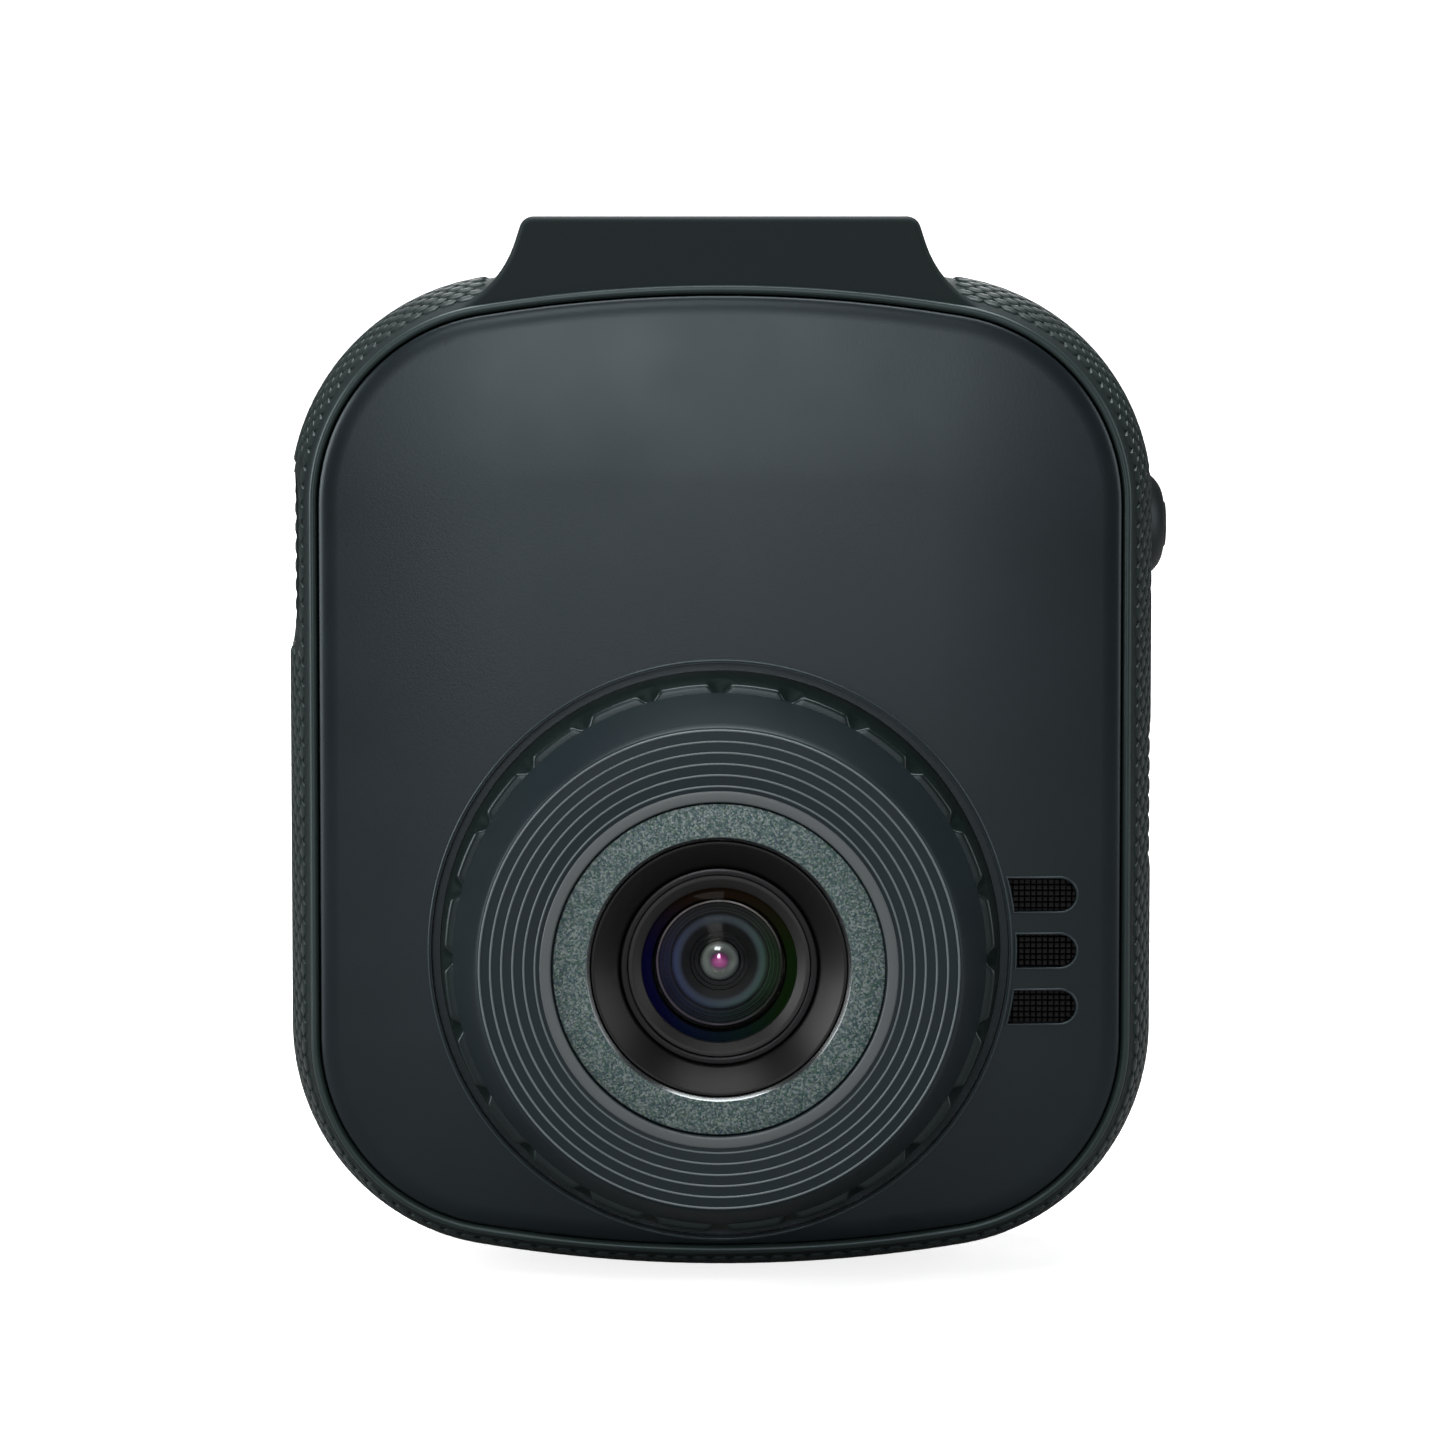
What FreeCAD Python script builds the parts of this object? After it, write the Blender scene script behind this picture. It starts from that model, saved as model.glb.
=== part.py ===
import FreeCAD, Part
import math
import os

# Compact dash camera: textured middle frame with a neck for the windscreen bracket, a front
# cover with the lens housing and speaker slots, and a rear cover with a screen and four keys.
#
# Millimetres, +Z up. The lens looks along -Y and the round side button is on the +X side.
# The origin is the centre of the neck's flat top. "Inset" is a distance drawn in from the
# body's widest outline, which lies in the plane y = 0.

Vector = FreeCAD.Vector

# ---- Body -----------------------------------------------------------------------------------
BODY_WIDTH = 52.0
BODY_HEIGHT = 60.9
BODY_DEPTH = 20.0
CORNER_RADIUS = 13.6
CROWN_RADIUS = 88.0
COVER_PROUD = 0.4
SIDE_SWELL = 1.6
LIP_WIDTH = 0.6
LIP_CROWN = 0.15
RIB_HALF_DEPTH = 3.4
RIB_HEIGHT = 1.0

# ---- Neck and its bracket slot -----------------------------------------------------------------
NECK_HEIGHT = 2.35
NECK_WIDTH = 23.2
NECK_CORNER_RADIUS = 0.85
NECK_FLANK_ANGLE = 18.0
NECK_FLARE_RADIUS = 6.3
NECK_EDGE_RADIUS = 0.35
NECK_ROOT_DEPTH = 6.0
SLOT_THROAT_WIDTH = 11.0
SLOT_THROAT_DEPTH = 1.1
SLOT_HEAD_WIDTH = 15.4
SLOT_HEAD_DEPTH = 1.5
SLOT_FRONT_WALL = 4.0

# ---- Covers -----------------------------------------------------------------------------------
COVER_GAP = 0.1
COVER_WALL = 1.6
REAR_WALL = 1.4
SKIRT_WALL = 1.2
COVER_EDGE_RADIUS = 1.2
SEAM_GAP = 0.05
POST_RADIUS = 2.4
POST_PILOT_RADIUS = 0.8
POST_JOINT_Y = 0.5
POST_ANGLE = 45.0
POST_MERGE = 0.2
BOARD_BOSS_RADIUS = 1.6
BOARD_BOSS_PILOT_RADIUS = 0.6

# ---- Lens housing ---------------------------------------------------------------------------
SEAT_RADIUS = 17.1
SEAT_DEPTH = 0.6
SEAT_RIM_WIDTH = 0.25
SEAT_RIM_HEIGHT = 0.2
SEAT_EDGE_MARGIN = 0.27
GRIP_BASE_RADIUS = 16.6
GRIP_EDGE_RADIUS = 16.1
GRIP_STANDOUT = 4.6
NOTCH_COUNT = 24
NOTCH_RADIUS = 0.53
NOTCH_CENTRE_LIFT = 0.08
BEZEL_BASE_RADIUS = 15.6
BEZEL_SPIGOT_RADIUS = 15.0
BEZEL_FACE_RADIUS = 14.1
BEZEL_STANDOUT = 10.0
BEZEL_WALL = 1.6
BEZEL_FACE_WALL = 1.8
BEZEL_EDGE_CHAMFER = 0.35
BEZEL_CLEARANCE = 0.05
RIB_RING_COUNT = 6
RIB_RING_OUTER = 13.84
RIB_RING_PITCH = 0.64
RIB_RING_WIDTH = 0.14
RIB_RING_HEIGHT = 0.12
RIM_OUTER_RADIUS = 10.29
RIM_INNER_RADIUS = 9.71
RIM_HEIGHT = 0.15
TRIM_OUTER_RADIUS = 9.55
TRIM_INNER_RADIUS = 7.4
TRIM_THICKNESS = 0.6
TRIM_RECESS = 0.3
TRIM_CHAMFER = 0.15
TRIM_CLEARANCE = 0.08
HOOD_MOUTH_RADIUS = 7.2
HOOD_CLEARANCE = 0.05
HOOD_OUTER_RADIUS = 7.33
HOOD_MOUTH_DEPTH = 0.6
HOOD_FUNNEL_DEPTH = 1.4
HOOD_FLANGE_RADIUS = 9.0
HOOD_FLANGE_THICKNESS = 0.8
BEZEL_BOSS_COUNT = 3
BEZEL_BOSS_RADIUS = 1.6
BEZEL_BOSS_MERGE = 0.3
BARREL_HOLE_RADIUS = 8.6

# ---- Lens ------------------------------------------------------------------------------------
BARREL_NOSE_RADIUS = 5.68
BARREL_NOSE_WALL = 0.38
BARREL_SHOULDER = 0.27
BARREL_NOSE_LENGTH = 3.0
BARREL_RECESS = 1.8
STACK_SHOULDER = 1.0
REAR_LIP_WIDTH = 0.9
REAR_LIP_THICKNESS = 0.6
GLASS_CLEARANCE = 0.03
RETAINER_THICKNESS = 0.8
RETAINER_RING_WIDTH = 0.8
RETAINER_SET_BACK = 0.2
RETAINER_SLOPE = 0.4
FRONT_GLASS_EDGE = 1.0
FRONT_GLASS_CURVE = 11.0
FRONT_GLASS_HOLLOW = 6.2
FRONT_GLASS_HOLLOW_SHARE = 3.8 / 5.3
SPACER_WALL = 0.75
MIDDLE_GLASS_EDGE = 1.4
MIDDLE_GLASS_CURVE = 9.0
STOP_THICKNESS = 0.4
STOP_HOLE_RADIUS = 1.2
REAR_SPACER_LENGTH = 2.0
REAR_GLASS_EDGE = 1.6
REAR_GLASS_CURVE = 8.0
REAR_GLASS_CLEAR_MARGIN = 0.2
HOLDER_TUBE_WALL = 1.21
HOLDER_CLEARANCE = 0.04
HOLDER_TUBE_GAP = 1.0
HOLDER_BASE_SIZE = 15.0
HOLDER_BASE_HEIGHT = 3.6
HOLDER_CAVITY_SIZE = 11.0
HOLDER_CAVITY_HEIGHT = 2.2
HOLDER_LIGHT_RADIUS = 3.4
HOLDER_EAR_SPREAD = 10.0
HOLDER_EAR_RADIUS = 1.8
BARREL_END_GAP = 0.5
FILTER_SIZE = 8.0
FILTER_THICKNESS = 0.4
FILTER_CLEARANCE = 0.1
SENSOR_SIZE = 8.2
SENSOR_THICKNESS = 1.2

# ---- Speaker and its slots --------------------------------------------------------------------
SLOT_COUNT = 3
SLOT_PITCH = 3.33
SLOT_HEIGHT = 2.1
SLOT_EDGE_MARGIN = 2.55
SLOT_SEAT_MARGIN = 0.15
MESH_POCKET_DEPTH = 0.5
MESH_THICKNESS = 0.25
MESH_BORDER = 0.8
MESH_CLEARANCE = 0.1
SPEAKER_WIDTH = 7.2
SPEAKER_LENGTH = 14.0
SPEAKER_THICKNESS = 3.2
SPEAKER_GASKET = 0.5
SPEAKER_GASKET_BORDER = 1.0
SPEAKER_SIDE_GAP = 0.3
SPEAKER_CORNER = 1.5

# ---- Electronics ------------------------------------------------------------------------------
BOARD_FRONT_Y = -1.0
BOARD_THICKNESS = 1.2
BOARD_EDGE_GAP = 0.4
BOARD_POST_GAP = 0.5
BOARD_SCREW_INSET = 2.9
BATTERY_WIDTH = 30.0
BATTERY_HEIGHT = 17.0
BATTERY_THICKNESS = 4.0
BATTERY_CORNER = 1.2
BATTERY_TOP_GAP = 2.6
BATTERY_PAD = 0.5
BATTERY_PAD_BORDER = 2.0
USB_DROP = 17.95
USB_LENGTH = 9.2
USB_WIDTH = 7.7
USB_HEIGHT = 3.9
USB_SHELL = 0.35
USB_TONGUE_WIDTH = 5.0
USB_TONGUE_THICKNESS = 1.0
USB_CAVITY_DEPTH = 7.5
USB_TONGUE_SET_BACK = 1.2
USB_CLEARANCE = 0.15
USB_RECESS_WIDTH = 8.4
USB_RECESS_LENGTH = 10.3
USB_RECESS_CORNER = 2.6
USB_RECESS_DEPTH = 1.4
CARD_LENGTH = 15.0
CARD_WIDTH = 11.0
CARD_THICKNESS = 0.8
CARD_DROP = 32.0
CARD_LIFT = 0.45
CARD_CLEARANCE = 0.15
CARD_PUSH = 0.6
CARD_SET_BACK = 0.15
CARD_SOCKET_WIDTH = 14.0
CARD_SOCKET_HEIGHT = 1.7
CARD_SOCKET_END = 1.4
CARD_NOTCH = 1.6
CARD_SCOOP_RADIUS = 4.2
CARD_SCOOP_DEPTH = 0.75
BOARD_SCREW_DROPS = {"left_upper": 25.25, "right_upper": 23.05, "left_lower": 39.65}

# ---- Side button -------------------------------------------------------------------------------
SIDE_BUTTON_DROP = 16.05
SIDE_BUTTON_Y = 1.2
SIDE_BUTTON_RADIUS = 3.2
SIDE_BUTTON_FACE_RADIUS = 1.45
SIDE_BUTTON_STANDOUT = 1.1
SIDE_BUTTON_FACE_STEP = 0.12
SIDE_BUTTON_SKIRT = 0.7
SIDE_BUTTON_DOME_BULGE = 0.42
SIDE_BUTTON_CLEARANCE = 0.15
SIDE_BUTTON_POCKET = 1.25
SIDE_STEM_RADIUS = 2.0
SIDE_FLANGE_RADIUS = 2.6
SIDE_FLANGE_THICKNESS = 0.5
SIDE_SWITCH_LENGTH = 3.0
SIDE_SWITCH_WIDTH = 4.5
BUTTON_TRAVEL = 0.3
TRAVEL_MARGIN = 0.1
PLUNGER_RADIUS = 0.8
PLUNGER_CLEARANCE = 0.05
PLUNGER_LENGTH = 0.85

# ---- Screen and rear keys ---------------------------------------------------------------------
SCREEN_WIDTH = 33.0
SCREEN_HEIGHT = 27.6
SCREEN_DROP = 26.55
SCREEN_CORNER = 0.8
PANEL_THICKNESS = 1.2
BACKLIGHT_THICKNESS = 1.3
SCREEN_GASKET = 0.5
SCREEN_BORDER = 1.5
BRACKET_WALL = 0.7
BRACKET_CLEARANCE = 0.05
WINDOW_WIDTH = 32.0
WINDOW_HEIGHT = 26.0
WINDOW_CORNER = 1.6
WINDOW_THICKNESS = 0.8
WINDOW_LEDGE = 1.2
WINDOW_CLEARANCE = 0.08
KEY_NAMES = ("menu", "up", "down", "ok")
KEY_PITCH = 9.0
KEY_LENGTH = 7.0
KEY_HEIGHT = 3.2
KEY_STANDOUT = 0.5
KEY_RISE = 13.75
KEY_CLEARANCE = 0.15
KEY_FLANGE_BORDER = 0.5
KEY_FLANGE_THICKNESS = 0.5
KEY_FLANGE_GAP = 0.05
KEY_EDGE_RADIUS = 0.3
KEY_BOARD_THICKNESS = 0.8
KEY_BOARD_LENGTH = 33.6
KEY_BOARD_ABOVE = 5.2
KEY_BOARD_BELOW = 3.2
KEY_SWITCH_HEIGHT = 1.2
KEY_SWITCH_LENGTH = 4.2
KEY_SWITCH_WIDTH = 3.2
STAKE_SPREAD = 8.0
STAKE_RISE = 3.6
STAKE_RADIUS = 0.6
STAKE_SHOULDER_RADIUS = 1.2
STAKE_CLEARANCE = 0.08
STAKE_HEAD = 0.4
LIGHT_RISE = 4.0
LIGHT_PIPE_RADIUS = 0.6
LED_SIZE = 1.6
LED_THICKNESS = 0.7
MICROPHONE_OFFSET = 13.5
MICROPHONE_LENGTH = 3.0
MICROPHONE_WIDTH = 2.2
MICROPHONE_THICKNESS = 1.0
MICROPHONE_HOLE_RADIUS = 0.45

# ---- Chips and connectors ----------------------------------------------------------------------
CHIPS = {
    "processor": (-7.0, 19.0, 9.0, 9.0, 1.1),
    "memory_chip": (4.5, 19.0, 8.0, 6.5, 0.9),
    "power_chip": (-15.5, 18.5, 4.0, 4.0, 0.8),
    "motion_sensor": (0.0, 29.0, 3.0, 3.0, 0.9),
}
PASSIVE_DROPS = (12.0, 26.2)
PASSIVE_HEIGHTS = (0.8, 0.5)
PASSIVE_PER_ROW = 7
PASSIVE_START_X = -12.0
PASSIVE_PITCH = 2.6
PASSIVE_LENGTH = 1.4
PASSIVE_WIDTH = 0.8
CONNECTOR_OFFSET = 3.8
CONNECTOR_LENGTH = 7.0
CONNECTOR_WIDTH = 2.4
RIBBON_OFFSET = 3.5
RIBBON_WIDTH = 7.0
RIBBON_THICKNESS = 0.2
RIBBON_BEND = 0.5
RIBBON_SOCKET_HEIGHT = 1.1
RIBBON_SOCKET_DEPTH = 1.8

# ---- Screws ------------------------------------------------------------------------------------
SMALL_SCREW_LENGTH = 4.0
CASE_HEAD_RADIUS = 1.8
CASE_HEAD_THICKNESS = 1.0
CASE_HEAD_RECESS = 0.3
CASE_HEAD_CLEARANCE = 0.15
CASE_SHANK_HOLE_RADIUS = 1.15
CASE_THREAD_ENGAGE = 5.0
SMALL_HEAD_RADIUS = 1.4
SMALL_HEAD_THICKNESS = 0.7
SMALL_SHANK_HOLE_RADIUS = 0.9
DRIVE_SLOT_WIDTH = 0.32
DRIVE_SLOT_DEPTH = 0.45
DRIVE_SLOT_SHARE = 0.62

# ---- Dependent places --------------------------------------------------------------------------
CUT_PAST = 1.0
SAME_POINT = 1e-6
HALF_WIDTH = BODY_WIDTH / 2
HALF_HEIGHT = BODY_HEIGHT / 2
FRONT_Y = -BODY_DEPTH / 2
REAR_Y = BODY_DEPTH / 2
FRAME_HALF_DEPTH = BODY_DEPTH / 2 - COVER_PROUD
TOP_Z = -NECK_HEIGHT
CENTRE_Z = TOP_Z - HALF_HEIGHT
BOTTOM_Z = CENTRE_Z - HALF_HEIGHT
LIP_INSET = SIDE_SWELL + LIP_WIDTH
RIB_INSET = LIP_INSET + RIB_HEIGHT
COVER_INSET = LIP_INSET + COVER_GAP
INNER_INSET = COVER_INSET + SKIRT_WALL
INNER_HALF_WIDTH = HALF_WIDTH - INNER_INSET
RIB_HALF_WIDTH = HALF_WIDTH - RIB_INSET
FRONT_INNER_Y = FRONT_Y + COVER_WALL
REAR_INNER_Y = REAR_Y - REAR_WALL
SKIRT_END_Y = RIB_HALF_DEPTH + SEAM_GAP

CORNER_X = HALF_WIDTH - CORNER_RADIUS
CORNER_UP = math.sqrt((CROWN_RADIUS - CORNER_RADIUS) ** 2 - CORNER_X**2) - (CROWN_RADIUS - HALF_HEIGHT)
CROWN_CENTRE_UP = HALF_HEIGHT - CROWN_RADIUS
CORNER_ANGLE = math.atan2(CORNER_UP - CROWN_CENTRE_UP, CORNER_X)

LENS_Z = BOTTOM_Z + COVER_INSET + SEAT_EDGE_MARGIN + SEAT_RIM_WIDTH + SEAT_RADIUS
SEAT_FLOOR_Y = FRONT_Y + SEAT_DEPTH
GRIP_FACE_Y = FRONT_Y - GRIP_STANDOUT
BEZEL_FACE_Y = FRONT_Y - BEZEL_STANDOUT
BEZEL_INNER_RADIUS = BEZEL_SPIGOT_RADIUS - BEZEL_WALL
BEZEL_BOSS_CIRCLE = BEZEL_INNER_RADIUS - BEZEL_BOSS_RADIUS + BEZEL_BOSS_MERGE
BEZEL_INNER_Y = BEZEL_FACE_Y + BEZEL_FACE_WALL
TRIM_FACE_Y = BEZEL_FACE_Y + TRIM_RECESS
TRIM_SEAT_Y = TRIM_FACE_Y + TRIM_THICKNESS
HOOD_MOUTH_Y = BEZEL_FACE_Y + HOOD_MOUTH_DEPTH
HOOD_SMALL_Y = HOOD_MOUTH_Y + HOOD_FUNNEL_DEPTH
HOOD_FLANGE_Y = BEZEL_INNER_Y
HOOD_END_Y = HOOD_FLANGE_Y + HOOD_FLANGE_THICKNESS

BOARD_REAR_Y = BOARD_FRONT_Y + BOARD_THICKNESS
BOARD_INSET = RIB_INSET + BOARD_EDGE_GAP
HOLDER_BASE_Y = BOARD_FRONT_Y - HOLDER_BASE_HEIGHT
HOLDER_FRONT_Y = FRONT_Y - HOLDER_TUBE_GAP
HOOD_SMALL_RADIUS = BARREL_NOSE_RADIUS + HOOD_CLEARANCE
BARREL_RADIUS = BARREL_NOSE_RADIUS + BARREL_SHOULDER
HOLDER_BORE = BARREL_RADIUS + HOLDER_CLEARANCE
HOLDER_TUBE_RADIUS = HOLDER_BORE + HOLDER_TUBE_WALL
RETAINER_BORE = BARREL_NOSE_RADIUS - BARREL_NOSE_WALL
RETAINER_INNER_RADIUS = RETAINER_BORE - RETAINER_RING_WIDTH
STACK_BORE = RETAINER_BORE - STACK_SHOULDER
SPACER_BORE = STACK_BORE - SPACER_WALL
REAR_LIP_RADIUS = STACK_BORE - REAR_LIP_WIDTH
REAR_GLASS_CLEAR_RADIUS = REAR_LIP_RADIUS - REAR_GLASS_CLEAR_MARGIN
FRONT_GLASS_HOLLOW_RADIUS = RETAINER_BORE * FRONT_GLASS_HOLLOW_SHARE
BARREL_FACE_Y = BEZEL_FACE_Y + BARREL_RECESS
BARREL_END_Y = HOLDER_BASE_Y - BARREL_END_GAP
RETAINER_FACE_Y = BARREL_FACE_Y + RETAINER_SET_BACK
FRONT_GLASS_Y = RETAINER_FACE_Y + RETAINER_THICKNESS
STACK_FRONT_Y = FRONT_GLASS_Y + FRONT_GLASS_EDGE
STACK_REAR_Y = BARREL_END_Y - REAR_LIP_THICKNESS
REAR_GLASS_Y = STACK_REAR_Y - REAR_GLASS_EDGE
REAR_SPACER_Y = REAR_GLASS_Y - REAR_SPACER_LENGTH
STOP_Y = REAR_SPACER_Y - STOP_THICKNESS
MIDDLE_GLASS_Y = STOP_Y - MIDDLE_GLASS_EDGE

SLOT_RIGHT_X = HALF_WIDTH - COVER_INSET - SLOT_EDGE_MARGIN
SLOT_LEFT_RADIUS = SEAT_RADIUS + SEAT_RIM_WIDTH + SLOT_SEAT_MARGIN
SLOT_SPAN = (SLOT_COUNT - 1) * SLOT_PITCH + SLOT_HEIGHT
MESH_Y = FRONT_INNER_Y - MESH_POCKET_DEPTH
SPEAKER_RIGHT_X = INNER_HALF_WIDTH - SPEAKER_SIDE_GAP
SPEAKER_Y = FRONT_INNER_Y + SPEAKER_GASKET

USB_Z = TOP_Z - USB_DROP
USB_Y = BOARD_FRONT_Y - USB_HEIGHT / 2
USB_MOUTH_X = -(HALF_WIDTH - USB_RECESS_DEPTH)
CARD_Z = TOP_Z - CARD_DROP
CARD_Y = BOARD_REAR_Y + CARD_LIFT
CARD_END_X = HALF_WIDTH - CARD_SET_BACK
BOARD_SCREW_X = INNER_HALF_WIDTH - BOARD_SCREW_INSET

SIDE_BUTTON_Z = TOP_Z - SIDE_BUTTON_DROP
SIDE_FACE_X = HALF_WIDTH + SIDE_BUTTON_STANDOUT
SIDE_POCKET_X = HALF_WIDTH - SIDE_BUTTON_POCKET
SIDE_SKIRT_X = SIDE_POCKET_X + BUTTON_TRAVEL + TRAVEL_MARGIN
SIDE_FLANGE_OUT_X = INNER_HALF_WIDTH - TRAVEL_MARGIN
SIDE_FLANGE_IN_X = SIDE_FLANGE_OUT_X - SIDE_FLANGE_THICKNESS
SIDE_SWITCH_X = SIDE_FLANGE_IN_X - BUTTON_TRAVEL - TRAVEL_MARGIN

SCREEN_Z = TOP_Z - SCREEN_DROP
PANEL_FACE_Y = REAR_INNER_Y - SCREEN_GASKET
PANEL_BACK_Y = PANEL_FACE_Y - PANEL_THICKNESS
BACKLIGHT_Y = PANEL_BACK_Y - BACKLIGHT_THICKNESS
BRACKET_Y = BACKLIGHT_Y - BRACKET_WALL - BRACKET_CLEARANCE
KEY_Z = BOTTOM_Z + KEY_RISE
KEY_FLANGE_Y = REAR_INNER_Y - KEY_FLANGE_GAP
KEY_FLANGE_FRONT_Y = KEY_FLANGE_Y - KEY_FLANGE_THICKNESS
KEY_SWITCH_Y = KEY_FLANGE_FRONT_Y - BUTTON_TRAVEL - TRAVEL_MARGIN
KEY_BOARD_REAR_Y = KEY_SWITCH_Y - KEY_SWITCH_HEIGHT
KEY_BOARD_Y = KEY_BOARD_REAR_Y - KEY_BOARD_THICKNESS
LIGHT_Z = KEY_Z + LIGHT_RISE

CASE_HEAD_Y = REAR_Y - CASE_HEAD_RECESS
CASE_HEAD_SEAT_Y = CASE_HEAD_Y - CASE_HEAD_THICKNESS


# ---- Shape helpers ---------------------------------------------------------------------------
def on_xz(x, z, y):
    """Point at depth y, from its place on the front view."""
    return Vector(x, y, z)


def box(x_limits, y_limits, z_limits):
    """Box between low and high limits along each axis."""
    corner = Vector(min(x_limits), min(y_limits), min(z_limits))
    size = [abs(high - low) for low, high in (x_limits, y_limits, z_limits)]
    return Part.makeBox(*size, corner)


def about(centre, size):
    """Low and high limit of a span of a given size about its centre."""
    return (centre - size / 2, centre + size / 2)


def cylinder_y(radius, x, z, y_start, y_end):
    """Cylinder along Y between two depths."""
    low = min(y_start, y_end)
    return Part.makeCylinder(radius, abs(y_end - y_start), Vector(x, low, z), Vector(0, 1, 0))


def cylinder_x(radius, y, z, x_start, x_end):
    """Cylinder along X between two places."""
    low = min(x_start, x_end)
    return Part.makeCylinder(radius, abs(x_end - x_start), Vector(low, y, z), Vector(1, 0, 0))


def tube_y(outer, inner, x, z, y_start, y_end):
    """Tube along Y."""
    return cylinder_y(outer, x, z, y_start, y_end).cut(cylinder_y(inner, x, z, y_start, y_end))


def revolved(edges, axis_point, axis):
    """Solid of revolution from the edges of a closed profile."""
    return Part.Face(Part.Wire(edges)).revolve(axis_point, axis, 360)


def lens_ring(profile):
    """Solid of revolution about the lens axis, from (radius, y) corners."""
    points = [Vector(radius, y, LENS_Z) for radius, y in profile]
    wire = Part.makePolygon(points + points[:1])
    return Part.Face(wire).revolve(Vector(0, 0, LENS_Z), Vector(0, 1, 0), 360)


def corner_arc(before, corner, after, radius):
    """Start, middle and end of the arc that rounds one corner of an outline."""
    to_before = (before - corner).normalize()
    to_after = (after - corner).normalize()
    half_angle = to_before.getAngle(to_after) / 2
    start = corner + to_before * (radius / math.tan(half_angle))
    end = corner + to_after * (radius / math.tan(half_angle))
    bisector = (to_before + to_after).normalize()
    middle = corner + bisector * (radius / math.sin(half_angle) - radius)
    return start, middle, end


def rounded_outline(corners, radius):
    """Closed wire through corner points, each rounded with one radius."""
    count = len(corners)
    arcs = [corner_arc(corners[i - 1], corners[i], corners[(i + 1) % count], radius) for i in range(count)]
    edges = []
    for index, (start, middle, end) in enumerate(arcs):
        previous_end = arcs[index - 1][2]
        if previous_end.distanceToPoint(start) > SAME_POINT:
            edges.append(Part.LineSegment(previous_end, start).toShape())
        edges.append(Part.Arc(start, middle, end).toShape())
    return Part.Wire(edges)


def rounded_plate(x, z, width, height, radius, y_start, y_end):
    """Plate facing Y with rounded corners."""
    corners = [
        on_xz(x + sign_x * width / 2, z + sign_z * height / 2, y_start)
        for sign_x, sign_z in ((1, 1), (-1, 1), (-1, -1), (1, -1))
    ]
    face = Part.Face(rounded_outline(corners, radius))
    return face.extrude(Vector(0, y_end - y_start, 0))


def rounded_pad_x(y, z, width, height, radius, x_start, x_end):
    """Pad facing X with rounded corners, width along Y and height along Z."""
    corners = [
        Vector(x_start, y + sign_y * width / 2, z + sign_z * height / 2)
        for sign_y, sign_z in ((1, 1), (-1, 1), (-1, -1), (1, -1))
    ]
    face = Part.Face(rounded_outline(corners, radius))
    return face.extrude(Vector(x_end - x_start, 0, 0))


def edges_at_y(shape, y):
    """Edges that lie wholly at one depth."""
    return [edge for edge in shape.Edges if all(abs(v.Y - y) < SAME_POINT for v in edge.Vertexes)]


def mirrored_x(shape):
    """Shape mirrored across the plane x = 0."""
    return shape.mirror(Vector(0, 0, 0), Vector(1, 0, 0))


# ---- Body outline ------------------------------------------------------------------------------
def body_outline(inset, y):
    """Closed body outline at one depth, drawn in from the widest outline."""
    side_x = HALF_WIDTH - inset
    corner_r = CORNER_RADIUS - inset
    crown_r = CROWN_RADIUS - inset
    crown_x = crown_r * math.cos(CORNER_ANGLE)
    crown_up = CROWN_CENTRE_UP + crown_r * math.sin(CORNER_ANGLE)
    middle_x = CORNER_X + corner_r * math.cos(CORNER_ANGLE / 2)
    middle_up = CORNER_UP + corner_r * math.sin(CORNER_ANGLE / 2)

    def point(x, up):
        return on_xz(x, CENTRE_Z + up, y)

    edges = []
    for side in (1, -1):
        crown_start = point(side * crown_x, side * crown_up)
        crown_top = point(0, side * (HALF_HEIGHT - inset))
        crown_end = point(-side * crown_x, side * crown_up)
        near_corner = point(side * middle_x, side * middle_up)
        near_side = point(side * side_x, side * CORNER_UP)
        far_corner = point(-side * middle_x, side * middle_up)
        far_side = point(-side * side_x, side * CORNER_UP)
        far_side_end = point(-side * side_x, -side * CORNER_UP)
        edges.append(Part.Arc(near_side, near_corner, crown_start).toShape())
        edges.append(Part.Arc(crown_start, crown_top, crown_end).toShape())
        edges.append(Part.Arc(crown_end, far_corner, far_side).toShape())
        edges.append(Part.LineSegment(far_side, far_side_end).toShape())
    return Part.Wire(edges)


def body_prism(inset, y_start, y_end):
    """Body outline extruded between two depths."""
    return Part.Face(body_outline(inset, y_start)).extrude(Vector(0, y_end - y_start, 0))


def swept_ring(profile):
    """Ring made by carrying a face, drawn with x = -inset and y = depth, round the outline."""
    turn_up = FreeCAD.Rotation(Vector(0, 1, 0), -90)
    corner_face = profile.copy()
    corner_face.translate(Vector(HALF_WIDTH, 0, CENTRE_Z + CORNER_UP))
    crown_face = profile.copy()
    crown_face.Placement = FreeCAD.Placement(Vector(0, 0, CENTRE_Z + HALF_HEIGHT), turn_up)
    corner_degrees = math.degrees(CORNER_ANGLE)
    side = corner_face.extrude(Vector(0, 0, -CORNER_UP))
    corner = corner_face.revolve(
        Vector(CORNER_X, 0, CENTRE_Z + CORNER_UP), Vector(0, -1, 0), corner_degrees
    )
    crown = crown_face.revolve(
        Vector(0, 0, CENTRE_Z + CROWN_CENTRE_UP), Vector(0, 1, 0), 90 - corner_degrees
    )
    quarter = side.fuse([corner, crown])
    half = quarter.fuse(mirrored_x(quarter))
    lower_half = half.mirror(Vector(0, 0, CENTRE_Z), Vector(0, 0, 1))
    return half.fuse(lower_half).removeSplitter()


def post_places():
    """Centres of the four case screw posts, in the body's corners."""
    reach = CORNER_RADIUS - INNER_INSET - POST_RADIUS + POST_MERGE
    across = CORNER_X + reach * math.cos(math.radians(POST_ANGLE))
    up = CORNER_UP + reach * math.sin(math.radians(POST_ANGLE))
    return [(sign_x * across, CENTRE_Z + sign_z * up) for sign_x in (1, -1) for sign_z in (1, -1)]


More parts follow.
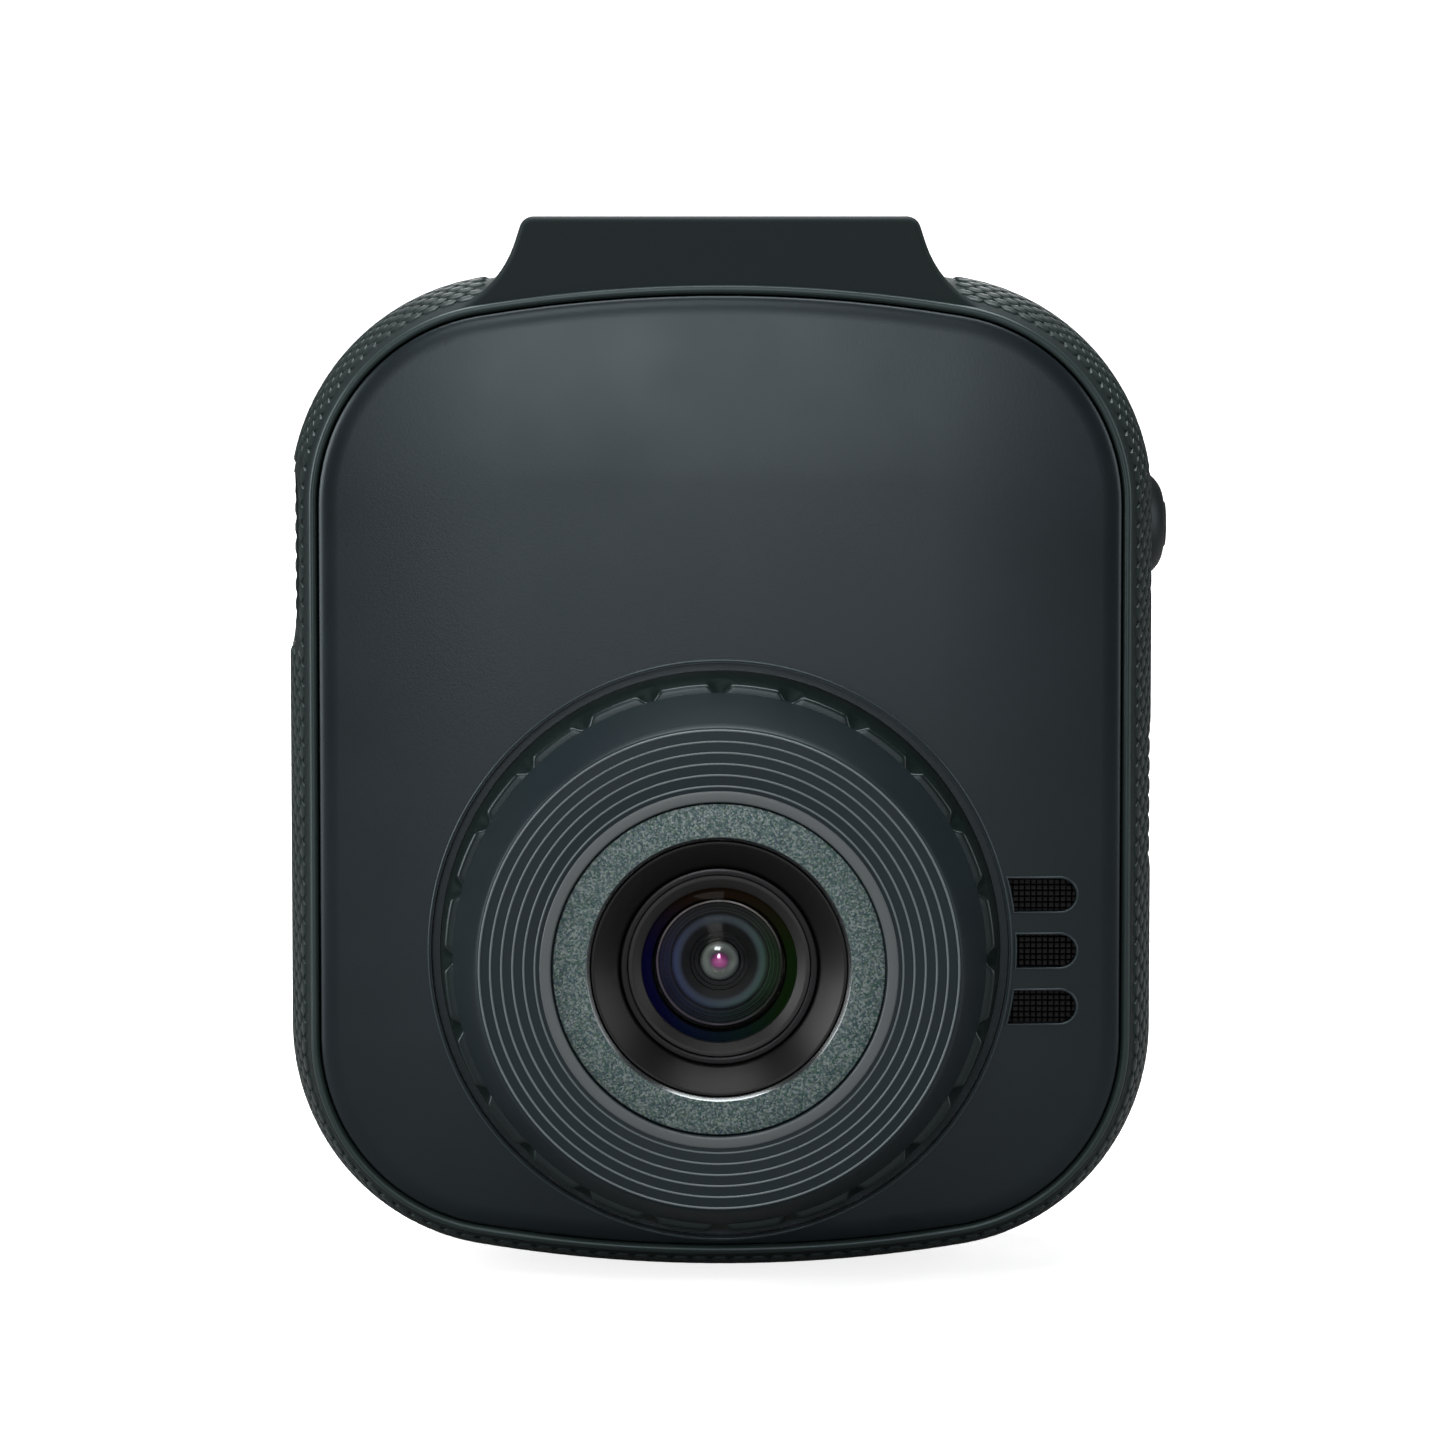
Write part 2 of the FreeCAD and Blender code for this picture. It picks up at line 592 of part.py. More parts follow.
def board_screw_places():
    """Centres of the main board's screws."""
    return [
        (-BOARD_SCREW_X if name.startswith("left") else BOARD_SCREW_X, TOP_Z - drop)
        for name, drop in BOARD_SCREW_DROPS.items()
    ]


def bezel_screw_places():
    """Centres of the lens housing's screws, round the lens axis."""
    angles = [math.radians(90 + 360 * index / BEZEL_BOSS_COUNT) for index in range(BEZEL_BOSS_COUNT)]
    return [
        (BEZEL_BOSS_CIRCLE * math.cos(angle), LENS_Z + BEZEL_BOSS_CIRCLE * math.sin(angle))
        for angle in angles
    ]


def holder_screw_places():
    """Centres of the lens holder's screws."""
    return [(-HOLDER_EAR_SPREAD, LENS_Z), (HOLDER_EAR_SPREAD, LENS_Z)]


def key_places():
    """Name and centre of each rear key, from the left as the user sees them."""
    middle = (len(KEY_NAMES) - 1) / 2
    return [(name, (middle - index) * KEY_PITCH) for index, name in enumerate(KEY_NAMES)]


# ---- Middle frame ------------------------------------------------------------------------------
def frame_profile():
    """Cross-section of the frame: swollen outside, a crowned lip each end and an inner rib."""
    lip_y = FRAME_HALF_DEPTH - LIP_CROWN
    lip_middle = SIDE_SWELL + LIP_WIDTH / 2

    def point(inset, y):
        return Vector(-inset, y, 0)

    walls = [
        point(LIP_INSET, -lip_y),
        point(LIP_INSET, -RIB_HALF_DEPTH),
        point(RIB_INSET, -RIB_HALF_DEPTH),
        point(RIB_INSET, RIB_HALF_DEPTH),
        point(LIP_INSET, RIB_HALF_DEPTH),
        point(LIP_INSET, lip_y),
    ]
    edges = [
        Part.Arc(point(SIDE_SWELL, lip_y), point(0, 0), point(SIDE_SWELL, -lip_y)).toShape(),
        Part.Arc(
            point(SIDE_SWELL, -lip_y), point(lip_middle, -FRAME_HALF_DEPTH), point(LIP_INSET, -lip_y)
        ).toShape(),
    ]
    edges += [Part.LineSegment(a, b).toShape() for a, b in zip(walls, walls[1:])]
    edges.append(
        Part.Arc(
            point(LIP_INSET, lip_y), point(lip_middle, FRAME_HALF_DEPTH), point(SIDE_SWELL, lip_y)
        ).toShape()
    )
    return Part.Face(Part.Wire(edges))


def neck_flank():
    """Points of the neck's right flank: top corner arc, then the flare on to the lip."""
    slope = math.radians(NECK_FLANK_ANGLE)
    down = Vector(math.sin(slope), 0, -math.cos(slope))
    outward = Vector(math.cos(slope), 0, math.sin(slope))
    corner = Vector(NECK_WIDTH / 2, 0, 0)
    top_start, top_middle, top_end = corner_arc(
        Vector(0, 0, 0), corner, corner + down, NECK_CORNER_RADIUS
    )
    lip_centre = Vector(CORNER_X, 0, CENTRE_Z + CORNER_UP)
    lip_radius = CORNER_RADIUS - SIDE_SWELL
    offset = corner + outward * NECK_FLARE_RADIUS - lip_centre
    along = -offset.dot(down)
    off_line = (offset + down * along).Length
    reach = along - math.sqrt((lip_radius + NECK_FLARE_RADIUS) ** 2 - off_line**2)
    flare_centre = corner + outward * NECK_FLARE_RADIUS + down * reach
    flare_start = flare_centre - outward * NECK_FLARE_RADIUS
    to_lip = (lip_centre - flare_centre).normalize()
    flare_end = flare_centre + to_lip * NECK_FLARE_RADIUS
    flare_middle = flare_centre + (to_lip - outward).normalize() * NECK_FLARE_RADIUS
    return top_start, top_middle, top_end, flare_start, flare_middle, flare_end


def neck_block():
    """Neck over the whole depth of the frame, with softened front and rear edges."""
    top_start, top_middle, top_end, flare_start, flare_middle, flare_end = neck_flank()
    root = Vector(flare_end.x, 0, flare_end.z - NECK_ROOT_DEPTH)
    right = [
        Part.Arc(top_start, top_middle, top_end).toShape(),
        Part.LineSegment(top_end, flare_start).toShape(),
        Part.Arc(flare_start, flare_middle, flare_end).toShape(),
        Part.LineSegment(flare_end, root).toShape(),
    ]
    left = [mirrored_x(edge) for edge in right]
    top = Part.LineSegment(top_start, Vector(-top_start.x, 0, top_start.z)).toShape()
    base = Part.LineSegment(root, Vector(-root.x, 0, root.z)).toShape()
    wire = Part.Wire(Part.__sortEdges__(right + left + [top, base]))
    depth = FRAME_HALF_DEPTH - LIP_CROWN / 2
    face = Part.Face(wire)
    face.translate(Vector(0, -depth, 0))
    block = face.extrude(Vector(0, 2 * depth, 0))
    rim = [
        edge
        for edge in edges_at_y(block, -depth) + edges_at_y(block, depth)
        if min(vertex.Z for vertex in edge.Vertexes) > flare_end.z + NECK_EDGE_RADIUS
    ]
    return block.makeFillet(NECK_EDGE_RADIUS, rim)


def bracket_slot():
    """T-shaped slot in the neck's top, open at the rear and closed at the front."""
    y_limits = (-FRAME_HALF_DEPTH + SLOT_FRONT_WALL, FRAME_HALF_DEPTH + CUT_PAST)
    throat = box(about(0, SLOT_THROAT_WIDTH), y_limits, (-SLOT_THROAT_DEPTH, CUT_PAST))
    head_z = (-SLOT_THROAT_DEPTH - SLOT_HEAD_DEPTH, -SLOT_THROAT_DEPTH)
    return throat.fuse(box(about(0, SLOT_HEAD_WIDTH), y_limits, head_z))


def usb_opening():
    """Finger recess for the plug and the socket's mouth, in the left wall."""
    recess = rounded_pad_x(
        USB_Y, USB_Z, USB_RECESS_WIDTH, USB_RECESS_LENGTH, USB_RECESS_CORNER,
        USB_MOUTH_X, -HALF_WIDTH - CUT_PAST,
    )
    return recess.fuse(usb_passage())


def usb_passage():
    """Clear way for the socket through the wall and the cover's skirt."""
    return box(
        (USB_MOUTH_X - CUT_PAST / 2, -RIB_HALF_WIDTH + CUT_PAST),
        about(USB_Y, USB_HEIGHT + 2 * USB_CLEARANCE),
        about(USB_Z, USB_WIDTH + 2 * USB_CLEARANCE),
    )


def side_button_opening():
    """Pocket for the button's cap and the hole for its stem, in the right wall."""
    pocket = cylinder_x(
        SIDE_BUTTON_RADIUS + SIDE_BUTTON_CLEARANCE, SIDE_BUTTON_Y, SIDE_BUTTON_Z,
        SIDE_POCKET_X, HALF_WIDTH + CUT_PAST,
    )
    hole = cylinder_x(
        SIDE_STEM_RADIUS + SIDE_BUTTON_CLEARANCE, SIDE_BUTTON_Y, SIDE_BUTTON_Z,
        RIB_HALF_WIDTH - CUT_PAST, HALF_WIDTH,
    )
    return pocket.fuse(hole)


def card_opening():
    """Card slot with a shallow thumb scoop, in the right wall."""
    slot = box(
        (RIB_HALF_WIDTH - CUT_PAST, HALF_WIDTH + CUT_PAST),
        (CARD_Y - 2 * CARD_CLEARANCE, CARD_Y + CARD_THICKNESS + 2 * CARD_CLEARANCE),
        about(CARD_Z, CARD_WIDTH + 2 * CARD_CLEARANCE),
    )
    scoop_centre_x = HALF_WIDTH - CARD_SCOOP_DEPTH + CARD_SCOOP_RADIUS
    scoop = Part.makeSphere(CARD_SCOOP_RADIUS, Vector(scoop_centre_x, CARD_Y, CARD_Z))
    return slot.fuse(scoop)


def middle_frame():
    """Side wall of the body with the neck, in one moulding."""
    ring = swept_ring(frame_profile())
    inside = body_prism(LIP_INSET, -FRAME_HALF_DEPTH - CUT_PAST, FRAME_HALF_DEPTH + CUT_PAST)
    frame = ring.fuse(neck_block().cut(inside))
    for opening in (bracket_slot(), usb_opening(), side_button_opening(), card_opening()):
        frame = frame.cut(opening)
    return frame.removeSplitter()


# ---- Covers ------------------------------------------------------------------------------------
def cover_shell(face_y, inner_y, skirt_y):
    """Dished cover: a face with a rounded edge and a skirt that slips into the frame."""
    outer = body_prism(COVER_INSET, face_y, skirt_y)
    outer = outer.makeFillet(COVER_EDGE_RADIUS, edges_at_y(outer, face_y))
    return outer.cut(body_prism(INNER_INSET, inner_y, skirt_y))


def speaker_slots():
    """Three slots that end on an arc round the lens and are round at the outer end."""
    inner_guard = cylinder_y(SLOT_LEFT_RADIUS, 0, LENS_Z, FRONT_Y - CUT_PAST, FRONT_INNER_Y + CUT_PAST)
    y_limits = (FRONT_Y - CUT_PAST, FRONT_INNER_Y + CUT_PAST)
    end_x = SLOT_RIGHT_X - SLOT_HEIGHT / 2
    slots = []
    for index in range(SLOT_COUNT):
        z = LENS_Z + (index - (SLOT_COUNT - 1) / 2) * SLOT_PITCH
        bar = box((0, end_x), y_limits, about(z, SLOT_HEIGHT))
        end = cylinder_y(SLOT_HEIGHT / 2, end_x, z, *y_limits)
        slots.append(bar.fuse(end).cut(inner_guard))
    return slots


def mesh_limits():
    """Low and high x of the speaker mesh behind the slots."""
    return SLOT_LEFT_RADIUS - MESH_BORDER, SLOT_RIGHT_X + MESH_BORDER


def mesh_plate(clearance, y_start, y_end):
    """Rounded plate over the slots, used for the mesh and for its pocket."""
    left, right = mesh_limits()
    width = right - left + 2 * clearance
    height = SLOT_SPAN + 2 * MESH_BORDER + 2 * clearance
    return rounded_plate((left + right) / 2, LENS_Z, width, height, MESH_BORDER, y_start, y_end)


def front_cover():
    """Front cover with the lens seat, the slots and the screw posts."""
    cover = cover_shell(FRONT_Y, FRONT_INNER_Y, -SKIRT_END_Y)
    rim_radius = SEAT_RADIUS + SEAT_RIM_WIDTH
    rim = cylinder_y(rim_radius, 0, LENS_Z, FRONT_Y - SEAT_RIM_HEIGHT, FRONT_Y + CUT_PAST)
    posts = [
        cylinder_y(POST_RADIUS, x, z, FRONT_INNER_Y - SEAM_GAP, POST_JOINT_Y) for x, z in post_places()
    ]
    bosses = [
        cylinder_y(BOARD_BOSS_RADIUS, x, z, FRONT_INNER_Y - SEAM_GAP, BOARD_FRONT_Y)
        for x, z in board_screw_places()
    ]
    cover = cover.fuse([rim] + posts + bosses)
    pocket = mesh_plate(MESH_CLEARANCE, MESH_Y, FRONT_INNER_Y + CUT_PAST)
    cuts = [cylinder_y(SEAT_RADIUS, 0, LENS_Z, FRONT_Y - CUT_PAST, SEAT_FLOOR_Y)]
    cuts.append(cylinder_y(BARREL_HOLE_RADIUS, 0, LENS_Z, FRONT_Y, FRONT_INNER_Y + CUT_PAST))
    cuts.append(pocket)
    cuts += speaker_slots()
    cuts += [
        cylinder_y(SMALL_SHANK_HOLE_RADIUS, x, z, FRONT_Y, FRONT_INNER_Y + CUT_PAST)
        for x, z in bezel_screw_places()
    ]
    cuts += [
        cylinder_y(POST_PILOT_RADIUS, x, z, FRONT_INNER_Y, POST_JOINT_Y + CUT_PAST)
        for x, z in post_places()
    ]
    cuts += [
        cylinder_y(BOARD_BOSS_PILOT_RADIUS, x, z, FRONT_INNER_Y, BOARD_FRONT_Y + CUT_PAST)
        for x, z in board_screw_places()
    ]
    cuts.append(usb_passage())
    return cover.cut(cuts).removeSplitter()


def key_outline(x, border, y_start, y_end):
    """Pill-shaped block round a key's centre, grown by a border."""
    height = KEY_HEIGHT + 2 * border
    return rounded_plate(x, KEY_Z, KEY_LENGTH + 2 * border, height, height / 2, y_start, y_end)


def stake_places():
    """Centres of the two pins that hold the key board, above the keys."""
    return [(-STAKE_SPREAD, KEY_Z + STAKE_RISE), (STAKE_SPREAD, KEY_Z + STAKE_RISE)]


def rear_cover():
    """Rear cover with the window's rebate, the key holes and the screw bosses."""
    cover = cover_shell(REAR_Y, REAR_INNER_Y, SKIRT_END_Y)
    bosses = [
        cylinder_y(POST_RADIUS, x, z, POST_JOINT_Y + SEAM_GAP, REAR_INNER_Y + SEAM_GAP)
        for x, z in post_places()
    ]
    pins = [
        cylinder_y(STAKE_RADIUS, x, z, KEY_BOARD_Y - STAKE_HEAD, REAR_INNER_Y + SEAM_GAP)
        for x, z in stake_places()
    ]
    heads = [
        cylinder_y(STAKE_SHOULDER_RADIUS, x, z, KEY_BOARD_Y - STAKE_HEAD, KEY_BOARD_Y)
        for x, z in stake_places()
    ]
    shoulders = [
        cylinder_y(STAKE_SHOULDER_RADIUS, x, z, KEY_BOARD_REAR_Y, REAR_INNER_Y + SEAM_GAP)
        for x, z in stake_places()
    ]
    cover = cover.fuse(bosses + pins + heads + shoulders)
    window = rounded_plate(
        0, SCREEN_Z, WINDOW_WIDTH + 2 * WINDOW_CLEARANCE, WINDOW_HEIGHT + 2 * WINDOW_CLEARANCE,
        WINDOW_CORNER, REAR_Y - WINDOW_THICKNESS, REAR_Y + CUT_PAST,
    )
    view = rounded_plate(
        0, SCREEN_Z, WINDOW_WIDTH - 2 * WINDOW_LEDGE, WINDOW_HEIGHT - 2 * WINDOW_LEDGE,
        WINDOW_CORNER, REAR_INNER_Y - CUT_PAST, REAR_Y,
    )
    cuts = [window, view]
    for x, z in post_places():
        cuts.append(
            cylinder_y(CASE_HEAD_RADIUS + CASE_HEAD_CLEARANCE, x, z, CASE_HEAD_SEAT_Y, REAR_Y + CUT_PAST)
        )
        cuts.append(cylinder_y(CASE_SHANK_HOLE_RADIUS, x, z, POST_JOINT_Y, REAR_Y))
    for _, x in key_places():
        cuts.append(key_outline(x, KEY_CLEARANCE, REAR_INNER_Y - CUT_PAST / 2, REAR_Y + CUT_PAST))
    cuts.append(cylinder_y(LIGHT_PIPE_RADIUS, 0, LIGHT_Z, REAR_INNER_Y - CUT_PAST, REAR_Y + CUT_PAST))
    cuts.append(
        cylinder_y(
            MICROPHONE_HOLE_RADIUS, MICROPHONE_OFFSET, LIGHT_Z, REAR_INNER_Y - CUT_PAST, REAR_Y + CUT_PAST
        )
    )
    return cover.cut(cuts).removeSplitter()


# ---- Lens housing ------------------------------------------------------------------------------
def grip_ring():
    """Ring round the foot of the lens housing, with a row of scalloped notches."""
    ring = lens_ring([
        (GRIP_BASE_RADIUS, SEAT_FLOOR_Y),
        (GRIP_BASE_RADIUS, FRONT_Y),
        (GRIP_EDGE_RADIUS, GRIP_FACE_Y),
        (BEZEL_SPIGOT_RADIUS + BEZEL_CLEARANCE, GRIP_FACE_Y),
        (BEZEL_SPIGOT_RADIUS + BEZEL_CLEARANCE, SEAT_FLOOR_Y),
    ])
    notches = []
    for index in range(NOTCH_COUNT):
        angle = math.radians(360 * index / NOTCH_COUNT)
        reach = GRIP_EDGE_RADIUS + NOTCH_CENTRE_LIFT
        x = reach * math.cos(angle)
        z = LENS_Z + reach * math.sin(angle)
        notches.append(cylinder_y(NOTCH_RADIUS, x, z, GRIP_FACE_Y - CUT_PAST, SEAT_FLOOR_Y + CUT_PAST))
    return ring.cut(notches)


def bezel_profile():
    """(radius, y) corners of the lens housing, from the foot round to the inner wall."""
    profile = [
        (BEZEL_SPIGOT_RADIUS, SEAT_FLOOR_Y),
        (BEZEL_SPIGOT_RADIUS, GRIP_FACE_Y - BEZEL_CLEARANCE),
        (BEZEL_BASE_RADIUS, GRIP_FACE_Y - BEZEL_CLEARANCE),
        (BEZEL_FACE_RADIUS, BEZEL_FACE_Y + BEZEL_EDGE_CHAMFER),
        (BEZEL_FACE_RADIUS - BEZEL_EDGE_CHAMFER / 2, BEZEL_FACE_Y),
    ]
    for index in range(RIB_RING_COUNT):
        outer = RIB_RING_OUTER - index * RIB_RING_PITCH
        inner = outer - RIB_RING_WIDTH
        profile.append((outer, BEZEL_FACE_Y))
        profile.append((outer, BEZEL_FACE_Y - RIB_RING_HEIGHT))
        profile.append((inner, BEZEL_FACE_Y - RIB_RING_HEIGHT))
        profile.append((inner, BEZEL_FACE_Y))
    profile += [
        (RIM_OUTER_RADIUS, BEZEL_FACE_Y),
        (RIM_OUTER_RADIUS, BEZEL_FACE_Y - RIM_HEIGHT),
        (RIM_INNER_RADIUS, BEZEL_FACE_Y - RIM_HEIGHT),
        (TRIM_OUTER_RADIUS + TRIM_CLEARANCE, TRIM_FACE_Y),
        (TRIM_OUTER_RADIUS + TRIM_CLEARANCE, TRIM_SEAT_Y),
        (TRIM_INNER_RADIUS, TRIM_SEAT_Y),
        (TRIM_INNER_RADIUS, BEZEL_INNER_Y),
        (BEZEL_INNER_RADIUS, BEZEL_INNER_Y),
        (BEZEL_INNER_RADIUS, SEAT_FLOOR_Y),
    ]
    return profile


def lens_bezel():
    """Ribbed cone that carries the trim ring, with three screw bosses inside."""
    bezel = lens_ring(bezel_profile())
    bosses = [
        cylinder_y(BEZEL_BOSS_RADIUS, x, z, BEZEL_INNER_Y - SEAM_GAP, SEAT_FLOOR_Y)
        for x, z in bezel_screw_places()
    ]
    pilots = [
        cylinder_y(BOARD_BOSS_PILOT_RADIUS, x, z, BEZEL_INNER_Y + CUT_PAST, SEAT_FLOOR_Y + CUT_PAST)
        for x, z in bezel_screw_places()
    ]
    return bezel.fuse(bosses).cut(pilots)


def trim_ring():
    """Flat metal ring round the lens mouth, with a bright chamfer on its inner edge."""
    return lens_ring([
        (TRIM_OUTER_RADIUS, TRIM_SEAT_Y),
        (TRIM_OUTER_RADIUS, TRIM_FACE_Y),
        (TRIM_INNER_RADIUS + TRIM_CHAMFER, TRIM_FACE_Y),
        (TRIM_INNER_RADIUS, TRIM_FACE_Y + TRIM_CHAMFER),
        (TRIM_INNER_RADIUS, TRIM_SEAT_Y),
    ])


def lens_hood():
    """Black funnel between the trim ring and the lens, with a flange glued inside the housing."""
    return lens_ring([
        (HOOD_OUTER_RADIUS, HOOD_MOUTH_Y),
        (HOOD_MOUTH_RADIUS, HOOD_MOUTH_Y),
        (HOOD_SMALL_RADIUS, HOOD_SMALL_Y),
        (HOOD_SMALL_RADIUS, HOOD_END_Y),
        (HOOD_FLANGE_RADIUS, HOOD_END_Y),
        (HOOD_FLANGE_RADIUS, HOOD_FLANGE_Y),
        (HOOD_OUTER_RADIUS, HOOD_FLANGE_Y),
    ])


# ---- Lens --------------------------------------------------------------------------------------
def lens_barrel():
    """Threaded lens body, bored for the glass from the front."""
    nose_end = BARREL_FACE_Y + BARREL_NOSE_LENGTH
    return lens_ring([
        (BARREL_NOSE_RADIUS, BARREL_FACE_Y),
        (BARREL_NOSE_RADIUS, nose_end),
        (BARREL_RADIUS, nose_end),
        (BARREL_RADIUS, BARREL_END_Y),
        (REAR_LIP_RADIUS, BARREL_END_Y),
        (REAR_LIP_RADIUS, STACK_REAR_Y),
        (STACK_BORE, STACK_REAR_Y),
        (STACK_BORE, STACK_FRONT_Y),
        (RETAINER_BORE, STACK_FRONT_Y),
        (RETAINER_BORE, BARREL_FACE_Y),
    ])


def retaining_ring():
    """Threaded ring that holds the front glass, dished towards it."""
    outer = RETAINER_BORE - GLASS_CLEARANCE
    return lens_ring([
        (outer, RETAINER_FACE_Y),
        (outer, FRONT_GLASS_Y),
        (RETAINER_INNER_RADIUS, FRONT_GLASS_Y),
        (RETAINER_INNER_RADIUS, RETAINER_FACE_Y + RETAINER_SLOPE),
    ])


def sagitta(curve, radius):
    """Depth of a spherical surface of radius curve, at a distance from its axis."""
    return curve - math.sqrt(curve**2 - radius**2)


def glass(outer, y_front, y_rear, clear, front_curve, rear_curve, rear_clear):
    """Lens element: a cylinder edge, with a front and a rear surface bulging (+) or hollow (-)."""
    def at(radius, y):
        return Vector(radius, y, LENS_Z)

    def surface(radius, y, curve):
        depth = math.copysign(sagitta(abs(curve), radius), curve)
        half_depth = depth - math.copysign(sagitta(abs(curve), radius / 2), curve)
        return depth, half_depth

    front, front_half = surface(clear, y_front, front_curve)
    rear, rear_half = surface(rear_clear, y_rear, rear_curve)
    front_arc = Part.Arc(at(0, y_front - front), at(clear / 2, y_front - front_half), at(clear, y_front))
    rear_middle = at(rear_clear / 2, y_rear + rear_half)
    rear_arc = Part.Arc(at(rear_clear, y_rear), rear_middle, at(0, y_rear + rear))
    edges = [
        front_arc.toShape(),
        Part.LineSegment(at(clear, y_front), at(outer, y_front)).toShape(),
        Part.LineSegment(at(outer, y_front), at(outer, y_rear)).toShape(),
        Part.LineSegment(at(outer, y_rear), at(rear_clear, y_rear)).toShape(),
        rear_arc.toShape(),
        Part.LineSegment(at(0, y_rear + rear), at(0, y_front - front)).toShape(),
    ]
    return revolved(edges, Vector(0, 0, LENS_Z), Vector(0, 1, 0))


def front_element():
    """Large front glass: a bulging front and a hollow back."""
    return glass(
        RETAINER_BORE - GLASS_CLEARANCE, FRONT_GLASS_Y, STACK_FRONT_Y,
        RETAINER_INNER_RADIUS - GLASS_CLEARANCE, FRONT_GLASS_CURVE,
        -FRONT_GLASS_HOLLOW, FRONT_GLASS_HOLLOW_RADIUS,
    )


def middle_element():
    """Middle glass, bulging at the front and nearly flat behind."""
    outer = STACK_BORE - GLASS_CLEARANCE
    return glass(
        outer, MIDDLE_GLASS_Y, STOP_Y, SPACER_BORE - GLASS_CLEARANCE, MIDDLE_GLASS_CURVE,
        -3 * MIDDLE_GLASS_CURVE, SPACER_BORE,
    )


def rear_element():
    """Rear glass, bulging both ways inside its spacer and the barrel's lip."""
    outer = STACK_BORE - GLASS_CLEARANCE
    return glass(
        outer, REAR_GLASS_Y, STACK_REAR_Y, REAR_GLASS_CLEAR_RADIUS, REAR_GLASS_CURVE,
        REAR_GLASS_CURVE, REAR_GLASS_CLEAR_RADIUS,
    )


def lens_spacer():
    """Blackened tube between the front and middle glass."""
    outer = STACK_BORE - GLASS_CLEARANCE
    return tube_y(outer, SPACER_BORE, 0, LENS_Z, STACK_FRONT_Y, MIDDLE_GLASS_Y)


def aperture_stop():
    """Thin disc with the fixed aperture."""
    outer = STACK_BORE - GLASS_CLEARANCE
    return tube_y(outer, STOP_HOLE_RADIUS, 0, LENS_Z, STOP_Y, REAR_SPACER_Y)


def rear_spacer():
    """Tube between the aperture and the rear glass."""
    outer = STACK_BORE - GLASS_CLEARANCE
    return tube_y(outer, SPACER_BORE, 0, LENS_Z, REAR_SPACER_Y, REAR_GLASS_Y)


def lens_holder():
    """Threaded tube on a square base over the image sensor, with two screw ears."""
    base = rounded_plate(
        0, LENS_Z, HOLDER_BASE_SIZE, HOLDER_BASE_SIZE, HOLDER_EAR_RADIUS, HOLDER_BASE_Y, BOARD_FRONT_Y
    )
    ears = [
        cylinder_y(HOLDER_EAR_RADIUS, x, z, HOLDER_BASE_Y, BOARD_FRONT_Y) for x, z in holder_screw_places()
    ]
    bridge = box(
        about(0, 2 * HOLDER_EAR_SPREAD), (HOLDER_BASE_Y, BOARD_FRONT_Y), about(LENS_Z, 2 * HOLDER_EAR_RADIUS)
    )
    tube = cylinder_y(HOLDER_TUBE_RADIUS, 0, LENS_Z, HOLDER_FRONT_Y, HOLDER_BASE_Y)
    holder = base.fuse(ears + [bridge, tube])
    cavity_y = BOARD_FRONT_Y - HOLDER_CAVITY_HEIGHT
    filter_size = FILTER_SIZE + 2 * FILTER_CLEARANCE
    cuts = [
        cylinder_y(HOLDER_BORE, 0, LENS_Z, HOLDER_FRONT_Y - CUT_PAST, HOLDER_BASE_Y),
        cylinder_y(HOLDER_LIGHT_RADIUS, 0, LENS_Z, HOLDER_BASE_Y - CUT_PAST, BOARD_FRONT_Y),
        box(
            about(0, HOLDER_CAVITY_SIZE), (cavity_y, BOARD_FRONT_Y + CUT_PAST),
            about(LENS_Z, HOLDER_CAVITY_SIZE),
        ),
        box(
            about(0, filter_size), (cavity_y - FILTER_THICKNESS, cavity_y), about(LENS_Z, filter_size)
        ),
    ]
    cuts += [
        cylinder_y(BOARD_BOSS_PILOT_RADIUS, x, z, HOLDER_BASE_Y - CUT_PAST, BOARD_FRONT_Y + CUT_PAST)
        for x, z in holder_screw_places()
    ]
    return holder.cut(cuts).removeSplitter()


def ir_filter():
    """Square infrared filter over the sensor."""
    cavity_y = BOARD_FRONT_Y - HOLDER_CAVITY_HEIGHT
    return box(about(0, FILTER_SIZE), (cavity_y - FILTER_THICKNESS, cavity_y), about(LENS_Z, FILTER_SIZE))


def image_sensor():
    """Image sensor package on the front of the main board."""
    return box(
        about(0, SENSOR_SIZE), (BOARD_FRONT_Y - SENSOR_THICKNESS, BOARD_FRONT_Y), about(LENS_Z, SENSOR_SIZE)
    )


# ---- Electronics -------------------------------------------------------------------------------
def post_clearances(y_start, y_end):
    """Round cuts that keep a board clear of the case screw posts."""
    return [
        cylinder_y(POST_RADIUS + BOARD_POST_GAP, x, z, y_start - CUT_PAST, y_end + CUT_PAST)
        for x, z in post_places()
    ]


def main_board():
    """Main circuit board, notched for the posts and the side button."""
    board = body_prism(BOARD_INSET, BOARD_FRONT_Y, BOARD_REAR_Y)
    notch_size = 2 * (SIDE_FLANGE_RADIUS + BOARD_POST_GAP)
    notch = box(
        (SIDE_SWITCH_X - BOARD_POST_GAP / 2, HALF_WIDTH),
        (BOARD_FRONT_Y - CUT_PAST, BOARD_REAR_Y + CUT_PAST),
        about(SIDE_BUTTON_Z, notch_size),
    )
    holes = [
        cylinder_y(SMALL_SHANK_HOLE_RADIUS, x, z, BOARD_FRONT_Y - CUT_PAST, BOARD_REAR_Y + CUT_PAST)
        for x, z in board_screw_places() + holder_screw_places()
    ]
    return board.cut(post_clearances(BOARD_FRONT_Y, BOARD_REAR_Y) + [notch] + holes)


def rear_chip(x, z, width, height, thickness):
    """Chip on the rear side of the main board."""
    return box(about(x, width), (BOARD_REAR_Y, BOARD_REAR_Y + thickness), about(z, height))


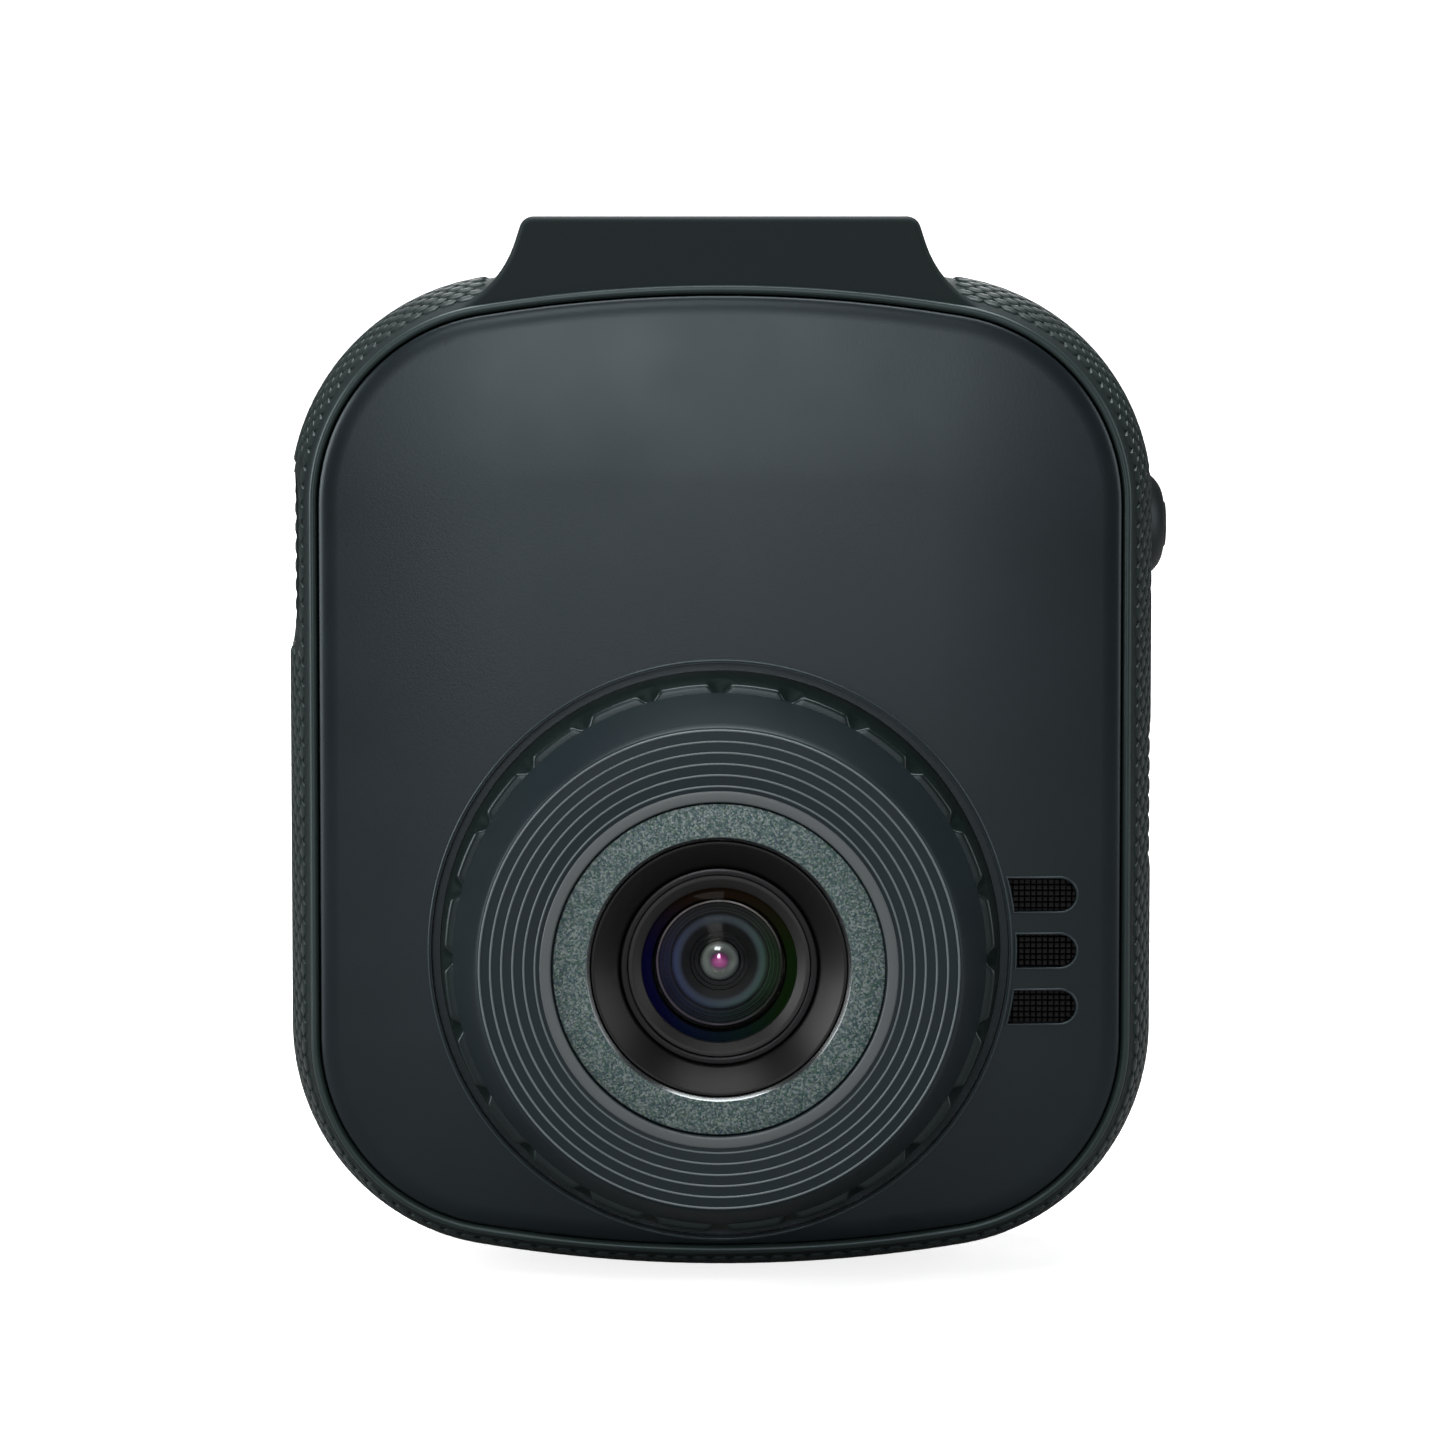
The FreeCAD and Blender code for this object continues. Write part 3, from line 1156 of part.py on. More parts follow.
def passive_parts():
    """Row of small capacitors and inductors round the processor."""
    blocks = []
    for row, drop in enumerate(PASSIVE_DROPS):
        for index in range(PASSIVE_PER_ROW):
            x = PASSIVE_START_X + index * PASSIVE_PITCH
            blocks.append(
                rear_chip(x, TOP_Z - drop, PASSIVE_LENGTH, PASSIVE_WIDTH, PASSIVE_HEIGHTS[row])
            )
    return Part.makeCompound(blocks)


def usb_socket():
    """USB power socket: a metal shell open at its mouth, with the contact tongue inside."""
    inner_x = USB_MOUTH_X + USB_LENGTH
    shell = box((USB_MOUTH_X, inner_x), about(USB_Y, USB_HEIGHT), about(USB_Z, USB_WIDTH))
    cavity = box(
        (USB_MOUTH_X - CUT_PAST, USB_MOUTH_X + USB_CAVITY_DEPTH),
        about(USB_Y, USB_HEIGHT - 2 * USB_SHELL),
        about(USB_Z, USB_WIDTH - 2 * USB_SHELL),
    )
    tongue = box(
        (USB_MOUTH_X + USB_TONGUE_SET_BACK, inner_x),
        about(USB_Y, USB_TONGUE_THICKNESS),
        about(USB_Z, USB_TONGUE_WIDTH),
    )
    return shell.cut(cavity).fuse(tongue).removeSplitter()


def card_socket():
    """Push-push socket for the memory card, open towards the slot in the right wall."""
    inner_x = CARD_END_X - CARD_LENGTH - CARD_PUSH - CARD_CLEARANCE
    shell = box(
        (inner_x - CARD_SOCKET_END, HALF_WIDTH - BOARD_INSET),
        (BOARD_REAR_Y, BOARD_REAR_Y + CARD_SOCKET_HEIGHT),
        about(CARD_Z, CARD_SOCKET_WIDTH),
    )
    channel = box(
        (inner_x, HALF_WIDTH),
        (CARD_Y - CARD_CLEARANCE, CARD_Y + CARD_THICKNESS + CARD_CLEARANCE),
        about(CARD_Z, CARD_WIDTH + 2 * CARD_CLEARANCE),
    )
    return shell.cut(channel)


def memory_card():
    """Thumbnail-sized memory card with a notch in one edge."""
    card = box(
        (CARD_END_X - CARD_LENGTH, CARD_END_X), (CARD_Y, CARD_Y + CARD_THICKNESS), about(CARD_Z, CARD_WIDTH)
    )
    notch = box(
        (CARD_END_X - CARD_LENGTH - CUT_PAST, CARD_END_X - CARD_LENGTH / 2),
        (CARD_Y - CUT_PAST, CARD_Y + CARD_THICKNESS + CUT_PAST),
        (CARD_Z + CARD_WIDTH / 2 - CARD_NOTCH, CARD_Z + CARD_WIDTH),
    )
    return card.cut(notch)


def board_connector():
    """Pin header that joins the main board to the key board."""
    return box(
        about(-CONNECTOR_OFFSET, CONNECTOR_LENGTH),
        (BOARD_REAR_Y, KEY_BOARD_Y),
        about(KEY_Z, CONNECTOR_WIDTH),
    )


def battery():
    """Flat lithium cell behind the upper part of the front cover."""
    low_y = FRONT_INNER_Y + BATTERY_PAD
    return rounded_plate(
        0, battery_z(), BATTERY_WIDTH, BATTERY_HEIGHT, BATTERY_CORNER, low_y, low_y + BATTERY_THICKNESS
    )


def battery_z():
    """Height of the battery's centre, just under the top of the inner space."""
    return TOP_Z - INNER_INSET - BATTERY_TOP_GAP - BATTERY_HEIGHT / 2


def battery_pad():
    """Adhesive foam between the battery and the front cover."""
    return rounded_plate(
        0, battery_z(), BATTERY_WIDTH - 2 * BATTERY_PAD_BORDER, BATTERY_HEIGHT - 2 * BATTERY_PAD_BORDER,
        BATTERY_CORNER, FRONT_INNER_Y, FRONT_INNER_Y + BATTERY_PAD,
    )


def speaker_x():
    """Middle of the speaker, close to the right wall."""
    return SPEAKER_RIGHT_X - SPEAKER_WIDTH / 2


def speaker():
    """Flat speaker behind the slots."""
    return rounded_plate(
        speaker_x(), LENS_Z, SPEAKER_WIDTH, SPEAKER_LENGTH, SPEAKER_CORNER,
        SPEAKER_Y, SPEAKER_Y + SPEAKER_THICKNESS,
    )


def speaker_gasket():
    """Foam ring that seals the speaker to the front cover."""
    outer = rounded_plate(
        speaker_x(), LENS_Z, SPEAKER_WIDTH, SPEAKER_LENGTH, SPEAKER_CORNER, FRONT_INNER_Y, SPEAKER_Y
    )
    inner = rounded_plate(
        speaker_x(), LENS_Z, SPEAKER_WIDTH - 2 * SPEAKER_GASKET_BORDER,
        SPEAKER_LENGTH - 2 * SPEAKER_GASKET_BORDER, SPEAKER_CORNER - SPEAKER_GASKET_BORDER / 2,
        FRONT_INNER_Y, SPEAKER_Y,
    )
    return outer.cut(inner)


def speaker_mesh():
    """Fine mesh behind the slots, drawn as a plain sheet."""
    return mesh_plate(0, MESH_Y, MESH_Y + MESH_THICKNESS)


# ---- Side button -------------------------------------------------------------------------------
def side_button():
    """Domed cap with a small flat end, a stem and a flange that keeps it in."""
    face_base = SIDE_FACE_X - SIDE_BUTTON_FACE_STEP
    dome_base = SIDE_SKIRT_X + SIDE_BUTTON_SKIRT
    dome_middle_x = (dome_base + face_base) / 2 + SIDE_BUTTON_DOME_BULGE / 2
    dome_middle_r = (SIDE_BUTTON_RADIUS + SIDE_BUTTON_FACE_RADIUS) / 2 + SIDE_BUTTON_DOME_BULGE / 2

    def at(x, radius):
        return Vector(x, SIDE_BUTTON_Y, SIDE_BUTTON_Z + radius)

    outline = [
        at(face_base, SIDE_BUTTON_FACE_RADIUS),
        at(SIDE_FACE_X, SIDE_BUTTON_FACE_RADIUS - SIDE_BUTTON_FACE_STEP),
        at(SIDE_FACE_X, 0),
        at(SIDE_FLANGE_IN_X, 0),
        at(SIDE_FLANGE_IN_X, SIDE_FLANGE_RADIUS),
        at(SIDE_FLANGE_OUT_X, SIDE_FLANGE_RADIUS),
        at(SIDE_FLANGE_OUT_X, SIDE_STEM_RADIUS),
        at(SIDE_SKIRT_X, SIDE_STEM_RADIUS),
        at(SIDE_SKIRT_X, SIDE_BUTTON_RADIUS),
        at(dome_base, SIDE_BUTTON_RADIUS),
    ]
    edges = [Part.LineSegment(a, b).toShape() for a, b in zip(outline, outline[1:])]
    edges.append(Part.Arc(outline[-1], at(dome_middle_x, dome_middle_r), outline[0]).toShape())
    return revolved(edges, Vector(0, SIDE_BUTTON_Y, SIDE_BUTTON_Z), Vector(1, 0, 0))


def side_switch():
    """Right-angle switch on the rear side of the main board."""
    body = box(
        (SIDE_SWITCH_X - SIDE_SWITCH_LENGTH, SIDE_SWITCH_X),
        (BOARD_REAR_Y, 2 * SIDE_BUTTON_Y - BOARD_REAR_Y),
        about(SIDE_BUTTON_Z, SIDE_SWITCH_WIDTH),
    )
    hole_end_x = SIDE_FLANGE_IN_X - PLUNGER_LENGTH - BUTTON_TRAVEL - TRAVEL_MARGIN
    hole = cylinder_x(
        PLUNGER_RADIUS + PLUNGER_CLEARANCE, SIDE_BUTTON_Y, SIDE_BUTTON_Z, hole_end_x, SIDE_SWITCH_X + CUT_PAST
    )
    return body.cut(hole)


def side_plunger():
    """Plunger of the side switch, which moves with the button."""
    return cylinder_x(
        PLUNGER_RADIUS, SIDE_BUTTON_Y, SIDE_BUTTON_Z, SIDE_FLANGE_IN_X - PLUNGER_LENGTH, SIDE_FLANGE_IN_X
    )


# ---- Screen ------------------------------------------------------------------------------------
def screen_layer(width, height, radius, y_start, y_end):
    """Rounded plate centred on the screen."""
    return rounded_plate(0, SCREEN_Z, width, height, radius, y_start, y_end)


def screen_window():
    """Clear window let into the rear cover."""
    return screen_layer(WINDOW_WIDTH, WINDOW_HEIGHT, WINDOW_CORNER, REAR_Y - WINDOW_THICKNESS, REAR_Y)


def screen_gasket():
    """Foam ring between the rear cover and the screen's edge."""
    outer = screen_layer(SCREEN_WIDTH, SCREEN_HEIGHT, SCREEN_CORNER, PANEL_FACE_Y, REAR_INNER_Y)
    inner = screen_layer(
        SCREEN_WIDTH - 2 * SCREEN_BORDER, SCREEN_HEIGHT - 2 * SCREEN_BORDER, SCREEN_CORNER,
        PANEL_FACE_Y, REAR_INNER_Y,
    )
    return outer.cut(inner)


def screen_panel():
    """Glass screen panel."""
    return screen_layer(SCREEN_WIDTH, SCREEN_HEIGHT, SCREEN_CORNER, PANEL_BACK_Y, PANEL_FACE_Y)


def screen_backlight():
    """Backlight behind the panel."""
    return screen_layer(SCREEN_WIDTH, SCREEN_HEIGHT, SCREEN_CORNER, BACKLIGHT_Y, PANEL_BACK_Y)


def screen_bracket():
    """Tray that holds the screen, open towards the window and cut away for the ribbon."""
    wall = 2 * (BRACKET_WALL + BRACKET_CLEARANCE)
    outer = screen_layer(
        SCREEN_WIDTH + wall, SCREEN_HEIGHT + wall, SCREEN_CORNER + BRACKET_WALL, BRACKET_Y, PANEL_FACE_Y
    )
    inner = screen_layer(
        SCREEN_WIDTH + 2 * BRACKET_CLEARANCE, SCREEN_HEIGHT + 2 * BRACKET_CLEARANCE, SCREEN_CORNER,
        BRACKET_Y + BRACKET_WALL, PANEL_FACE_Y,
    )
    gap = box(
        about(RIBBON_OFFSET, RIBBON_WIDTH + 2 * BRACKET_WALL),
        (BRACKET_Y + BRACKET_WALL, PANEL_FACE_Y + CUT_PAST),
        (ribbon_z() - CUT_PAST, SCREEN_Z - SCREEN_HEIGHT / 2 + BRACKET_WALL / 2),
    )
    return outer.cut([inner, gap])


def ribbon_z():
    """Height of the ribbon's level run, just under the screen's tray."""
    return SCREEN_Z - SCREEN_HEIGHT / 2 - BRACKET_WALL - BRACKET_CLEARANCE - 2 * RIBBON_THICKNESS


def screen_ribbon():
    """Flat ribbon from the backlight's lower edge, bent forward to its connector."""
    half = RIBBON_THICKNESS / 2
    start_y = PANEL_BACK_Y - BACKLIGHT_THICKNESS / 2
    top_z = SCREEN_Z - SCREEN_HEIGHT / 2
    low_z = ribbon_z()
    end_y = BOARD_REAR_Y + RIBBON_SOCKET_HEIGHT
    bend = RIBBON_BEND

    def at(y, z):
        return Vector(RIBBON_OFFSET - RIBBON_WIDTH / 2, y, z)

    def arc(radius):
        centre_y = start_y - bend
        centre_z = low_z + bend
        share = radius * math.sqrt(0.5)
        return Part.Arc(
            at(centre_y + radius, centre_z),
            at(centre_y + share, centre_z - share),
            at(centre_y, centre_z - radius),
        ).toShape()

    outer = arc(bend + half)
    inner = arc(bend - half)
    lines = [
        (at(start_y + half, top_z), at(start_y + half, low_z + bend)),
        (at(start_y - bend, low_z - half), at(end_y, low_z - half)),
        (at(end_y, low_z - half), at(end_y, low_z + half)),
        (at(end_y, low_z + half), at(start_y - bend, low_z + half)),
        (at(start_y - half, low_z + bend), at(start_y - half, top_z)),
        (at(start_y - half, top_z), at(start_y + half, top_z)),
    ]
    edges = [Part.LineSegment(a, b).toShape() for a, b in lines] + [outer, inner]
    face = Part.Face(Part.Wire(Part.__sortEdges__(edges)))
    return face.extrude(Vector(RIBBON_WIDTH, 0, 0))


def ribbon_socket():
    """Connector on the main board that grips the ribbon's end."""
    return box(
        about(RIBBON_OFFSET, RIBBON_WIDTH + 2 * RIBBON_THICKNESS),
        (BOARD_REAR_Y, BOARD_REAR_Y + RIBBON_SOCKET_HEIGHT),
        about(ribbon_z(), RIBBON_SOCKET_DEPTH),
    )


# ---- Rear keys ---------------------------------------------------------------------------------
def key_cap(x):
    """Pill-shaped key with a softened top, and a flange and stub behind the cover."""
    cap = key_outline(x, 0, KEY_FLANGE_FRONT_Y, REAR_Y + KEY_STANDOUT)
    cap = cap.makeFillet(KEY_EDGE_RADIUS, edges_at_y(cap, REAR_Y + KEY_STANDOUT))
    flange = key_outline(x, KEY_FLANGE_BORDER, KEY_FLANGE_FRONT_Y, KEY_FLANGE_Y)
    return cap.fuse(flange).removeSplitter()


def key_plunger(x):
    """Plunger of one key's switch, which moves with the key."""
    return cylinder_y(
        PLUNGER_RADIUS, x, KEY_Z, KEY_FLANGE_FRONT_Y - PLUNGER_LENGTH, KEY_FLANGE_FRONT_Y
    )


def key_switches():
    """Bodies of the four key switches."""
    bodies = []
    hole_y = KEY_FLANGE_FRONT_Y - PLUNGER_LENGTH - BUTTON_TRAVEL - TRAVEL_MARGIN
    for _, x in key_places():
        body = box(
            about(x, KEY_SWITCH_LENGTH), (KEY_BOARD_REAR_Y, KEY_SWITCH_Y), about(KEY_Z, KEY_SWITCH_WIDTH)
        )
        hole = cylinder_y(PLUNGER_RADIUS + PLUNGER_CLEARANCE, x, KEY_Z, hole_y, KEY_SWITCH_Y + CUT_PAST)
        bodies.append(body.cut(hole))
    return Part.makeCompound(bodies)


def key_board():
    """Small board under the keys, staked to the rear cover."""
    board = box(
        about(0, KEY_BOARD_LENGTH),
        (KEY_BOARD_Y, KEY_BOARD_REAR_Y),
        (KEY_Z - KEY_BOARD_BELOW, KEY_Z + KEY_BOARD_ABOVE),
    )
    holes = [
        cylinder_y(
            STAKE_RADIUS + STAKE_CLEARANCE, x, z, KEY_BOARD_Y - CUT_PAST, KEY_BOARD_REAR_Y + CUT_PAST
        )
        for x, z in stake_places()
    ]
    return board.cut(post_clearances(KEY_BOARD_Y, KEY_BOARD_REAR_Y) + holes)


def status_led():
    """Indicator light on the key board."""
    return box(
        about(0, LED_SIZE), (KEY_BOARD_REAR_Y, KEY_BOARD_REAR_Y + LED_THICKNESS), about(LIGHT_Z, LED_SIZE / 2)
    )


def light_pipe():
    """Clear rod that brings the indicator's light to the rear face."""
    return cylinder_y(
        LIGHT_PIPE_RADIUS - GLASS_CLEARANCE, 0, LIGHT_Z, KEY_BOARD_REAR_Y + LED_THICKNESS, REAR_Y
    )


def microphone():
    """Microphone on the key board, behind its hole in the rear cover."""
    return box(
        about(MICROPHONE_OFFSET, MICROPHONE_LENGTH),
        (KEY_BOARD_REAR_Y, KEY_BOARD_REAR_Y + MICROPHONE_THICKNESS),
        about(LIGHT_Z, MICROPHONE_WIDTH),
    )


# ---- Screws ------------------------------------------------------------------------------------
def screw(x, z, seat_y, direction, head, shank):
    """Pan-head screw with a cross drive; direction is the way its shank runs along Y."""
    head_radius, head_thickness = head
    shank_radius, shank_length = shank
    top_y = seat_y - direction * head_thickness
    body = cylinder_y(head_radius, x, z, seat_y, top_y)
    body = body.fuse(cylinder_y(shank_radius, x, z, seat_y, seat_y + direction * shank_length))
    drive_y = (top_y - direction, top_y + direction * DRIVE_SLOT_DEPTH)
    length = 2 * head_radius * DRIVE_SLOT_SHARE
    for width, height in ((length, DRIVE_SLOT_WIDTH), (DRIVE_SLOT_WIDTH, length)):
        body = body.cut(box(about(x, width), drive_y, about(z, height)))
    return body.removeSplitter()


def small_screws(places, seat_y, direction, length):
    """Group of small pan-head screws."""
    head = (SMALL_HEAD_RADIUS, SMALL_HEAD_THICKNESS)
    shank = (BOARD_BOSS_PILOT_RADIUS, length)
    return Part.makeCompound([screw(x, z, seat_y, direction, head, shank) for x, z in places])


def case_screws():
    """Four screws that hold the rear cover to the front cover's posts."""
    head = (CASE_HEAD_RADIUS, CASE_HEAD_THICKNESS)
    shank = (POST_PILOT_RADIUS, CASE_HEAD_SEAT_Y - POST_JOINT_Y + CASE_THREAD_ENGAGE)
    return Part.makeCompound([screw(x, z, CASE_HEAD_SEAT_Y, -1, head, shank) for x, z in post_places()])


# ---- The whole camera --------------------------------------------------------------------------
def camera_parts():
    """Every node of the camera, by name."""
    parts = {
        "front_cover": front_cover(),
        "middle_frame": middle_frame(),
        "rear_cover": rear_cover(),
        "grip_ring": grip_ring(),
        "lens_bezel": lens_bezel(),
        "trim_ring": trim_ring(),
        "lens_hood": lens_hood(),
        "lens_barrel": lens_barrel(),
        "retaining_ring": retaining_ring(),
        "front_element": front_element(),
        "lens_spacer": lens_spacer(),
        "middle_element": middle_element(),
        "aperture_stop": aperture_stop(),
        "rear_spacer": rear_spacer(),
        "rear_element": rear_element(),
        "lens_holder": lens_holder(),
        "ir_filter": ir_filter(),
        "image_sensor": image_sensor(),
        "main_board": main_board(),
        "board_components": passive_parts(),
        "usb_socket": usb_socket(),
        "card_socket": card_socket(),
        "memory_card": memory_card(),
        "board_connector": board_connector(),
        "battery": battery(),
        "battery_pad": battery_pad(),
        "speaker": speaker(),
        "speaker_gasket": speaker_gasket(),
        "speaker_mesh": speaker_mesh(),
        "side_button": side_button(),
        "side_switch": side_switch(),
        "side_plunger": side_plunger(),
        "screen_window": screen_window(),
        "screen_gasket": screen_gasket(),
        "screen_panel": screen_panel(),
        "screen_backlight": screen_backlight(),
        "screen_bracket": screen_bracket(),
        "screen_ribbon": screen_ribbon(),
        "ribbon_socket": ribbon_socket(),
        "key_switches": key_switches(),
        "key_board": key_board(),
        "status_led": status_led(),
        "light_pipe": light_pipe(),
        "microphone": microphone(),
        "case_screws": case_screws(),
        "board_screws": small_screws(board_screw_places(), BOARD_REAR_Y, -1, SMALL_SCREW_LENGTH),
        "holder_screws": small_screws(holder_screw_places(), BOARD_REAR_Y, -1, SMALL_SCREW_LENGTH),
        "bezel_screws": small_screws(bezel_screw_places(), FRONT_INNER_Y, -1, SMALL_SCREW_LENGTH),
    }
    for name, (x, drop, width, height, thickness) in CHIPS.items():
        parts[name] = rear_chip(x, TOP_Z - drop, width, height, thickness)
    for name, x in key_places():
        parts[f"{name}_button"] = key_cap(x)
        parts[f"{name}_plunger"] = key_plunger(x)
    return parts


def main():
    """Build every node and write it as STEP."""
    os.makedirs("parts", exist_ok=True)
    for name, shape in camera_parts().items():
        if not shape.isValid() or not shape.Solids:
            raise RuntimeError(f"{name} is not a valid solid")
        shape.exportStep(os.path.join("parts", f"{name}.step"))


main()
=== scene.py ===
"""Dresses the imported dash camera: finer meshes for what shows, a finish for each node, a studio."""

import logging
import math
from dataclasses import dataclass
from enum import Enum
from typing import Any, Callable, Iterable, Sequence

import bmesh
import bpy
import numpy as np
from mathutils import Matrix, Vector
from mathutils.geometry import delaunay_2d_cdt
from mathutils.kdtree import KDTree


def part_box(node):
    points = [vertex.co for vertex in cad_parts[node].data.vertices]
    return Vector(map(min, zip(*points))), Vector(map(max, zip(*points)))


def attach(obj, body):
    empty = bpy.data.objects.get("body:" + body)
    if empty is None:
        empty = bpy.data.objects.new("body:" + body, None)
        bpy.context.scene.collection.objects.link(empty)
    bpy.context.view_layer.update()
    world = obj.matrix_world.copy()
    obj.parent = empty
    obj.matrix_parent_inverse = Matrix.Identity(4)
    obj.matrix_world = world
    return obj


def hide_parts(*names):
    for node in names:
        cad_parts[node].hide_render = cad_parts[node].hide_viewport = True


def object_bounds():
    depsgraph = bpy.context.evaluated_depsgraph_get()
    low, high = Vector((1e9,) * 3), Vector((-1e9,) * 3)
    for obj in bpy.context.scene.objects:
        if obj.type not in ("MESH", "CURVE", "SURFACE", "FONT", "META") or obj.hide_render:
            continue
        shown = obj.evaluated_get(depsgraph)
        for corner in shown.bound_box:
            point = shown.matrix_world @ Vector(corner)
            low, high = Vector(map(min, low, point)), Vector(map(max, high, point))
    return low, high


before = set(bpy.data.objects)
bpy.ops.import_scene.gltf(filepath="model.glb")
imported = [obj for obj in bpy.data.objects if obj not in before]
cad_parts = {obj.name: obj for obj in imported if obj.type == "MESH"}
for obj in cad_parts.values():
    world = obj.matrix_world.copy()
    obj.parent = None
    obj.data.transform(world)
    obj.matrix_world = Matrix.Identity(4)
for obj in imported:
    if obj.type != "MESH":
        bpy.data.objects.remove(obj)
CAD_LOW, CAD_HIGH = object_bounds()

log = logging.getLogger("dash_camera")

MM = 0.001
FULL_TURN = 2.0 * math.pi
LOFT_SHARP_DEGREES = 40.0

Point2 = tuple[float, float]
Settings = dict[Any, Any]


class Rides(str, Enum):
    """The bodies that pieces move with."""

    CAMERA = "camera"
    SIDE_BUTTON = "side_button"
    CARD = "memory_card"
    MENU = "menu_button"
    UP = "up_button"
    DOWN = "down_button"
    OK = "ok_button"


# ---------------------------------------------------------------- small helpers


def linear(hex_colour: str) -> tuple[float, float, float, float]:
    """Turns an sRGB hex colour to linear RGBA.

    Args:
        hex_colour: six hex digits, with or without a hash sign.

    Returns:
        Linear red, green, blue and an alpha of one.
    """
    digits = hex_colour.lstrip("#")
    channels = [int(digits[i:i + 2], 16) / 255.0 for i in (0, 2, 4)]
    toned = [c / 12.92 if c <= 0.04045 else ((c + 0.055) / 1.055) ** 2.4 for c in channels]
    return toned[0], toned[1], toned[2], 1.0


def per_metre(size_mm: float) -> float:
    """Returns the texture scale whose features are the given size across."""
    return 1.0 / (size_mm * MM)


def assign(node: bpy.types.Node, settings: Settings) -> None:
    """Sets a node's properties and inputs.

    Args:
        node: the node.
        settings: property or input to value; a socket or an Amount is linked.
    """
    for key, value in settings.items():
        given = value.socket if isinstance(value, Amount) else value
        if isinstance(key, str) and key in node.bl_rna.properties:
            setattr(node, key, given)
        elif isinstance(given, bpy.types.NodeSocket):
            node.id_data.links.new(given, node.inputs[key])
        else:
            node.inputs[key].default_value = given


def add(tree: bpy.types.NodeTree, kind: str, settings: Settings | None = None) -> bpy.types.Node:
    """Adds a node with its settings and links.

    Args:
        tree: the tree that takes the node.
        kind: the node's type name.
        settings: property or input to value.

    Returns:
        The new node.
    """
    node = tree.nodes.new(kind)
    assign(node, settings or {})
    return node


@dataclass(frozen=True)
class Amount:
    """A number that a node tree works out, so that sums on it read as sums."""

    tree: bpy.types.NodeTree
    socket: bpy.types.NodeSocket

    def work(self, operation: str, *others: "Amount | float") -> "Amount":
        """Returns what a named operation makes of this number and others."""
        settings: Settings = {"operation": operation, 0: self, **dict(enumerate(others, 1))}
        return Amount(self.tree, add(self.tree, "ShaderNodeMath", settings).outputs[0])

    def __add__(self, other: "Amount | float") -> "Amount":
        """Returns the sum."""
        return self.work("ADD", other)

    def __sub__(self, other: "Amount | float") -> "Amount":
        """Returns the difference."""
        return self.work("SUBTRACT", other)

    def __mul__(self, other: "Amount | float") -> "Amount":
        """Returns the product."""
        return self.work("MULTIPLY", other)

    def __truediv__(self, other: "Amount | float") -> "Amount":
        """Returns the quotient."""
        return self.work("DIVIDE", other)

    def __gt__(self, other: "Amount | float") -> "Amount":
        """Returns one where this number is the greater, and nothing elsewhere."""
        return self.work("GREATER_THAN", other)

    def __lt__(self, other: "Amount | float") -> "Amount":
        """Returns one where this number is the smaller, and nothing elsewhere."""
        return self.work("LESS_THAN", other)


def make_object(name: str, mesh: bpy.types.Mesh) -> bpy.types.Object:
    """Links a mesh to the scene as an object at the origin."""
    made = bpy.data.objects.new(name, mesh)
    bpy.context.scene.collection.objects.link(made)
    return made


def smooth(mesh: bpy.types.Mesh, sharp_above: float = 32.0) -> None:
    """Shades a mesh smooth and marks edges above an angle in degrees as sharp."""
    mesh.shade_smooth()
    mesh.set_sharp_from_angle(angle=math.radians(sharp_above))


def plain_mesh(
    name: str,
    points: Iterable[Sequence[float]],
    edges: Sequence[tuple[int, int]] = (),
    faces: Iterable[Sequence[int]] = (),
) -> bpy.types.Mesh:
    """Makes a mesh from points in millimetres.

    Args:
        name: the mesh's name.
        points: corner places in millimetres.
        edges: corner numbers of each loose edge.
        faces: corner numbers of each face.

    Returns:
        The mesh, in metres.
    """
    mesh = bpy.data.meshes.new(name)
    mesh.from_pydata([[c * MM for c in p] for p in points], edges, [list(f) for f in faces])
    return mesh


def mesh_from(
    name: str,
    points: Sequence[Sequence[float]],
    faces: Sequence[Sequence[int]],
    sharp_above: float = 32.0,
) -> bpy.types.Mesh:
    """Builds a closed mesh from points in millimetres, with its faces pointing outwards.

    Args:
        name: the mesh's name.
        points: corner places in millimetres.
        faces: corner numbers of each face.
        sharp_above: edges that turn more than this many degrees stay sharp.

    Returns:
        The mesh, in metres.
    """
    mesh = plain_mesh(name, points, faces=faces)
    work = bmesh.new()
    work.from_mesh(mesh)
    bmesh.ops.remove_doubles(work, verts=work.verts, dist=1e-7)
    bmesh.ops.recalc_face_normals(work, faces=work.faces)
    work.to_mesh(mesh)
    work.free()
    smooth(mesh, sharp_above)
    return mesh


def middle(node: str) -> Vector:
    """Returns the middle of a CAD node's box, in millimetres."""
    low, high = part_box(node)
    return (low + high) / (2.0 * MM)


def span(node: str) -> tuple[Vector, Vector]:
    """Returns a CAD node's lowest and highest corner, in millimetres."""
    low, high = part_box(node)
    return low / MM, high / MM


def settle(
    made: bpy.types.Object | bpy.types.Mesh,
    body: Rides,
    finish: "Finish",
    replaces: Iterable[str] = (),
) -> None:
    """Gives a finished piece its material, its body and the nodes it stands for.

    Args:
        made: the finished piece, or its mesh in place.
        body: the body it rides on.
        finish: the finish that covers it.
        replaces: the CAD nodes that it stands for.
    """
    piece = make_object(made.name, made) if isinstance(made, bpy.types.Mesh) else made
    piece.data.materials.clear()
    piece.data.materials.append(finish.material())
    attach(piece, body.value)
    if replaces:
        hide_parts(*replaces)
    log.info("%s: %d faces, rides on %s", piece.name, len(piece.data.polygons), body.value)


# ---------------------------------------------------------------- finishes


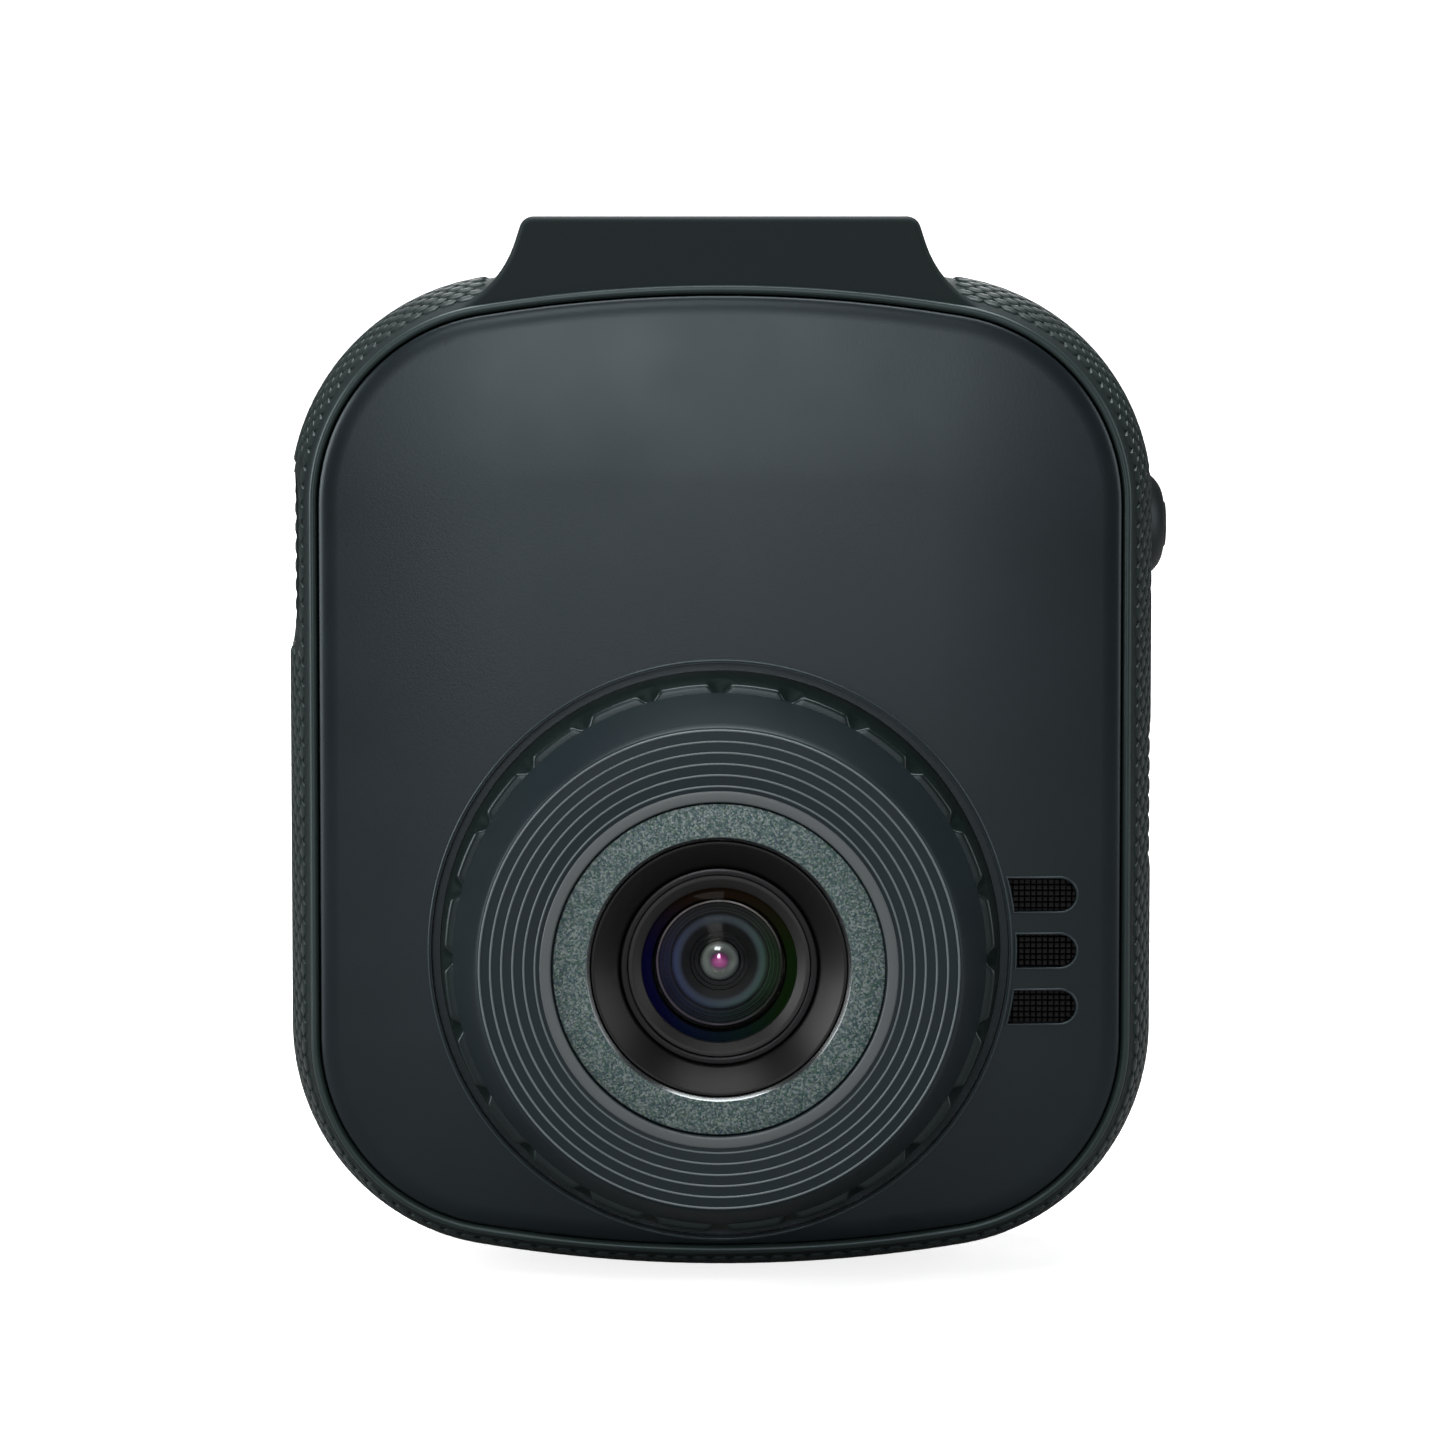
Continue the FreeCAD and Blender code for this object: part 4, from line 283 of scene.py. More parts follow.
class Finish:
    """A surface finish, which makes its material once."""

    name: str

    def material(self) -> bpy.types.Material:
        """Returns the finish's material, made on first use."""
        found = bpy.data.materials.get(self.name)
        if found is not None:
            return found
        made = bpy.data.materials.new(self.name)
        made.use_nodes = True
        self.dress(made.node_tree, made.node_tree.nodes["Principled BSDF"])
        return made

    def dress(self, tree: bpy.types.NodeTree, shader: bpy.types.Node) -> None:
        """Adds the finish's nodes to a tree and sets its shader."""
        raise NotImplementedError


class TwoToned(Finish):
    """A finish whose tone runs between two colours, with its own gloss and relief."""

    colour: str
    pale: str

    def lay(self, shader: bpy.types.Node, share: Any, gloss: Any, height: Any, depth_mm: float,
            strength: float) -> None:
        """Gives the shader its tone, gloss and relief.

        Args:
            shader: the finish's shader.
            share: how far the tone has run from the first colour to the second.
            gloss: the roughness.
            height: what raises the surface, from nothing to one.
            depth_mm: how far it is raised.
            strength: how much the relief turns the light.
        """
        tone = add(shader.id_data, "ShaderNodeMix", {
            "data_type": "RGBA", 0: share, 6: linear(self.colour), 7: linear(self.pale),
        })
        relief = add(shader.id_data, "ShaderNodeBump", {
            "Strength": strength, "Distance": depth_mm * MM, "Height": height,
        })
        assign(shader, {"Base Color": tone.outputs[2], "Roughness": gloss,
                        "Normal": relief.outputs["Normal"]})


def from_axis(tree: bpy.types.NodeTree, place: bpy.types.NodeSocket) -> tuple[Any, Amount]:
    """Measures a place from the lens axis.

    Args:
        tree: the material's tree.
        place: the socket with the place.

    Returns:
        The way from the axis as a vector socket, and its length.
    """
    axis = middle("lens_barrel") * MM
    off = add(tree, "ShaderNodeVectorMath", {
        "operation": "SUBTRACT", 0: place, 1: (axis.x, 0.0, axis.z),
    })
    flat = add(tree, "ShaderNodeVectorMath", {
        "operation": "MULTIPLY", 0: off.outputs[0], 1: (1.0, 0.0, 1.0),
    }).outputs[0]
    reach = add(tree, "ShaderNodeVectorMath", {"operation": "LENGTH", 0: flat})
    return flat, Amount(tree, reach.outputs["Value"])


@dataclass(frozen=True)
class MouldedPlastic(TwoToned):
    """Injection-moulded plastic: the tool's grain, a slow drift of tone and uneven gloss.

    The grain scatters the highlight; the drift comes from the flow of the melt.
    """

    name: str
    colour: str
    pale: str
    roughness: float = 0.45
    gloss_swing: float = 0.08
    grain_mm: float = 0.16
    grain_depth_mm: float = 0.006
    drift_mm: float = 7.0
    drift_share: float = 0.9
    fleck_mm: float = 0.09
    fleck_share: float = 0.45
    ior: float = 1.53
    sheen_tint: str = "#ffffff"

    def dress(self, tree: bpy.types.NodeTree, shader: bpy.types.Node) -> None:
        """Adds grain, tone drift and gloss swing."""
        place = add(tree, "ShaderNodeTexCoord").outputs["Object"]
        grain, drift, fleck = (Amount(tree, add(tree, "ShaderNodeTexNoise", {
            "Vector": place, "Scale": per_metre(size), "Detail": detail, "Roughness": rough,
        }).outputs["Fac"]) for size, detail, rough in (
            (self.grain_mm, 2.5, 0.55), (self.drift_mm, 2.0, 0.5), (self.fleck_mm, 1.0, 0.5)))
        share = fleck * self.fleck_share + (drift * self.drift_share - 0.2)
        gloss = drift * self.gloss_swing + (self.roughness - self.gloss_swing / 2.0)
        self.lay(shader, share, gloss, grain, self.grain_depth_mm, 1.0)
        assign(shader, {"IOR": self.ior, "Specular Tint": linear(self.sheen_tint)})


@dataclass(frozen=True)
class BlastedMetal(Finish):
    """Bead-blasted, dyed aluminium: small facets that each catch the light their own way."""

    name: str
    colour: str
    pale: str
    dark: str
    facet_mm: float = 0.17
    cloud_ratio: float = 1.6
    roughness: float = 0.42
    gloss_swing: float = 0.22
    metallic: float = 0.55
    facet_depth_mm: float = 0.02
    hue_share: float = 0.045

    def dress(self, tree: bpy.types.NodeTree, shader: bpy.types.Node) -> None:
        """Adds facets of differing tone, tilt and gloss."""
        place = add(tree, "ShaderNodeTexCoord").outputs["Object"]
        facets = add(tree, "ShaderNodeTexVoronoi", {
            "Vector": place, "Scale": per_metre(self.facet_mm), "Randomness": 1.0,
        })
        split = add(tree, "ShaderNodeSeparateColor", {"Color": facets.outputs["Color"]})
        first, second = (Amount(tree, split.outputs[i]) for i in (0, 1))
        cloud = Amount(tree, add(tree, "ShaderNodeTexNoise", {
            "Vector": place, "Scale": per_metre(self.facet_mm * self.cloud_ratio), "Detail": 5.0,
            "Roughness": 0.75,
        }).outputs["Fac"])
        mixed = first * 0.5 + cloud * 0.5
        ramp = add(tree, "ShaderNodeValToRGB", {"Fac": mixed})
        stops = ramp.color_ramp.elements
        stops.new(0.5)
        for stop, at, shade in zip(stops, (0.18, 0.5, 0.80), (self.dark, self.colour, self.pale)):
            stop.position, stop.color = at, linear(shade)
        hues = add(tree, "ShaderNodeMix", {
            "data_type": "RGBA", 0: self.hue_share, 6: ramp.outputs["Color"],
            7: facets.outputs["Color"],
        })
        relief = add(tree, "ShaderNodeBump", {
            "Strength": 0.8, "Distance": self.facet_depth_mm * MM, "Height": mixed,
        })
        assign(shader, {
            "Base Color": hues.outputs[2], "Metallic": self.metallic,
            "Roughness": second * self.gloss_swing + (self.roughness - self.gloss_swing / 2.0),
            "Normal": relief.outputs["Normal"],
        })


@dataclass(frozen=True)
class TurnedMetal(TwoToned):
    """Metal cut on a lathe: fine rings about the lens axis, under black or clear anodising."""

    name: str
    colour: str
    pale: str
    roughness: float = 0.28
    gloss_swing: float = 0.12
    metallic: float = 1.0
    line_mm: float = 0.035
    line_depth_mm: float = 0.003

    def dress(self, tree: bpy.types.NodeTree, shader: bpy.types.Node) -> None:
        """Adds turning lines round the lens axis."""
        place = add(tree, "ShaderNodeTexCoord").outputs["Object"]
        depth = add(tree, "ShaderNodeSeparateXYZ", {"Vector": place}).outputs["Y"]
        lines = Amount(tree, add(tree, "ShaderNodeTexNoise", {
            "noise_dimensions": "1D", "W": from_axis(tree, place)[1] + Amount(tree, depth),
            "Scale": per_metre(self.line_mm), "Detail": 2.0,
        }).outputs["Fac"])
        gloss = lines * self.gloss_swing + (self.roughness - self.gloss_swing / 2.0)
        self.lay(shader, lines, gloss, lines, self.line_depth_mm, 0.7)
        assign(shader, {"Metallic": self.metallic})


@dataclass(frozen=True)
class RolledSteel(TwoToned):
    """Stamped sheet or cold-headed steel with plating: streaks of rolling and small stains."""

    name: str
    colour: str
    pale: str
    roughness: float = 0.3
    gloss_swing: float = 0.2
    stain_mm: float = 2.5
    streak_mm: float = 0.08
    streak_length: float = 14.0
    streak_depth_mm: float = 0.002

    def dress(self, tree: bpy.types.NodeTree, shader: bpy.types.Node) -> None:
        """Adds streaks along X and uneven gloss."""
        place = add(tree, "ShaderNodeTexCoord").outputs["Object"]
        drawn = add(tree, "ShaderNodeMapping", {
            "Vector": place, "Scale": (1.0 / self.streak_length, 1.0, 1.0),
        }).outputs["Vector"]
        streaks, stain = (Amount(tree, add(tree, "ShaderNodeTexNoise", {
            "Vector": along, "Scale": per_metre(size), "Detail": 3.0,
        }).outputs["Fac"]) for along, size in ((drawn, self.streak_mm), (place, self.stain_mm)))
        gloss = stain * self.gloss_swing + (self.roughness - self.gloss_swing / 2.0)
        self.lay(shader, streaks, gloss, streaks, self.streak_depth_mm, 0.6)
        assign(shader, {"Metallic": 1.0})


@dataclass(frozen=True)
class ClearPolymer(Finish):
    """Clear moulded or ground material: glass, acrylic or polycarbonate, with faint haze."""

    name: str
    colour: str
    ior: float = 1.49
    roughness: float = 0.02
    haze_mm: float = 4.0
    haze: float = 0.03

    def dress(self, tree: bpy.types.NodeTree, shader: bpy.types.Node) -> None:
        """Adds a faint uneven haze to a clear body."""
        place = add(tree, "ShaderNodeTexCoord").outputs["Object"]
        film = Amount(tree, add(tree, "ShaderNodeTexNoise", {
            "Vector": place, "Scale": per_metre(self.haze_mm), "Detail": 3.0,
        }).outputs["Fac"])
        assign(shader, {"Roughness": film * self.haze + self.roughness, "IOR": self.ior,
                        "Base Color": linear(self.colour), "Transmission Weight": 1.0})


@dataclass(frozen=True)
class RingedOptic(Finish):
    """Optical parts: rings of tone about the axis, and a painted reflection from side to side.

    The painted reflection stands for what coatings throw back: one tint on the left, one at the top
    and one on the right, growing outwards from the axis. A ring beyond clear_radius_mm is ground and
    inked; within it the body can be clear.
    """

    name: str
    rings: tuple[tuple[float, str], ...]
    left_painted_reflection: str = "#ffffff"
    upper_painted_reflection: str = "#ffffff"
    right_painted_reflection: str = "#ffffff"
    reach_mm: float = 4.6
    roughness: float = 0.3
    metallic: float = 0.0
    coat: float = 0.0
    ior: float = 1.5
    clear_radius_mm: float = 0.0
    dust_mm: float = 0.22
    waver_mm: float = 0.04
    side_reach: float = 1.6
    upper_run: Point2 = (0.1, 0.85)
    outward_run: Point2 = (0.44, 0.68)
    inner_hue: float = 0.28

    def ring_tone(self, tree: bpy.types.NodeTree, distance: Amount) -> bpy.types.NodeSocket:
        """Returns the tone of the rings at a distance from the axis."""
        ramp = add(tree, "ShaderNodeValToRGB", {"Fac": distance / (self.reach_mm * MM)})
        stops = ramp.color_ramp.elements
        for index, (radius, colour) in enumerate(self.rings):
            at = radius / self.reach_mm
            stop = stops[index] if index < 2 else stops.new(at)
            stop.position, stop.color = at, linear(colour)
        return ramp.outputs["Color"]

    def hue(self, tree: bpy.types.NodeTree, flat: Any, distance: Amount) -> bpy.types.NodeSocket:
        """Returns the tint of the painted reflection, which grows outwards.

        Args:
            tree: the material's tree.
            flat: the way from the axis.
            distance: the distance from the axis.

        Returns:
            The socket with the painted reflection's tint.
        """
        reach = self.reach_mm * MM
        parts = add(tree, "ShaderNodeSeparateXYZ", {"Vector": flat}).outputs
        upward, outward = (add(tree, "ShaderNodeMapRange", {
            "Value": value, "From Min": run[0] * reach, "From Max": run[1] * reach,
            "To Min": least,
        }).outputs[0] for value, run, least in (
            (parts["Z"], self.upper_run, 0.0), (distance, self.outward_run, self.inner_hue)))
        # Painted reflection: the left tint runs into the right one, then into the upper one.
        shade = linear(self.left_painted_reflection)
        across = Amount(tree, parts["X"]) * (1.0 / (self.side_reach * reach)) + 0.5
        for share, colour in ((across, self.right_painted_reflection), (upward, self.upper_painted_reflection)):
            shade = add(tree, "ShaderNodeMix", {
                "data_type": "RGBA", 0: share, 6: shade, 7: linear(colour),
            }).outputs[2]
        return add(tree, "ShaderNodeMix", {
            "data_type": "RGBA", 0: outward, 6: linear("#ffffff"), 7: shade,
        }).outputs[2]

    def dress(self, tree: bpy.types.NodeTree, shader: bpy.types.Node) -> None:
        """Adds the rings, the painted reflection's run of tint and the clear middle."""
        place = add(tree, "ShaderNodeTexCoord").outputs["Object"]
        flat, reach = from_axis(tree, place)
        dust = Amount(tree, add(tree, "ShaderNodeTexNoise", {
            "Vector": place, "Scale": per_metre(self.dust_mm), "Detail": 4.0,
        }).outputs["Fac"])
        distance = dust * (self.waver_mm * MM) + reach
        tone = add(tree, "ShaderNodeMix", {
            "data_type": "RGBA", "blend_type": "MULTIPLY", 0: 1.0,
            6: self.ring_tone(tree, distance), 7: self.hue(tree, flat, distance),
        }).outputs[2]
        if self.clear_radius_mm:
            clear = distance < self.clear_radius_mm * MM
            tinted = add(tree, "ShaderNodeMix", {
                "data_type": "RGBA", 0: clear, 6: tone, 7: linear("#ffffff"),
            })
            assign(shader, {"Transmission Weight": clear, "Base Color": tinted.outputs[2]})
        else:
            relief = add(tree, "ShaderNodeBump", {
                "Strength": 0.4, "Distance": 0.004 * MM, "Height": dust,
            })
            assign(shader, {"Base Color": tone, "Normal": relief.outputs["Normal"]})
        assign(shader, {"Roughness": self.roughness, "Metallic": self.metallic,
                        "Coat Weight": self.coat, "IOR": self.ior})


@dataclass(frozen=True)
class SolderMask(TwoToned):
    """Laminate under solder mask: copper tracks on a grid show as slightly raised, paler lines."""

    name: str
    colour: str
    pale: str
    track_mm: float = 0.7
    track_share: float = 0.62
    roughness: float = 0.35

    def dress(self, tree: bpy.types.NodeTree, shader: bpy.types.Node) -> None:
        """Adds stepped tracks and their relief."""
        tracks = Amount(tree, add(tree, "ShaderNodeTexVoronoi", {
            "Vector": add(tree, "ShaderNodeTexCoord").outputs["Object"],
            "Scale": per_metre(self.track_mm), "distance": "CHEBYCHEV", "feature": "F2",
        }).outputs["Distance"])
        level = tracks > self.track_share
        self.lay(shader, level, self.roughness, level, 0.02, 0.5)


@dataclass(frozen=True)
class OpenCellFoam(TwoToned):
    """Cut urethane foam: open cells that read as small pits."""

    name: str
    colour: str
    pale: str
    cell_mm: float = 0.25
    roughness: float = 0.9

    def dress(self, tree: bpy.types.NodeTree, shader: bpy.types.Node) -> None:
        """Adds cells as pits, painted darker in the pits as painted shade."""
        cells = add(tree, "ShaderNodeTexVoronoi", {
            "Vector": add(tree, "ShaderNodeTexCoord").outputs["Object"],
            "Scale": per_metre(self.cell_mm),
        }).outputs["Distance"]
        self.lay(shader, cells, self.roughness, cells, 0.08, 1.0)


BODY_SHEEN = "#e4f4fc"
# ABS with a spark-eroded grain: a matt face with a broad, soft highlight. The real grain is about
# a third as wide, and is drawn this coarse so that it shows; so is that of the other mouldings.
COVER_ABS = MouldedPlastic("spark_eroded_abs", "#10171a", "#161f23", roughness=0.335,
                           grain_mm=0.15, grain_depth_mm=0.0035, sheen_tint=BODY_SHEEN)
# Slot lips and the seat's rim: the same plastic, glossier and coloured paler than the face.
EDGE_ABS = MouldedPlastic("polished_abs_edge", "#2f393c", "#3d484c", roughness=0.30,
                          grain_mm=0.10, grain_depth_mm=0.002, sheen_tint=BODY_SHEEN)
# Thermoplastic elastomer over the frame: dull, and slightly greener.
FRAME_TPE = MouldedPlastic("moulded_tpe", "#131b1c", "#192321", roughness=0.60,
                           grain_mm=0.12, grain_depth_mm=0.005, ior=1.40, sheen_tint=BODY_SHEEN)
# The bead round the cover is polished in the tool.
LIP_TPE = MouldedPlastic("polished_tpe_lip", "#2a3635", "#34403e", roughness=0.34,
                         grain_mm=0.12, grain_depth_mm=0.003, sheen_tint=BODY_SHEEN)
# The raised pads of the side band are a little paler than the ground between them.
RELIEF_TPE = MouldedPlastic("moulded_tpe_pads", "#1d2726", "#293432", roughness=0.42,
                            grain_mm=0.10, grain_depth_mm=0.004, ior=1.45, sheen_tint=BODY_SHEEN)
# Polycarbonate and ABS blend out of a polished tool: satin housing of the lens.
HOUSING_PC = MouldedPlastic("satin_pc_abs", "#141d21", "#1b262a", roughness=0.46,
                            grain_mm=0.12, grain_depth_mm=0.003, ior=1.46, sheen_tint=BODY_SHEEN)
# The ribs and the rim are glossier, and coloured much paler than the housing.
RIB_PC = MouldedPlastic("polished_pc_abs_ribs", "#6a7578", "#7a8588", roughness=0.32,
                        grain_mm=0.10, grain_depth_mm=0.002)
RIM_PC = MouldedPlastic("polished_pc_abs_rim", "#585f62", "#666c6e", roughness=0.34,
                        grain_mm=0.10, grain_depth_mm=0.002)
GRIP_PC = MouldedPlastic("moulded_pc_grip", "#0f1817", "#182321", roughness=0.30,
                         grain_mm=0.10, grain_depth_mm=0.003, sheen_tint=BODY_SHEEN)
# Carbon-filled nylon: black baffle that gives back almost nothing.
HOOD_NYLON = MouldedPlastic("black_nylon", "#0c0c0c", "#121211", roughness=0.40,
                            grain_mm=0.10, grain_depth_mm=0.004, ior=1.42)
# The threaded ring is moulded in the same nylon, but dulled by tumbling.
RETAINER_NYLON = MouldedPlastic("tumbled_nylon", "#1c1c1c", "#262625", roughness=0.48,
                                grain_mm=0.08, grain_depth_mm=0.003)
# Button caps: tight-grained ABS.
BUTTON_ABS = MouldedPlastic("button_abs", "#0a1010", "#0f1516", roughness=0.45,
                            grain_mm=0.09, grain_depth_mm=0.003, sheen_tint=BODY_SHEEN)
# Glass-filled polymer of the connectors: dull black.
CONNECTOR_LCP = MouldedPlastic("connector_lcp", "#141414", "#1e1e1f", roughness=0.5)
# Moulded resin of the card: smooth, with a low sheen.
CARD_RESIN = MouldedPlastic("card_resin", "#17181a", "#232428", roughness=0.34,
                            grain_mm=0.2, grain_depth_mm=0.003)
# White-filled polycarbonate: even and bright.
BACKLIGHT_PC = MouldedPlastic("white_pc", "#d9dbd8", "#e8e9e6", roughness=0.5)
# Transfer-moulded epoxy is matt and dark; fired ceramic parts are tan.
CHIP_RESIN = MouldedPlastic("chip_resin", "#151617", "#222324", roughness=0.6,
                            grain_mm=0.1, grain_depth_mm=0.005)
CHIP_BODY = MouldedPlastic("fired_ceramic", "#8a7458", "#a08a6b", roughness=0.55)
# Amber polyimide film, rolled smooth, so it shines.
RIBBON_FILM = MouldedPlastic("polyimide_film", "#8a4a12", "#a0601c", roughness=0.28)
# Drawn aluminium laminate of the cell: silver with soft wide creases.
CELL_FOIL = MouldedPlastic("pouch_foil", "#9aa0a4", "#b4b9bc", roughness=0.3,
                           grain_mm=1.4, grain_depth_mm=0.02)
# Icons are pad-printed in white ink, the window's border is screen-printed in black.
PRINT_INK = MouldedPlastic("pad_print_white", "#c9cdcc", "#d8dbda", roughness=0.5,
                           grain_mm=0.08, grain_depth_mm=0.002)
WINDOW_INK = MouldedPlastic("black_window_print", "#040405", "#060707", roughness=0.25,
                            grain_mm=0.2, grain_depth_mm=0.001, ior=1.15)
PANEL_GLASS = MouldedPlastic("unlit_display", "#0a0d13", "#0e1219", roughness=0.12,
                             gloss_swing=0.03, grain_mm=0.1, grain_depth_mm=0.0004, ior=1.30)
# Bead-blasted and dyed aluminium: a grey-green speckle that glitters from facet to facet. The
# facets are drawn about twice as wide as real blasting leaves them, so that they show.
TRIM_ALU = BlastedMetal("blasted_aluminium", "#556968", "#92a4a2", "#2c3a3d", facet_mm=0.10)
# Turned aluminium, black anodised: fine rings under a soft sheen. Its cut edges stay bare.
BARREL_ALU = TurnedMetal("black_anodised_aluminium", "#232325", "#343436", roughness=0.25,
                         metallic=0.7)
BARREL_EDGE = TurnedMetal("bare_turned_edge", "#8d9294", "#b4b9ba", roughness=0.22)
# Rolled steel under nickel: bright, with faint streaks.
STEEL_PLATE = RolledSteel("nickel_plated_steel", "#9c9c98", "#bcbcb7")
# Drawn wire under black oxide: nearly black, with small glints.
WIRE_STEEL = RolledSteel("black_oxide_wire", "#0b0c0d", "#1f2225", roughness=0.34)
# Deep-drawn steel under zinc: a duller grey.
SPEAKER_STEEL = RolledSteel("zinc_plated_steel", "#8c8f92", "#a8abad", roughness=0.35)
# Cold-headed steel under black oxide: dark, without long streaks.
SCREW_STEEL = RolledSteel("black_oxide_steel", "#2a2b2d", "#47484a", roughness=0.34,
                          streak_length=1.0)
# Stamped contacts under a thin gold plating: warm and bright.
GOLD_CONTACT = RolledSteel("gold_flash", "#b5924a", "#d1ae63", roughness=0.24)
# Low index: an anti-reflection film leaves about one part in four hundred. The rim is inked, and a
# painted reflection of the coatings tints it: blue at left, brown at top, green at right.
FRONT_GLASS = RingedOptic(
    "coated_crown_glass", ((0.0, "#141210"), (3.78, "#141210"), (3.90, "#201c18"),
                           (3.97, "#8a8a8a"), (4.55, "#a0a0a0")),
    left_painted_reflection="#20206c", upper_painted_reflection="#463527", right_painted_reflection="#2f5426", roughness=0.02, ior=1.10,
    clear_radius_mm=3.82)
# Matt black paint over the stepped inside of the lens, in paler and darker rings. Its blue on the
# left, pinkish grey at the top and green on the right are painted reflections of the coatings.
BAFFLE_PAINT = RingedOptic(
    "blackened_baffle", ((0.0, "#16191c"), (1.2, "#2c3034"), (1.33, "#0b0c0d"), (1.50, "#191c1f"),
                         (1.62, "#090a0b"), (1.95, "#101315"), (2.20, "#16191c"),
                         (2.42, "#606b75"), (2.62, "#6c7882"), (2.82, "#30363b"),
                         (2.92, "#0e1011"), (3.00, "#56605e"), (3.08, "#131516"),
                         (3.18, "#525c5a"), (3.27, "#111314"), (3.40, "#48514f"),
                         (3.52, "#0b0c0d")),
    left_painted_reflection="#4a40f8", upper_painted_reflection="#b0a2a2", right_painted_reflection="#66cc48", roughness=0.46, ior=1.30)
# Small doublet at the stop: a purple bloom over a grey-green body, with its middle painted bright
# pink as a painted reflection.
PUPIL_GLASS = RingedOptic(
    "bloomed_doublet", ((0.0, "#f084c8"), (0.34, "#cc50a8"), (0.52, "#7c5074"),
                        (0.66, "#7a8480"), (0.98, "#a8b4ae"), (1.20, "#2e3233")),
    reach_mm=1.3, roughness=0.10, metallic=0.35, coat=1.0, ior=1.6)
# Bright metal bead that holds the second element, seen through the coatings. A painted highlight
# makes its upper and left side paler, and painted shade makes its right side darker and green.
BEAD_ALU = RingedOptic(
    "polished_bead", ((0.0, "#c4beba"), (4.6, "#d8d2ce")), left_painted_reflection="#a49cb8",
    upper_painted_reflection="#ffffff", right_painted_reflection="#3c4c38", roughness=0.30, metallic=0.5)
# Ground glass, moulded acrylic and cast resin: clear, with a faint haze.
REAR_GLASS = ClearPolymer("rear_crown_glass", "#eef2f4", ior=1.5)
FILTER_GLASS = ClearPolymer("blue_filter_glass", "#9fd6e8", ior=1.5)
WINDOW_ACRYLIC = ClearPolymer("cast_acrylic", "#ffffff", ior=1.49, roughness=0.0, haze=0.008)
PIPE_ACRYLIC = ClearPolymer("light_pipe_acrylic_clear", "#f3f6ff", ior=1.49, roughness=0.12)
LED_RESIN = ClearPolymer("led_resin", "#f6f0d8", ior=1.5, roughness=0.2)
# Printed solder mask over copper: green, with paler raised tracks.
BOARD_MASK = SolderMask("green_solder_mask", "#0c3a22", "#175334")
# Cut foam: black and full of small pits.
FOAM = OpenCellFoam("black_urethane_foam", "#0e0f10", "#1d1e20")

SLOT_FINISHES: dict[str, Finish] = {
    "case_plastic": COVER_ABS,
    "frame_plastic": FRAME_TPE,
    "lens_plastic": HOUSING_PC,
    "trim_metal": TRIM_ALU,
    "hood_plastic": HOOD_NYLON,
    "barrel_metal": BARREL_ALU,
    "lens_glass": FRONT_GLASS,
    "filter_glass": FILTER_GLASS,
    "chip_epoxy": CHIP_RESIN,
    "chip_ceramic": CHIP_BODY,
    "circuit_board": BOARD_MASK,
    "plated_steel": STEEL_PLATE,
    "card_plastic": CARD_RESIN,
    "connector_plastic": CONNECTOR_LCP,
    "battery_foil": CELL_FOIL,
    "foam": FOAM,
    "speaker_steel": SPEAKER_STEEL,
    "mesh_steel": WIRE_STEEL,
    "button_plastic": BUTTON_ABS,
    "window_acrylic": WINDOW_ACRYLIC,
    "screen_glass": PANEL_GLASS,
    "backlight_plastic": BACKLIGHT_PC,
    "ribbon_film": RIBBON_FILM,
    "led_epoxy": LED_RESIN,
    "light_pipe_acrylic": PIPE_ACRYLIC,
    "screw_steel": SCREW_STEEL,
}
NODE_FINISHES: dict[str, Finish] = {
    "rear_element": REAR_GLASS, "speaker": CONNECTOR_LCP,
}


# ---------------------------------------------------------------- turned and cut shapes


@dataclass(frozen=True)
class Corner:
    """A corner of a turned outline: its radius, its depth and how far it is rounded, in mm."""

    r: float
    y: float
    rounding: float = 0.0


def softened(corners: Sequence[Corner], steps: int = 4) -> list[Point2]:
    """Rounds the corners of a closed outline.

    Args:
        corners: the outline's corners in order.
        steps: pieces in each rounded corner.

    Returns:
        The rounded outline's points.
    """
    points: list[Point2] = []
    for index, corner in enumerate(corners):
        here = Vector((corner.r, corner.y))
        if corner.rounding <= 0.0:
            points.append((here.x, here.y))
            continue
        before = corners[index - 1]
        after = corners[(index + 1) % len(corners)]
        back = Vector((before.r, before.y)) - here
        on = Vector((after.r, after.y)) - here
        cut = min(corner.rounding, back.length * 0.48, on.length * 0.48)
        start = here + back.normalized() * cut
        end = here + on.normalized() * cut
        for step in range(steps + 1):
            t = step / steps
            bend = start.lerp(here, t).lerp(here.lerp(end, t), t)
            points.append((bend.x, bend.y))
    return points


def turned(
    name: str,
    outline: Sequence[Point2],
    finish: Finish,
    replaces: Iterable[str] = (),
    segments: int = 256,
    sharp_above: float = 32.0,
    shape: Callable[[float, float, float], float] | None = None,
) -> None:
    """Turns a closed outline round the lens axis and settles it on the camera.

    Args:
        name: the piece's name.
        outline: radius and depth of each point, in mm.
        finish: the finish that covers it.
        replaces: the CAD nodes that it stands for.
        segments: steps round the turn.
        sharp_above: edges that turn more than this many degrees stay sharp.
        shape: changes a point's radius, from its angle, radius and depth.
    """
    axis = middle("lens_barrel")
    points: list[tuple[float, float, float]] = []
    faces: list[tuple[int, int, int, int]] = []
    count = len(outline)
    for step in range(segments):
        angle = FULL_TURN * step / segments
        here, there = step * count, ((step + 1) % segments) * count
        for index, (r, y) in enumerate(outline):
            reach = shape(angle, r, y) if shape else r
            points.append((axis.x + reach * math.sin(angle), y, axis.z + reach * math.cos(angle)))
            after = (index + 1) % count
            faces.append((here + index, here + after, there + after, there + index))
    settle(mesh_from(name, points, faces, sharp_above), Rides.CAMERA, finish, replaces)


def merged_copy(node: str) -> bmesh.types.BMesh:
    """Returns a CAD node's mesh as a joined-up working copy without its stored normals.

    Args:
        node: the CAD node's name.

    Returns:
        The working copy, to be freed by the caller.
    """
    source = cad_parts[node].data.copy()
    if "custom_normal" in source.attributes:
        source.attributes.remove(source.attributes["custom_normal"])
    work = bmesh.new()
    work.from_mesh(source)
    bpy.data.meshes.remove(source)
    bmesh.ops.remove_doubles(work, verts=work.verts, dist=2e-6)
    return work


